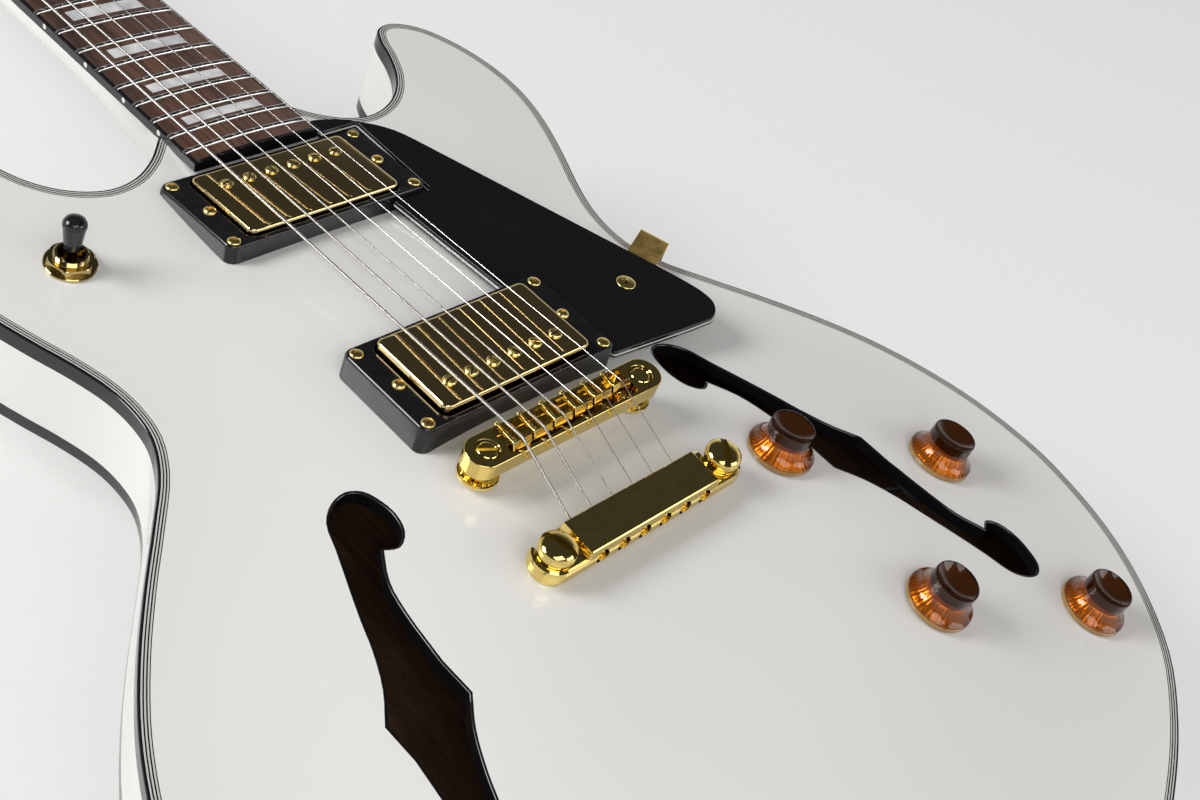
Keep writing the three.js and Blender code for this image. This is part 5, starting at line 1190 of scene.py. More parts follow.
@dataclass
class Arch:
    """Heights of the body's two arched surfaces over and under its sides."""

    edges: np.ndarray
    top_rise: float = 12.0
    back_rise: float = 9.0
    flat: float = 7.0
    reach: float = 120.0
    fade_start: float = 20.0
    fade_length: float = 170.0
    power: int = 14

    def share(self, x: float, y: float) -> float:
        """Share of the full rise at a place, from its soft distance to the edge.

        Args:
            x: place across.
            y: place along.

        Returns:
            0 at the edge to 1 inside.
        """
        place = np.array([x, y])
        start, along = self.edges[:, :2], self.edges[:, 2:] - self.edges[:, :2]
        length = np.sqrt((along ** 2).sum(1))
        part = np.clip(((place - start) * along).sum(1) / length ** 2, 0, 1)
        far = np.sqrt(((place - start - part[:, None] * along) ** 2).sum(1))
        if far.min() < self.flat * 0.6:
            return 0.0
        whole = sqrt(pi) * gamma((self.power - 1) / 2) / gamma(self.power / 2)
        soft = ((length / far ** self.power).sum() / whole) ** (-1 / (self.power - 1))
        return smoothstep(soft, self.flat, self.reach)

    def top(self, x: float, y: float) -> float:
        """Height of the top's outer surface."""
        gone = min(max((y - self.fade_start) / self.fade_length, 0), 1)
        return self.top_rise * self.share(x, y) * (1 + cos(pi * gone)) / 2

    def back(self, x: float, y: float) -> float:
        """Drop of the back's outer surface below its edge."""
        return self.back_rise * self.share(x, y)

    def normal(self, x: float, y: float, step: float = 2.0) -> Vector:
        """Direction square to the top.

        Args:
            x: place across.
            y: place along.
            step: reach of the slope's measure.

        Returns:
            The direction.
        """
        slope_x = (self.top(x + step, y) - self.top(x - step, y)) / (2 * step)
        slope_y = (self.top(x, y + step) - self.top(x, y - step)) / (2 * step)
        return vec(-slope_x, -slope_y, 1).normalized()

    def on_top(self, x: float, y: float) -> Matrix:
        """Frame that stands square on the top."""
        turn = vec(0, 0, 1).rotation_difference(self.normal(x, y)).to_matrix().to_4x4()
        return shift(x, y, self.top(x, y)) @ turn


class BodyTone(IntEnum):
    """Finishes of the body's pieces."""

    LACQUER = 0
    BLACK = 1
    WHITE = 2
    RAW = 3


BODY_FINISHES = (WHITE, PLY_BLACK, PLY_WHITE, RAW_MAPLE)


@dataclass
class Body:
    """Hollow body: arched top with its sound holes and bores for fittings, sides, arched back and bindings."""

    fittings: Sequence[Triple]
    length: float = 464.7
    tail_y: float = -243.4
    lower: float = 390.4
    waist: float = 223.0
    upper: float = 272.2
    shoulder: Pair = (28.8, 191.8)
    depth: float = 41.5
    top_thick: float = 5.0
    back_thick: float = 4.5
    wall: float = 6.0
    band: float = 6.5
    hole_centre: Pair = (103.8, -57.9)
    hole_size: Pair = (36.0, 76.4)
    lower_bout: tuple = (
        (0, 0), (0.174, 0.0052), (0.348, 0.0211), (0.524, 0.0489), (0.673, 0.0809), (0.807, 0.1224),
        (0.911, 0.1801), (0.967, 0.2333), (0.995, 0.2885), (1, 0.3241), (0.983, 0.3826), (0.944, 0.4356),
        (0.89, 0.4842), (0.823, 0.5285), (0.749, 0.5698), (0.672, 0.6092),
    )
    middle: tuple = ((1.063, 0.6443), (1.01, 0.6723), (1, 0.697), (1.013, 0.7216), (1.053, 0.7507))
    upper_bout: tuple = (
        (0.913, 0.7848), (0.961, 0.8216), (0.993, 0.8584), (1, 0.8918), (0.982, 0.9262), (0.938, 0.9606),
        (0.875, 0.987), (0.793, 1), (0.735, 0.9965), (0.704, 0.983), (0.68, 0.961), (0.645, 0.9385),
        (0.595, 0.9195), (0.525, 0.9047), (0.441, 0.8978), (0.36, 0.902), (0.282, 0.916),
    )
    sound_hole: tuple = (
        (0.353, 0.035), (0.161, 0.162), (-0.006, 0.326), (-0.117, 0.47), (-0.394, 0.79), (-0.506, 0.922),
        (-0.66, 0.985), (-0.814, 1), (-0.93, 0.965), (-0.99, 0.88), (-1, 0.8), (-0.945, 0.715),
        (-0.82, 0.669), (-0.686, 0.7), (-0.5, 0.55), (-0.417, 0.393), (-0.35, 0.137),
    )
    hook: int = 13
    edge_plies: tuple = ((1.0, 1), (0.5, 2), (0.45, 1), (0.5, 2), (0.45, 1), (0.5, 2), (0.3, 1))
    back_plies: tuple = ((1.0, 1), (0.5, 2), (0.45, 1))
    hole_plies: tuple = ((1.0, 1),)

    def __post_init__(self) -> None:
        """Draws the outline and works out the arch."""
        rows = ((self.lower, self.lower_bout), (self.waist, self.middle), (self.upper, self.upper_bout))
        half = [vec(share * width / 2, self.tail_y + rise * self.length)
                for width, points in rows for share, rise in points]
        half.append(Vector(self.shoulder))
        other = [vec(-p.x, p.y) for p in reversed(half[1:])]
        self.outline = spline(other + half, 4)
        ends = self.outline[1:] + self.outline[:1]
        self.arch = Arch(np.array([[*a, *b] for a, b in zip(self.outline, ends)]))

    def sound_hole_loop(self, side: int) -> Loop:
        """Loop of a sound hole.

        Args:
            side: 1 on the treble side, -1 on the bass side.

        Returns:
            A counter-clockwise loop with sharp corners where the hole has them.
        """
        width, height = self.hole_size
        first = [vec(x * width, y * height) for x, y in self.sound_hole]
        both = [first, [-p for p in first]]
        loop: Loop = []
        for half in both:
            loop += spline(half[:self.hook + 1], 3)[:-1] + spline(half[self.hook:], 3)
        centre = Vector(self.hole_centre)
        return counter_clockwise([vec((p + centre).x * side, (p + centre).y) for p in loop])

    def ply_ring(self, loop: Line, plies: Sequence[tuple[float, int]], low: float, side: int) -> Form:
        """Ring of stacked plies along a loop, with a rounded corner.

        Args:
            loop: a counter-clockwise loop.
            plies: width and tone of each ply from the loop on.
            low: height of its underside.
            side: 1 where the plies lie inside the loop, -1 where they lie outside it.

        Returns:
            The ring, with its upper side at height 0.
        """
        rows = [(0.0, low, 1), (0.0, -0.8, 1), (0.1, -0.35, 1), (0.35, -0.1, 1), (0.8, 0.0, plies[0][1])]
        inset = 0.0
        for index, (width, tone) in enumerate(plies):
            inset += width
            following = plies[index + 1][1] if index + 1 < len(plies) else BodyTone.RAW
            rows.append((inset, 0.0, following))
        rows.append((inset, low, BodyTone.RAW))
        rings = [lofted(offset(loop, row[0] * side), row[1]) for row in rows]
        if side < 0:
            rings = [list(reversed(ring)) for ring in rings]
        return Form().skin(rings, lambda band, place: rows[band][2], round_trip=True)

    def raise_top(self, form: Form) -> Form:
        """Lifts a flat form onto the top's arch."""
        return form.bend(lambda p: vec(p.x, p.y, p.z + self.arch.top(p.x, p.y)))

    def openings(self) -> list[Loop]:
        """Loops of the top's openings under the pickups and fittings.

        Returns:
            The loops.
        """
        cross = [(36.4, -20.1), (36.4, -8.1), (44.6, -8.1), (44.6, 8.1), (36.4, 8.1), (36.4, 20.1)]
        cross += [(-x, -y) for x, y in cross]
        loops = [[vec(x, y + centre) for x, y in cross] for centre in (145.4, 40.3)]
        return loops + [circle(radius, 14, x, y) for x, y, radius in self.fittings]

    def build_top(self) -> None:
        """Makes the top with its plies round the edge and the sound holes."""
        holes = [self.sound_hole_loop(side) for side in (1, -1)]
        inset = sum(width for width, _ in self.edge_plies)
        around = sum(width for width, _ in self.hole_plies)
        openings = [offset(hole, -around) for hole in holes] + self.openings()
        tones = (BodyTone.RAW, BodyTone.RAW, BodyTone.LACQUER)
        low = -self.top_thick
        form = plate(offset(self.outline, inset), [(0, low), (0, 0)], openings, tones, cell=5.5)
        form.add(self.ply_ring(self.outline, self.edge_plies, -self.band, 1))
        for hole in holes:
            form.add(self.ply_ring(hole, self.hole_plies, low, -1))
        thing = make_piece("top", self.raise_top(form), BODY_FINISHES, stands_for="top_plate")
        self.smooth_gloss(thing)

    def smooth_gloss(self, thing: Thing) -> None:
        """Sets the lacquered top's normals from the arch itself, so that it reflects evenly.

        Args:
            thing: the top.
        """
        mesh = thing.data
        back = GUITAR.inverted()
        turn = GUITAR.to_3x3() * (1 / MM)
        normals = [vec(0, 0, 0)] * len(mesh.loops)
        known: dict[int, Vector] = {}
        for polygon in mesh.polygons:
            if polygon.material_index != BodyTone.LACQUER:
                continue
            for loop_index in polygon.loop_indices:
                vertex = mesh.loops[loop_index].vertex_index
                if vertex not in known:
                    place = back @ mesh.vertices[vertex].co
                    known[vertex] = turn @ self.arch.normal(place.x, place.y)
                normals[loop_index] = known[vertex]
        mesh.normals_split_custom_set(normals)

    def build_sides(self) -> None:
        """Makes the bent sides between the two bindings, lacquered outside and bare inside."""
        low, high = -self.depth + self.band - 0.5, -self.band
        rows = [(0, low), (0, high), (self.wall, high), (self.wall, low)]
        rings = [lofted(offset(self.outline, inset), z) for inset, z in rows]
        tones = (BodyTone.LACQUER, BodyTone.RAW, BodyTone.RAW, BodyTone.RAW)
        form = Form().skin(rings, lambda band, place: tones[band], round_trip=True)
        make_piece("sides", form, BODY_FINISHES, stands_for="body_rim")

    def build_back(self) -> None:
        """Makes the arched back with its binding."""
        inset = sum(width for width, _ in self.back_plies)
        tones = (BodyTone.RAW, BodyTone.RAW, BodyTone.LACQUER)
        form = plate(offset(self.outline, inset), [(0, -self.back_thick), (0, 0)], (), tones, cell=9)
        form.add(self.ply_ring(self.outline, self.back_plies, -self.band + 0.5, 1))
        form.bend(lambda p: vec(p.x, p.y, p.z + self.arch.back(p.x, p.y)))
        form = form.moved(Matrix.Diagonal((1, 1, -1, 1)))
        form.faces = [corners[::-1] for corners in form.faces]
        make_piece("back", form, BODY_FINISHES, at=shift(0, 0, -self.depth), stands_for="back_plate")

    def build(self) -> None:
        """Makes the whole body."""
        self.build_top()
        self.build_sides()
        self.build_back()
        dress_node("center_block", RAW_MAPLE)


# Neck


@dataclass
class Neck:
    """Neck from its heel to the headstock, with the board, frets, inlays, nut and rod cover."""

    scale: float = SCALE_LENGTH
    nut_half: float = 21.5
    widening: float = 7.1
    widening_length: float = 460.05
    board_start: float = 168.6
    board_low: float = 0.3
    board_top: float = 5.2
    board_radius: float = 305.0
    binding: float = 1.6
    frets: int = 22
    shaft_depth: float = 15.2
    shaft_growth: float = 2.0
    shaft_end: float = 262.0
    heel_end: float = 197.0
    heel_depth: float = 39.0
    heel_half: float = 22.0
    joint_y: float = 190.6
    head_thick: float = 14.5
    heel_rule: tuple = ((0, 0, 0), (0.3, 0.06, 0), (0.5, 0.2, 0.05), (0.68, 0.45, 0.2), (0.84, 0.76, 0.55), (1, 1, 0.9))
    volute: tuple = (
        (-6, 15.4, 2.45), (2, 15.8, 2.5), (8, 16.9, 2.8), (14.5, 17.3, 3.6), (20, 16.7, 5), (29, 14.9, 9),
        (37, 14.54, 14), (42, 14.54, 14),
    )
    roundness: float = 2.45
    head_joint: float = 31.0
    head_outline: tuple = (
        (0.56, 0.075), (0.7, 0.14), (0.86, 0.2), (0.93, 0.3), (0.95, 0.6), (1, 0.9), (0.93, 0.962),
        (0.5, 0.99), (0, 1),
    )
    inlaid: tuple = (1, 3, 5, 7, 9, 12, 15, 17, 19, 21)

    def fret(self, number: int) -> float:
        """Place of a fret along the neck."""
        return self.scale * 2 ** (-number / 12)

    def half(self, v: float) -> float:
        """Half width of the board at a place along the neck."""
        return self.nut_half + self.widening * (self.scale - v) / self.widening_length

    def crown(self, x: float) -> float:
        """Height of the board's upper face."""
        return self.board_top - self.board_radius + sqrt(self.board_radius ** 2 - x * x)

    def section(self, v: float, half: float, depth: float, power: float = 0) -> Loop:
        """Rounded section of the neck.

        Args:
            v: its place along the neck.
            half: half its width.
            depth: its depth.
            power: 2 for an ellipse and more for a squarer shape, or 0 for the neck's own roundness.

        Returns:
            Its points, counter-clockwise seen from the headstock's end.
        """
        share = 2 / (power or self.roundness)
        angles = [pi / 2 * k / 15 for k in range(15)]
        line = [vec(cos(a) ** share, sin(a) ** share) for a in angles] + [vec(0, 1)]
        whole = line + [vec(-p.x, p.y) for p in reversed(line[:-1])]
        return [vec(p.x * half, v, self.board_low - p.y * depth) for p in whole]

    def along(self, rows: tuple, way: float) -> Pair:
        """Two values at a place along a smooth line through rows of a place and its values.

        Args:
            rows: place and two values of each row.
            way: the place.

        Returns:
            The two values.
        """
        line = spline([Vector(row) for row in rows], 8)
        for a, b in zip(line, line[1:]):
            if way <= b.x:
                part = (way - a.x) / (b.x - a.x)
                return a.y + (b.y - a.y) * part, a.z + (b.z - a.z) * part
        return line[-1].y, line[-1].z

    def shaft_sections(self) -> list[Loop]:
        """Sections from the body to the nut.

        Returns:
            The sections, the first one against the body.
        """
        rings, steps, slope = [], 22, radians(NECK_SLOPE)
        reach, base = self.shaft_end - self.heel_end, self.shaft_depth + self.shaft_growth
        for step in range(steps + 1):
            v = self.heel_end + reach * step / steps
            deeper, narrower = self.along(self.heel_rule, (self.shaft_end - v) / reach)
            depth = base + (self.heel_depth - base) * deeper
            half = self.half(v) + (self.heel_half - self.half(v)) * narrower
            ring = self.section(v, half, depth)
            if not step:
                rings.append([vec(p.x, (self.joint_y - p.z * sin(slope)) / cos(slope), p.z) for p in ring])
            rings.append([vec(p.x if p.z < self.board_low - 2 else
                                  copysign(self.half(v), p.x) if abs(p.x) > half * 0.9 else p.x,
                                  p.y, p.z) for p in ring])
        for step in range(1, 13):
            v = self.shaft_end + (self.scale - self.shaft_end) * step / 12
            depth = self.shaft_depth + self.shaft_growth * (self.scale - v) / (self.scale - self.shaft_end)
            rings.append(self.section(v, self.half(v), depth))
        return rings

    def head_side(self) -> Loop:
        """Treble side of the headstock's outline in its own frame, from the nut to the tip."""
        return spline([vec(self.nut_half, -5)] + [vec(x * 40, y * 184) for x, y in self.head_outline], 5)

    def head_loop(self, start: float = -9.0) -> Loop:
        """Outline of the headstock beyond a place along it."""
        side = [p for p in self.head_side() if p.y > start]
        return counter_clockwise(side + [vec(-p.x, p.y) for p in reversed(side[:-1])])

    def build_wood(self) -> None:
        """Makes the lacquered neck with its head, black face and volute."""
        form = Form()
        rings = self.shaft_sections()
        to_head = NECK.inverted() @ HEAD
        for place in self.head_side():
            if 1 < place.y < 37:
                depth, power = self.along(self.volute, place.y)
                ring = self.section(place.y, place.x + 0.04, depth - 1.6, power)
                rings.append([to_head @ (p - vec(0, 0, self.board_low + 1.6)) for p in ring])
        form.skin(rings, BodyTone.LACQUER)
        loop = self.head_loop()
        head = plate(self.head_loop(self.head_joint), soft_edge(-self.head_thick, -1.6, 1.6))
        white = plate(loop, [(0.02, -1.6), (0.02, -1.2)], tones=(2, 2, 2))
        black = plate(loop, soft_edge(-1.2, 0, 0.5, both=False), tones=(1, 1, 1))
        pocket = plate(rounded_box(11, 30, 5.4), [(0, -9.6), (0, 3)], tones=(3, 3, 3))
        black = carve(black, pocket.moved(shift(0, 18, 0)))
        for part in (head, white, black):
            form.add(part, to_head)
        make_piece("neck_wood", form, BODY_FINISHES, at=NECK, stands_for="neck")

    def board_ring(self, v: float, inset: float = 0.0) -> Loop:
        """Section of the board, with points where its binding begins.

        Args:
            v: its place along the neck.
            inset: how much narrower it is.

        Returns:
            Its points.
        """
        half = self.half(v) - inset
        inner = half - self.binding
        across = [-half + 0.25, -inner] + [inner * (k / 6 - 1) for k in range(1, 12)] + [inner, half - 0.25]
        ring = [vec(-half, v, self.board_low), vec(-half, v, self.crown(half) - 0.25)]
        ring += [vec(x, v, self.crown(x)) for x in across]
        ring += [vec(half, v, self.crown(half) - 0.25), vec(half, v, self.board_low)]
        return ring

    def build_board(self) -> None:
        """Makes the bound board with its frets, pearl blocks and side dots."""
        start, end = self.board_start, self.scale - 0.3
        stations = [start, start + 0.3, start + self.binding] + [start + (end - start) * k / 10 for k in range(1, 11)]
        rings = [self.board_ring(v, 0.3 if not index else 0) for index, v in enumerate(stations)]
        size = len(rings[0])

        def tone(band: int, place: int) -> int:
            """Number of the wood's finish inside the binding and of the binding's outside."""
            inside = 2 < place < size - 4
            return 0 if inside and band > 1 else 1

        form = Form().skin(rings, tone)
        for number in self.inlaid:
            low, high = self.fret(number), self.fret(number - 1)
            middle, length = (low + high) / 2, (high - low) * 0.44
            wide = self.half(middle) * 1.2
            rows = []
            for step in range(2):
                v = middle + length * (step - 0.5)
                top = [vec(wide * (k / 8 - 0.5), v, self.crown(wide * (k / 8 - 0.5)) + 0.03) for k in range(9)]
                rows.append([top[0] - vec(0, 0, 0.6), *top, top[-1] - vec(0, 0, 0.6)])
            form.skin(rows, 2)
            self.add_dots(form, number, middle)
        for number in range(1, self.frets + 1):
            form.add(self.fret_form(self.fret(number)), tone=4)
        finishes = (ROSEWOOD, PLY_BLACK, PEARL, DOT_WHITE, FRET_METAL)
        make_piece("board", form, finishes, at=NECK, stands_for="fingerboard")

    def add_dots(self, form: Form, number: int, v: float) -> None:
        """Sets the side dots of one position into the board's bass side.

        Args:
            form: the board.
            number: the position.
            v: its middle along the neck.
        """
        places = (v - 3.5, v + 3.5) if number == 12 else (v,)
        for place in places if number > 1 else ():
            dot = lathe([(1.1, -0.5), (1.1, 0.03), (0, 0.05)], 14, 3)
            turn = seat(vec(-self.half(place), place, 2.6), vec(-1, 0, 0), vec(0, 1, 0))
            form.add(dot, turn)

    def fret_form(self, v: float) -> Form:
        """One fret with rounded ends, over the board's crown.

        Args:
            v: its place along the neck.

        Returns:
            The form.
        """
        reach = self.half(v) - 0.35
        rings = []
        for share in (-1, -0.985, -0.95, -0.75, -0.5, -0.25, 0, 0.25, 0.5, 0.75, 0.95, 0.985, 1):
            x = share * reach
            small = 1 - 0.75 * smoothstep(abs(share), 0.945, 1)
            ring = [vec(x, v + 1.1 * cos(a), self.crown(x) - 0.1 + 1.15 * small * sin(a))
                    for a in (pi * k / 8 for k in range(9))]
            rings.append(ring)
        return Form().skin(rings)

    def build_nut(self) -> None:
        """Makes the slotted nut."""
        rings = []
        for k in range(13):
            x = -21.2 + 42.4 * k / 12
            top = 8.2 - (x / 21.2) ** 2 * 0.9
            line = soften([(628.95, -0.3), (628.95, top), (633.35, top - 1.4), (633.35, -0.3)], 0.7, 3)
            rings.append([vec(x, p.x, p.y) for p in reversed(line)])
        form = Form().skin(rings)
        cuts = []
        for index, radius in enumerate(STRING_RADII):
            x = string_x(index, NUT_SPREAD)
            cut = tube([vec(x, 626, 6.29 + radius), vec(x, 636, 6.29 + radius - 0.5)], radius + 0.08, 10)
            cuts += [cut, block(x - radius - 0.08, x + radius + 0.08, 626, 636, 6.3 + radius, 12)]
        make_piece("slotted_nut", carve(form, *cuts), [BONE], at=NECK, stands_for="nut")

    def build_cover(self) -> None:
        """Makes the plain cover over the rod's pocket, with its screws."""
        outline = [Vector(p) for p in ((-8.6, 0), (8.6, 0), (9.6, 12), (7.2, 27), (0, 37), (-7.2, 27), (-9.6, 12))]
        loop = spline(outline, 4, closed=True)
        form = plate([p + vec(0, 1.2) for p in loop], [(0, 0.05), (0, 1.1), (0.9, 2.0)], tones=(1, 1, 0))
        for y in (5.5, 34.0):
            form.add(cross_screw(1.8, 0.9, 2), shift(0, y, 1.9))
        make_piece("rod_cover", form, (HEAD_BLACK, PLY_WHITE, GOLD), at=HEAD)

    def build(self) -> None:
        """Makes the neck's pieces."""
        self.build_wood()
        self.build_board()
        self.build_nut()
        self.build_cover()
        dress_node("truss_rod", STEEL)


def slotted(form: Form, length: float, width: float, depth: float, top: float, turn: float) -> Form:
    """Cuts a screw's slot.

    Args:
        form: the screw, round the z axis.
        length: the slot's length.
        width: its width.
        depth: its depth.
        top: height of the head's top.
        turn: its direction in degrees.

    Returns:
        The slotted screw.
    """
    cut = block(-length / 2, length / 2, -width / 2, width / 2, top - depth, top + 2)
    return carve(form, cut.moved(turn_about("Z", turn)))


def cross_screw(radius: float, rise: float, tone: int = 0) -> Form:
    """Domed screw head with a crosswise recess.

    Args:
        radius: the head's radius.
        rise: its height over what it sits on.
        tone: its finish's number.

    Returns:
        The head, with its seat at height 0.
    """
    line = [(radius * 0.9, -0.5), (radius, 0)]
    line += [(radius * cos(a), rise * sin(a)) for a in (pi / 2 * k / 6 for k in range(1, 6))]
    head = lathe(line + [(0, rise)], 24, tone)
    arm = radius * 0.52
    cuts = []
    for turn in (0, 90):
        shape = [(-arm, -0.16 * radius), (arm, -0.16 * radius), (arm, 0.16 * radius), (-arm, 0.16 * radius)]
        wide = lofted([Vector(p) for p in shape], rise + 0.5)
        deep = lofted([Vector(p) * 0.45 for p in shape], rise - radius * 0.45)
        cuts.append(Form().skin([deep, wide], tone).moved(turn_about("Z", turn)))
    return carve(head, *cuts)


# Strings and tuners

SADDLE_SPREAD = 50.5
POLE_SPREAD = 50.4
NUT_SPREAD = 35.6
STRING_RADII = (0.58, 0.46, 0.33, 0.22, 0.19, 0.17)
WOUND = 3
SADDLE_ROWS = (-3.2, -2.6, -2.0, -1.6, -1.0, -0.4)
TUNERS = {"low_e": (-1, 0), "a": (-1, 1), "d": (-1, 2), "g": (1, 2), "b": (1, 1), "high_e": (1, 0)}


def string_x(index: int, spread: float = SADDLE_SPREAD) -> float:
    """Place across of one of the six strings where they spread by so much."""
    return (index / 5 - 0.5) * spread


def post_place(side: int, row: int) -> Vector:
    """Place of a tuner's post on the headstock's face."""
    return vec(side * (21.5, 23.0, 24.5)[row], 42.0 + 38.0 * row, 0)


@dataclass
class Strings:
    """Six strings from the tailpiece over the saddles and the nut to the posts."""

    hole_z: float = 18.2
    nut_floor: float = 6.59
    bar_front: float = -32.2
    bend: float = 1.2
    saddle_top: float = 28.7
    post_radius: float = 3.1
    touch_height: float = 11.6
    turns: int = 2

    def path(self, index: int) -> Loop:
        """Path of a string.

        Args:
            index: its number from the lowest.

        Returns:
            Its points in the guitar's frame.
        """
        radius, x, y = STRING_RADII[index], string_x(index), SADDLE_ROWS[index]
        crest = self.saddle_top + radius
        over, past = (NECK @ vec(string_x(index, NUT_SPREAD), y, self.nut_floor + radius)
                      for y in (SCALE_LENGTH, NUT_END))
        fall = (crest - self.hole_z) / (y - self.bar_front)
        rise = (crest - over.z) / (over.y - y)
        line = [
            vec(x, -45.3, self.hole_z), vec(x, self.bar_front - self.bend, self.hole_z),
            vec(x, self.bar_front + self.bend, self.hole_z + self.bend * fall),
            vec(x, y - self.bend, crest - self.bend * fall),
            vec(x, y, crest - self.bend * (fall - rise) / 4),
            vec(x, y + self.bend, crest - self.bend * rise),
        ]
        line += [line[-1].lerp(over, k / 6) for k in range(1, 6)] + [over, past]
        side, row = TUNERS[STRING_NAMES[index]]
        post = post_place(side, row)
        start = HEAD.inverted() @ past
        around = self.post_radius + radius + 0.3
        reach = (post - start).to_2d()
        turn = Matrix.Rotation(asin(around / reach.length) * side, 2)
        touch = start.to_2d() + (turn @ reach.normalized()) * sqrt(reach.length ** 2 - around ** 2)
        first = atan2(touch.y - post.y, touch.x - post.x)
        low = vec(touch.x, touch.y, self.touch_height)
        line += [HEAD @ start.lerp(low, share) for share in (0.5, 0.9)]
        pitch, steps = 2 * radius + 0.5, 24
        for step in range(self.turns * steps + 1):
            angle = first - side * 2 * pi * step / steps
            spot = vec(around * cos(angle), around * sin(angle), -pitch * step / steps)
            line.append(HEAD @ (spot + vec(post.x, post.y, self.touch_height)))
        return line

    def build(self) -> None:
        """Makes the strings with their ball ends."""
        for index, name in enumerate(STRING_NAMES):
            line = self.path(index)
            sides = 12 if index < WOUND else 10
            form = tube(line, STRING_RADII[index], sides)
            count = len(form.points)
            ball = lathe([(0.5, -1.7), (1.6, -1.7), (1.9, -1.2), (1.4, 0), (1.9, 1.2), (1.6, 1.7), (0.5, 1.7)], 18, 1)
            form.add(ball, shift(*line[0]) @ turn_about("Y", 90))
            finish = wound_wire(STRING_RADII[index]) if index < WOUND else WIRE_PLAIN
            thing = make_piece(f"wire_{name}", form, (finish, GOLD), stands_for=f"string_{name}", sharp=1.2)
            self.mark(thing.data, line, sides, count)

    def mark(self, mesh: bpy.types.Mesh, line: Line, sides: int, count: int) -> None:
        """Writes each point's length along the string and its share of a turn round it.

        Args:
            mesh: the string's mesh.
            line: its path.
            sides: points in each ring.
            count: points of the wire, without the ball end.
        """
        gone = [0.0]
        for a, b in zip(line, line[1:]):
            gone.append(gone[-1] + (b - a).length)
        along = mesh.attributes.new("along", "FLOAT", "POINT")
        around = mesh.attributes.new("round", "FLOAT", "POINT")
        for number in range(count):
            along.data[number].value = gone[number // sides]
            share = number % sides / sides
            around.data[number].value = 1 - abs(2 * share - 1)


@dataclass
class Tuner:
    """One tuner: housing with its sleeve, string post and button."""

    name: str
    side: int
    row: int
    post: Profile = (
        (0, -19.95), (3.1, -19.95), (3.1, 5.5), (2.75, 6.1), (2.7, 13.9), (3.1, 14.8), (3.1, 16.2), (2.75, 16.85),
        (2.0, 17), (1.6, 16.5), (0, 16.4),
    )
    stem: Profile = ((0, -16.4), (2, -16.4), (2, -4), (3.4, -3.8), (3.4, 0), (2.6, 0.5), (2, 1.2), (2, 3.2))
    grip: Sequence[Triple] = (
        (0.4, 6, 4.5), (1.2, 11, 6.2), (3, 14.6, 6.9), (6.5, 16.7, 7.4), (10, 16.9, 7.5), (13, 15.6, 7.0),
        (14.7, 12.8, 5.8), (15.0, 10.5, 4.6),
    )

    def build_housing(self) -> None:
        """Makes the housing under the head, and the sleeve, washer and nut on its face."""
        loop = [p + vec(self.side * 2.5, 0) for p in rounded_box(15, 24, 5)]
        form = plate(loop, soft_edge(-26.3, -14.8, 1.6))
        form.add(lathe([(7.0, -26.9), (7.4, -26.2), (7.4, -24)], 32))
        form.add(turned_ring([(7.2, 0.25), (7.2, 0.9), (6.9, 1.1)], 3.6, 32))
        form.add(hex_nut(6.4, 1.05, 3.3, 3.45))
        form.add(turned_ring([(4.8, -15.2), (4.8, 1.2)], 3.45, 28))
        for y in (-8.6, 8.6):
            form.add(cross_screw(1.5, 0.7), shift(self.side * 2.5, y, -26.2) @ turn_about("X", 180))
        make_piece(f"housing_{self.name}", form, [GOLD], at=self.place(), stands_for=f"tuner_housing_{self.name}")

    def place(self) -> Matrix:
        """Frame of the post on the head's face."""
        return HEAD @ Matrix.Translation(post_place(self.side, self.row))

    def build_post(self) -> None:
        """Makes the post with its waist and string hole."""
        hole = tube([vec(0, -5, 13), vec(0, 5, 13)], 0.9, 14)
        form = carve(lathe(self.post, 32), hole)
        make_piece(f"post_piece_{self.name}", form, [GOLD], at=self.place(), body=f"post_{self.name}",
                   stands_for=f"tuner_post_{self.name}")

    def build_button(self) -> None:
        """Makes the button on its worm's stem."""
        form = lathe(self.stem, 24).moved(turn_about("Y", 90))
        rings = []
        for x, wide, tall in self.grip:
            loop = rounded_box(wide, tall, tall * 0.42, 6)
            rings.append([vec(x, p.x, p.y) for p in loop])
        form.add(Form().skin(rings))
        place = post_place(self.side, self.row) + vec(self.side * 22, 5.6, -20.55)
        at = HEAD @ Matrix.Translation(place)
        if self.side < 0:
            at = at @ turn_about("Z", 180)
        make_piece(f"grip_{self.name}", form, [GOLD], at=at, body=f"button_{self.name}",
                   stands_for=f"tuner_button_{self.name}", sharp=0.7)

    def build(self) -> None:
        """Makes the tuner."""
        self.build_housing()
        self.build_post()
        self.build_button()


# Bridge and tailpiece


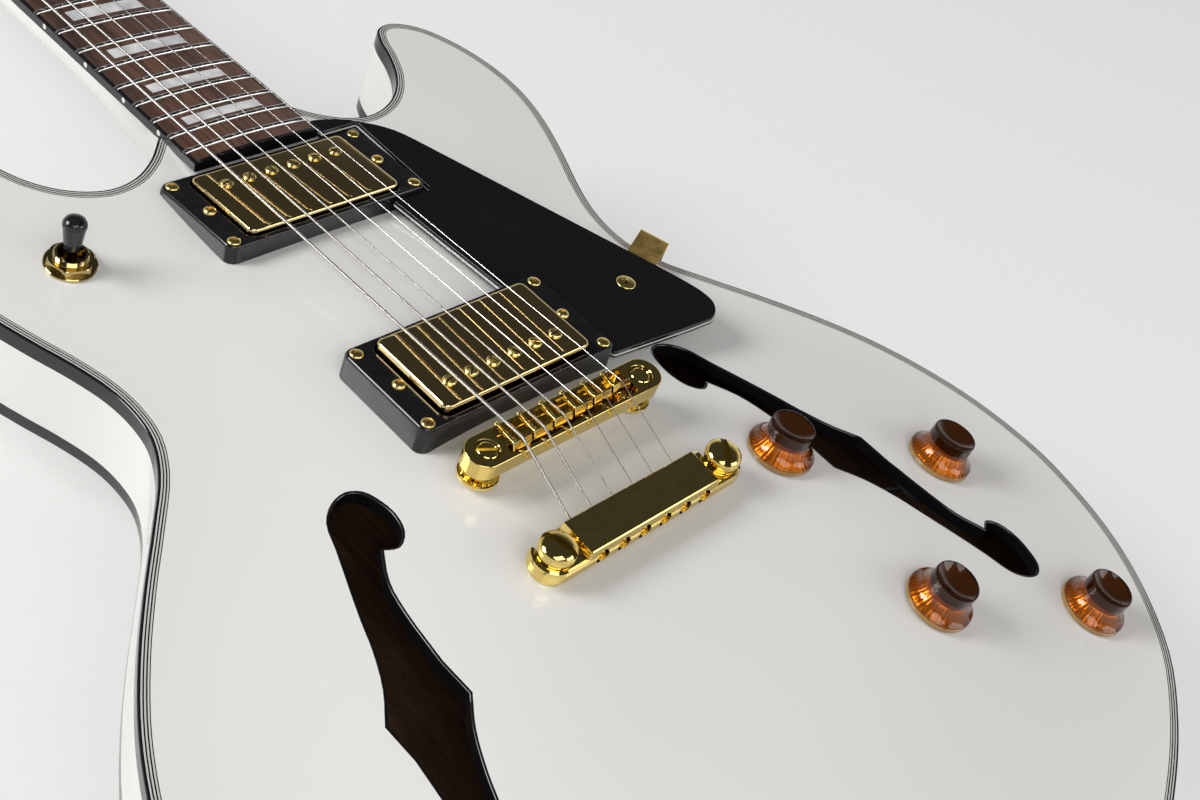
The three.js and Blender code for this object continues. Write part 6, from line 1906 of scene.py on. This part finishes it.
@dataclass
class Bridge:
    """Bridge: bar with its trough, saddles with their screws, and two slotted posts with thumbwheels."""

    width: float = 90.0
    depth: float = 13.8
    low: float = 19.4
    high: float = 26.4
    post_x: float = 36.8
    screw_z: float = 24.2
    wheel: Sequence[Triple] = (
        (5.6, 13.45, 0), (6.9, 13.6, 0), (7.35, 14.0, 0), (7.4, 14.6, 0), (7.2, 15.1, 0), (6.7, 15.3, 0),
        (5.4, 15.0, 0), (4.6, 15.3, 0), (4.1, 15.7, 0.25), (4.1, 18.6, 0.25), (3.8, 19.1, 0.1), (2.6, 19.2, 0),
    )

    def build_bar(self) -> None:
        """Makes the bar with its trough, post holes and screws."""
        outline = rounded_box(self.width, self.depth, 6.6, 10)
        form = plate(outline, soft_edge(self.low, self.high, 0.7, 4))
        trough = plate(rounded_box(61, 10.8, 1.2, 3), [(0.2, 21.0), (0, 21.2), (0, 30)])
        cuts = [trough]
        for side in (-1, 1):
            cuts.append(plate(circle(2.75, 28, side * self.post_x), [(0, 15), (0, 30)]))
            cuts.append(plate(circle(4.2, 28, side * self.post_x), [(0, 25.2), (0, 26.1), (-0.3, 26.5), (-0.3, 30)]))
        for index in range(6):
            x = string_x(index)
            cuts.append(tube([vec(x, -7.6, self.screw_z), vec(x, -6.3, self.screw_z)], 1.15, 16))
        form = carve(form, *cuts)
        for index in range(6):
            x = string_x(index)
            out = turn_about("X", -90)
            form.add(lathe([(0.7, -12.9), (0.85, -12.7), (0.85, 0)], 12).moved(shift(x, 6.4, self.screw_z) @ out))
            head = lathe([(1.6, 0), (1.7, 0.2), (1.7, 1.1), (1.3, 1.7), (0, 1.8)], 18)
            head = slotted(head, 5, 0.5, 0.9, 1.8, 20 + 47 * index)
            form.add(head.moved(shift(x, 6.5, self.screw_z) @ out))
        make_piece("bridge_bar", form, [GOLD], body="bridge", stands_for="bridge_body")

    def build_saddle(self, index: int) -> None:
        """Makes one saddle, with its notched ridge and its bore.

        Args:
            index: the string's number.
        """
        name, radius, y = STRING_NAMES[index], STRING_RADII[index], SADDLE_ROWS[index]
        x, top = string_x(index), Strings.saddle_top + radius / 2
        line = [(-1.95, 21.3), (1.95, 21.3), (1.95, 25.5), (0.3, top), (-0.3, top), (-1.95, 25.5)]
        line = soften(line, [0.3, 0.3, 0.3, 0.15, 0.15, 0.3], 2, True)
        rings = [[vec(x - 4.3 + step, y + p.x * slim, 24.5 + (p.y - 24.5) * slim) for p in reversed(line)]
                 for step, slim in ((0, 0.94), (0.3, 1), (8.3, 1), (8.6, 0.94))]
        form = Form().skin(rings)
        half = radius + 0.25
        notch = [vec(x - half * 1.3, y, 30), vec(x - radius, y, 27.9), vec(x + radius, y, 27.9),
                 vec(x + half * 1.3, y, 30)]
        cut = Form().skin([[p + vec(0, 4, 0) for p in notch], [p - vec(0, 4, 0) for p in notch]])
        bore = tube([vec(x, y - 5, self.screw_z), vec(x, y + 5, self.screw_z)], 1.15, 16)
        make_piece(f"saddle_piece_{name}", carve(form, cut, bore), [GOLD], body=f"saddle_{name}",
                   stands_for=f"bridge_saddle_{name}", sharp=0.4)

    def build_post(self, side: int) -> None:
        """Makes one threaded post with its knurled wheel.

        Args:
            side: 1 on the treble side, -1 on the bass side.
        """
        thread = [(2.3, -4)]
        z = -3.6
        while z < 13.2:
            thread += [(2.5, z), (2.9, z + 0.35)]
            z += 0.7
        upper, z = [(3.3, 16.7), (2.2, 16.9)], 17.0
        while z < 24.6:
            upper += [(2.15, z), (2.4, z + 0.35)]
            z += 0.7
        line = thread + [(2.5, 13.6)] + upper + [(2.4, 25.0), (2.4, 25.45), (3.7, 25.45), (3.85, 25.6)]
        line += [(3.85, 26.1), (3.6, 26.35), (3.1, 26.35), (2.95, 26.15), (0, 26.1)]
        form = slotted(lathe(line, 32), 9, 1.2, 0.8, 26.3, 25 * side)
        form.add(grooved(self.wheel, 96, lambda k: k % 3 == 1))
        name = "bass" if side < 0 else "treble"
        make_piece(f"threaded_post_{name}", form, [GOLD], at=shift(side * self.post_x, 0, 0), body=f"post_{name}",
                   stands_for=f"bridge_post_{name}")

    def build(self) -> None:
        """Makes the bridge's pieces."""
        self.build_bar()
        for index in range(6):
            self.build_saddle(index)
        for side in (-1, 1):
            self.build_post(side)


@dataclass
class Tailpiece:
    """Stop tailpiece with its two studs."""

    y: float = -40.2
    half: float = 49.0
    lobe_half: float = 40.65
    low: float = 14.6
    high: float = 22.8
    lobe_top: float = 20.0
    hole_z: float = 18.2
    stud_top: float = 26.4
    ends: Profile = ((34.6, 1.0), (32.8, 1.0), (32.3, 0.93), (31.4, 0.06), (31.1, 0))
    stud: Profile = (
        (4.4, -4), (5, -3.4), (5, 11.9), (6.6, 12.3), (6.6, 13.9), (6.2, 14.3), (4, 14.3), (4, 20.1), (6.0, 20.1),
        (6.2, 20.3), (6.2, 20.9), (5.7, 21.2), (5.7, 21.5), (6.5, 21.6), (6.65, 21.9), (6.65, 23.6), (6.35, 24.5),
        (5.3, 25.4), (3.7, 26.0), (1.9, 26.3), (0, 26.4),
    )

    def bar_section(self, x: float, swell: float) -> Loop:
        """Section of the bar at one place: flat top, sloped front and rear, upright skirts.

        Args:
            x: its place across.
            swell: 1 in the lobes, 0 in the raised middle.

        Returns:
            Its points.
        """
        top = self.high - (self.high - self.lobe_top) * swell
        line = [(7.6, 15.6), (7.95, 16.4), (7.9, 17.2), (7.05, top - 0.3), (6.7, top), (-6.7, top),
                (-7.05, top - 0.3), (-7.9, 17.2), (-7.95, 16.4), (-7.6, 15.6), (-6.6, self.low), (6.6, self.low)]
        return [vec(x, p[0], p[1]) for p in line]

    def build_bar(self) -> None:
        """Makes the bar between its two lower, rounded lobes."""
        edge = [(0.8, self.low), (0, self.low + 0.8), (0.1, 18.4), (0.5, self.lobe_top - 0.5), (1.3, self.lobe_top)]
        lobes = plate(rounded_box(98, 16, 7.9, 12), edge)
        stations = [(-x, swell) for x, swell in self.ends] + list(reversed(self.ends))
        middle = Form().skin([self.bar_section(x, swell) for x, swell in stations])
        form = carve(lobes, middle, join=True)
        cuts = []
        for side in (-1, 1):
            slot = [vec(side * self.lobe_half + dx, dy) for dx, dy in ((-4.4, 12), (-4.4, 0))]
            slot += circle(4.4, 32, side * self.lobe_half)[16:]
            slot += [vec(side * self.lobe_half + 4.4, 12)]
            unique = [p for k, p in enumerate(slot) if (p - slot[k - 1]).length > 1e-4]
            cuts.append(plate(unique, [(0, 10), (0, 22)]))
        for index in range(6):
            x = string_x(index)
            cuts.append(tube([vec(x, -9, self.hole_z), vec(x, 9, self.hole_z)], 1.6, 16))
            cuts.append(tube([vec(x, -9, self.hole_z - 0.3), vec(x, -2.4, self.hole_z - 0.3)], 2.8, 24))
        form = carve(form, *cuts)
        make_piece("stop_tailpiece", form, [GOLD], at=shift(0, self.y, 0), stands_for="tailpiece", sharp=0.3)

    def build_stud(self, side: int) -> None:
        """Makes one stud with its bushing and wide slotted head.

        Args:
            side: 1 on the treble side, -1 on the bass side.
        """
        form = slotted(lathe(self.stud, 48), 16, 2.4, 2.2, self.stud_top, 53 if side > 0 else -73)
        name = "bass" if side < 0 else "treble"
        make_piece(f"stud_{name}", form, [GOLD], at=shift(side * self.lobe_half, self.y, 0),
                   stands_for=f"tailpiece_stud_{name}")

    def build(self) -> None:
        """Makes the tailpiece and its studs."""
        self.build_bar()
        for side in (-1, 1):
            self.build_stud(side)


# Pickups, guard and controls


@dataclass
class Pickup:
    """One humbucking pickup in its ring."""

    name: str
    y: float
    z: float
    tilt: float
    rise: float
    pole_y: float
    arch: Arch
    walls: tuple = (
        (92.6, 45.2, 4.2, None), (92, 44.6, 4, -1.0), (91.4, 44, 3.8, -0.3), (90.6, 43.2, 3.5, 0),
        (72.4, 40.8, 4.5, 0), (71.4, 39.8, 4.1, -0.25), (71, 39.4, 4, -0.8), (71, 39.4, 4, None),
    )

    def place(self) -> Matrix:
        """Frame of the ring's upper face."""
        return shift(0, self.y, self.z) @ turn_about("X", self.tilt)

    def build_ring(self) -> None:
        """Makes the ring, seated on the arch, with its corner and height screws."""
        rings = []
        back = self.place().inverted()
        for wide, tall, corner, height in self.walls:
            ring = []
            for p in rounded_box(wide, tall, corner, 6, 10):
                if height is None:
                    foot = self.place() @ vec(p.x, p.y, 0)
                    low = back @ vec(foot.x, foot.y, self.arch.top(foot.x, foot.y) + 0.1)
                ring.append(vec(p.x, p.y, min(low.z, -1.4) if height is None else height))
            rings.append(ring)
        form = Form().skin(rings, round_trip=True)
        for x in (-41.95, 41.95):
            for y in (-18.65, 18.65):
                form.add(cross_screw(2.5, 0.95, 1), shift(x, y, 0) @ turn_about("Z", x + y))
        for x in (-38.9, 38.9):
            form.add(cross_screw(2.5, 1.5, 1), shift(x, 0, 0) @ turn_about("Z", 2 * x))
            form.add(lathe([(1.2, -20), (1.2, 0.2)], 14, 1), shift(x, 0, 0))
        make_piece(f"{self.name}_ring", form, (RING_BLACK, GOLD_SCREW), at=self.place(),
                   stands_for=f"{self.name}_pickup_ring")

    def build_unit(self) -> None:
        """Makes the pickup's cover, base plate with ears, and pole screws."""
        line = soften([(0, -15), (0, self.rise), (6, self.rise)], 1.9, 5)
        loop = rounded_box(69.6, 38, 3, 8)
        form = plate(loop, [(p.x, p.y) for p in line[:-1]])
        ears = [Vector(p) for p in ((-43, -6.5), (43, -6.5), (43, 6.5), (-43, 6.5))]
        holes = [circle(1.6, 16, side * 38.9) for side in (-1, 1)]
        form.add(plate(soften(ears, 2.5, 4, True), [(0, -17), (0, -15.2)], holes), tone=1)
        for index in range(6):
            x = string_x(index, POLE_SPREAD)
            head = lathe([(2.3, -0.4), (2.5, -0.1), (2.5, 0.35), (2.1, 0.75), (1, 0.88), (0, 0.9)], 24, 1)
            head = slotted(head, 6, 0.75, 0.5, 0.9, 34 * index + 12)
            form.add(head, shift(x, self.pole_y, self.rise))
        make_piece(f"{self.name}_unit", form, (GOLD_COVER, GOLD_SCREW), at=self.place(), body=f"pickup_{self.name}",
                   stands_for=f"{self.name}_pickup")

    def build(self) -> None:
        """Makes the pickup and its ring."""
        self.build_ring()
        self.build_unit()


@dataclass
class Guard:
    """Layered guard beside the strings, with its screw, and the bracket over the side."""

    plies: tuple = ((-2.6, -1.85, 0), (-1.85, -1.15, 1), (-1.15, 0, 0))
    outline: tuple = (
        (46.6, 18), (85, 14.2), (98.4, 13.4), (103, 15.8), (106.4, 20.5), (106.4, 28), (102.8, 40), (58.6, 161),
        (42.5, 173.4), (31.8, 176.8), (29.2, 176.8), (29.2, 168.3), (46.6, 168.3), (46.6, 122.5),
        (27.8, 122.5), (32.6, 63.2), (46.6, 63.2),
    )
    reaches: tuple = (2, 9, 5, 4, 4, 5, 9, 14, 8, 2, 1, 1, 1, 1, 1, 1, 1)
    tail_y: float = 40.0

    def build(self) -> None:
        """Makes the guard and its bracket."""
        at = shift(0, self.tail_y, 13.2) @ turn_about("X", -4.1)
        loop = soften([(x, y - self.tail_y) for x, y in self.outline], self.reaches, 5, True)
        form = Form()
        for low, high, tone in self.plies:
            slope = [(0.45 * (1 + low / 2.6), low), (0.45 * (1 + high / 2.6), high)]
            if not high:
                slope[1:] = [(0.42, -0.2), (0.6, 0)]
            form.add(plate(loop, slope, tones=(tone, tone, tone)))
        form.add(cross_screw(3.9, 0.8, 2), shift(80.4, 5, 0) @ turn_about("Z", 30))
        make_piece("guard", form, (GUARD_BLACK, PLY_WHITE, GOLD_SCREW), at=at, stands_for="pickguard")
        line = soften([(-46.3, 6.7), (-46.3, 8.3), (2.7, 8.3), (2.7, -21.7), (1.1, -21.7), (1.1, 6.7)],
                      [0.2, 0.2, 2.4, 0.3, 0.3, 0.9], 5, True)
        rings = [[vec(p.x, y, p.y) for p in line] for y in (-6.3, -6.1, 6.1, 6.3)]
        for ring, slim in zip(rings, (0.985, 1, 1, 0.985)):
            for p in ring:
                p.z = 8 + (p.z - 8) * slim
        strap = Form().skin(rings)
        strap.add(cross_screw(2.6, 1.1), shift(2.7, 0, -15) @ turn_about("Y", 90))
        make_piece("guard_bracket", strap, [GOLD_STRAP], at=shift(115.99, 61.6, 0) @ turn_about("Z", 24.4),
                   stands_for="pickguard_bracket")


@dataclass
class Knob:
    """Clear top-hat knob with a foil under its flare and a dark core."""

    name: str
    flutes: int = 40
    shell: Profile = (
        (0, 2.3), (12.5, 2.3), (12.75, 2.6), (12.6, 3.1), (11.6, 3.7), (10.6, 4.6), (9.7, 5.9), (9.1, 7.3), (8.7, 8.6),
        (8.65, 13.0), (8.45, 13.5), (8.05, 13.6), (7.7, 13.35), (6.4, 12.4), (4.4, 11.5), (2.0, 11.0), (0, 10.9),
    )
    core: Profile = (
        (0, 9.2), (7.9, 9.2), (8.2, 9.4), (8.2, 12.8), (7.7, 12.6), (6.3, 11.8), (4.3, 10.9), (2.0, 10.4), (0, 10.3),
    )
    collar: Profile = ((0, 7.5), (7.9, 7.5), (8.0, 9.1), (0, 9.1))
    foil: Sequence[Triple] = (
        (7.5, 2.4, 0), (12.1, 2.4, 0), (11.9, 2.8, 0.1), (10.8, 3.7, 0.1), (9.8, 4.8, 0.1), (8.9, 6.3, 0.08),
        (8.0, 7.6, 0),
    )
    edge: Profile = ((11.6, 0.5), (12.5, 0.5), (12.85, 0.9), (12.75, 2.0), (12.4, 2.25), (11.6, 2.25))
    shaft: Profile = ((3, -9), (3, 2.35))

    def build(self) -> None:
        """Makes the knob round its shaft."""
        form = lathe(self.shell, 72)
        form.add(lathe(self.core, 60, 1)).add(lathe(self.collar, 60, 5))
        form.add(grooved(self.foil, self.flutes * 4, lambda k: k % 4 < 2, 2))
        form.add(lathe(self.edge, 72, 3)).add(lathe(self.shaft, 20, 4))
        make_piece(f"{self.name}_cap", form, (AMBER, KNOB_CORE, KNOB_FOIL, AMBER_EDGE, STEEL, KNOB_BAND),
                   at=joint_seat(f"{self.name}_turn"), body=f"knob_{self.name}", stands_for=f"{self.name}_knob")


def hex_nut(across: float, low: float, high: float, bore: float) -> Form:
    """Hexagon nut with turned corners.

    Args:
        across: its radius over the corners.
        low: height of its underside.
        high: height of its upper side.
        bore: radius of its bore.

    Returns:
        The form.
    """
    def reach(angle: float) -> float:
        """Radius of a hexagon of radius 1 at an angle."""
        return cos(pi / 6) / cos((angle + pi / 6) % (pi / 3) - pi / 6)

    sides = 48
    angles = [2 * pi * k / sides for k in range(sides)]
    rows = [lofted(circle(bore, sides), low)]
    for z, share in ((low, 0.97), (low + 0.25, 1), (high - 0.7, 1), (high - 0.3, 0.955), (high, 0.9)):
        radii = [min(across * reach(a), across * share) for a in angles]
        rows.append([vec(r * cos(a), r * sin(a), z) for r, a in zip(radii, angles)])
    return Form().skin([*rows, lofted(circle(bore, sides), high)], round_trip=True)


def grooved(rows: Sequence[Triple], sides: int, cut: Callable[[int], bool], tone: int = 0) -> Form:
    """Turned form with grooves along it.

    Args:
        rows: radius, height and depth of the grooves at each ring, upwards.
        sides: number of sides.
        cut: whether a side lies in a groove.
        tone: the finish's number.

    Returns:
        The form, round the z axis.
    """
    rings = []
    for radius, z, groove in rows:
        spots = [(radius - groove * cut(k), 2 * pi * k / sides) for k in range(sides)]
        rings.append([vec(r * cos(a), r * sin(a), z) for r, a in spots])
    return Form().skin(rings, tone)


def turned_ring(wall: Profile, bore: float, sides: int, tone: int = 0) -> Form:
    """Turned ring with a bore.

    Args:
        wall: radius and height of each line of its outside, upwards.
        bore: radius of its bore.
        sides: number of sides.
        tone: the finish's number.

    Returns:
        The form.
    """
    loop = [(bore, wall[0][1]), *wall, (bore, wall[-1][1])]
    return Form().skin([lofted(circle(radius, sides), z) for radius, z in loop], tone, round_trip=True)


@dataclass
class Switch:
    """Toggle switch with its washer, nut and lever."""

    arch: Arch
    x: float = -93.8
    y: float = 146.0
    stem: Profile = ((0, -6), (1.7, -5.6), (1.7, 2), (1.9, 9.6), (2.3, 10.2))
    tip: Profile = (
        (1.9, 9.9), (2.5, 10), (2.9, 10.3), (3.9, 19.3), (4.15, 20.2), (4.05, 21.3), (3.4, 22.5), (2.1, 23.2),
        (0, 23.4),
    )

    def build(self) -> None:
        """Makes the switch and its lever."""
        at = self.arch.on_top(self.x, self.y)
        form = turned_ring([(9.1, 0.05), (9.1, 0.75), (8.8, 1.0)], 5, 48)
        form.add(hex_nut(8.5, 1.0, 3.4, 5), turn_about("Z", 17))
        wall = [(6.0, -5.6), (6.0, 3.4)]
        for k in range(3):
            wall += [(5.7, 3.5 + 0.6 * k), (6.0, 3.8 + 0.6 * k)]
        form.add(turned_ring([*wall, (5.6, 5.4)], 4.7, 40))
        loop = rounded_box(30, 17, 1.5, 4)
        form.add(plate(loop, soft_edge(-25.6, -6.6, 0.8)), tone=1)
        make_piece("switch_base", form, (GOLD_DARK, STEEL), at=at, stands_for="switch_body")
        lever = lathe(self.stem, 28)
        lever.add(lathe(self.tip, 40, 1))
        pin = tube([vec(0, -5.4, 0), vec(0, 5.4, 0)], 0.9, 12)
        lever.add(pin)
        make_piece("lever_piece", lever, (GOLD, TIP_BLACK), at=at @ shift(0, 0, -2.5), body="lever",
                   stands_for="switch_lever", sharp=0.9)


@dataclass
class Hardware:
    """Output jack and strap buttons on the sides."""

    jack_place: Triple = (195.2, -92.79, -20.5)
    button_places: tuple = (("tail", 0, -243.4, 90), ("horn", -106, 221.3, -90))
    peg: Profile = (
        (2.1, -14), (2.1, -0.2), (6.0, 0.1), (6.4, 0.4), (6.4, 1.5), (5.4, 2.1), (4.3, 3.4), (4.2, 9.6), (5.2, 11.2),
        (7.3, 12.1), (7.6, 12.6), (7.6, 13.2), (7.1, 13.7), (3.4, 13.9), (3.0, 13.5), (0, 13.5),
    )

    def build_jack(self) -> None:
        """Makes the jack with its round plate and nut."""
        form = turned_ring([(11.8, 0.6), (12.4, 0.9), (12.4, 1.9), (11.6, 2.4)], 5, 56)
        form.add(hex_nut(7.6, 2.4, 4.6, 4.9))
        form.add(turned_ring([(4.7, -18), (4.7, 4.9), (4.4, 5.1)], 3.25, 36))
        form.add(turned_ring([(8.6, -25), (8.6, -12)], 3.25, 36, 1))
        make_piece("output_jack", form, (GOLD, STEEL), at=shift(*self.jack_place) @ turn_about("Y", 90),
                   stands_for="jack")

    def build_buttons(self) -> None:
        """Makes the strap buttons with their screws."""
        for name, x, y, turn in self.button_places:
            form = lathe(self.peg, 48)
            form.add(cross_screw(2.9, 1.2), shift(0, 0, 13.45))
            make_piece(f"strap_peg_{name}", form, [GOLD], at=shift(x, y, -20.75) @ turn_about("X", turn),
                       stands_for=f"strap_button_{name}")

    def build(self) -> None:
        """Makes the hardware of the sides."""
        self.build_jack()
        self.build_buttons()


# Stage


@dataclass
class Studio:
    """Pale floor and world, soft lamps and the camera."""

    focal: float = 48.57
    eye: Triple = (-344.204, -189.279, 398.444)
    ahead: Triple = (0.65187, 0.34096, -0.67735)
    upward: Triple = (0.33574, 0.67115, 0.66094)
    lamps: tuple = (
        ("key", (-1.3, 0.75, 1.2), (1.0, 0.7), 30.0),
        ("side", (0.8, -1.7, 0.8), (1.0, 0.7), 6.0),
        ("fill", (-0.6, -1.5, 1.5), (1.6, 1.0), 13.0),
    )
    sky: Pair = (0.75, 0.12)
    mirrored_sky: Pair = (0.85, 0.05)

    def build_floor(self) -> None:
        """Lays the flat round floor, which reaches far round the guitar."""
        rings = [[vec(0, 0, 0)]]
        for radius in (400, 900, 1600, 2600, 4000):
            rings.insert(0, lofted(circle(radius, 64), 0))
        thing = loose_object(Form().skin(rings, caps=False).moved(Matrix.Scale(MM, 4)), "studio_floor")
        thing.data.materials[0] = FLOOR.build()
        self.brighten(thing.data.materials[0].node_tree)

    def brighten(self, tree: Tree) -> None:
        """Lets mirror-like pieces see the floor as pale as the world.

        Args:
            tree: the floor's material.
        """
        desk = Desk(tree)
        rays = desk.add("ShaderNodeLightPath").outputs
        glossy = desk.math("MAXIMUM", rays["Is Glossy Ray"], rays["Is Transmission Ray"])
        through = desk.times(desk.math("MAXIMUM", rays["Is Camera Ray"], glossy), 0.5)
        glow = desk.add("ShaderNodeEmission", {"Color": rgba((0.92, 0.915, 0.905)), "Strength": 1.0})
        end = surface_end(tree)
        surface = end.links[0].from_socket
        both = desk.add("ShaderNodeMixShader", {0: through, 1: surface, 2: glow.outputs[0]})
        desk.feed(end, both.outputs[0])

    def build_world(self) -> None:
        """Makes the pale surroundings."""
        world = bpy.data.worlds.new("studio")
        bpy.context.scene.world = world
        world.use_nodes = True
        world.node_tree.nodes.clear()
        desk = Desk(world.node_tree)
        rays = desk.add("ShaderNodeLightPath").outputs
        seen = desk.math("MAXIMUM", rays["Is Camera Ray"], rays["Is Transmission Ray"])
        way = desk.add("ShaderNodeTexCoord").outputs["Generated"]
        rise = desk.add("ShaderNodeSeparateXYZ", {0: way}).outputs["Z"]
        lit = desk.spread(rise, 0.0, 0.8, *self.sky)
        mirrored = desk.spread(rise, 0.1, 0.5, *self.mirrored_sky)
        sky = desk.spread(rays["Is Glossy Ray"], 0.0, 1.0, lit, mirrored)
        strength = desk.spread(seen, 0.0, 1.0, sky, 0.92)
        light = desk.add("ShaderNodeBackground", {"Color": rgba((0.97, 0.975, 0.98)), "Strength": strength})
        desk.feed(desk.add("ShaderNodeOutputWorld").inputs["Surface"], light.outputs[0])

    def build_lamps(self) -> None:
        """Hangs the soft lamps, each turned to the guitar's middle."""
        for name, place, size, power in self.lamps:
            lamp = bpy.data.lights.new(name, "AREA")
            lamp.shape = "RECTANGLE"
            lamp.size, lamp.size_y = size
            lamp.energy = power
            thing = bpy.data.objects.new(name, lamp)
            bpy.context.scene.collection.objects.link(thing)
            away = Vector(place) - GUITAR.translation
            thing.matrix_world = seat(Vector(place), away)

    def build_camera(self) -> None:
        """Sets the camera at the photograph's angle."""
        camera = bpy.data.cameras.new("camera")
        camera.sensor_width = 36
        camera.lens = self.focal
        thing = bpy.data.objects.new("camera", camera)
        bpy.context.scene.collection.objects.link(thing)
        turn = GUITAR.to_3x3() * (1 / MM)
        ahead, upward = turn @ Vector(self.ahead), turn @ Vector(self.upward)
        matrix = Matrix((ahead.cross(upward), upward, -ahead)).transposed().to_4x4()
        matrix.translation = GUITAR @ Vector(self.eye)
        thing.matrix_world = matrix
        camera.clip_start = 0.02
        bpy.context.scene.camera = thing

    def build(self) -> None:
        """Makes the whole stage."""
        bpy.context.scene.view_settings.view_transform = "Standard"
        self.build_floor()
        self.build_world()
        self.build_lamps()
        self.build_camera()


def main() -> None:
    """Builds the stage and the guitar."""
    Studio().build()
    knobs = [(74.5, -45.2, 5.0), (141.5, -77.9, 5.0), (75.9, -122.1, 5.0), (142.4, -156.3, 5.0)]
    posts = [(side * Bridge.post_x, 0.0, 3.2) for side in (-1, 1)]
    studs = [(side * Tailpiece.lobe_half, Tailpiece.y, 5.3) for side in (-1, 1)]
    body = Body([*knobs, *posts, *studs, (Switch.x, Switch.y, 6.5)])
    body.build()
    Neck().build()
    Strings().build()
    for name, (side, row) in TUNERS.items():
        Tuner(name, side, row).build()
    Bridge().build()
    Tailpiece().build()
    Pickup("neck", 145.4, 5.6, -8.3, 2.2, 9.1, body.arch).build()
    Pickup("bridge", 40.3, 17.8, -4.9, 3.4, -9.1, body.arch).build()
    Guard().build()
    for name in ("neck_volume", "neck_tone", "bridge_volume", "bridge_tone"):
        Knob(name).build()
    Switch(body.arch).build()
    Hardware().build()
    dress_node("wiring_harness", WIRE_COAT)


if __name__ == "__main__":
    main()
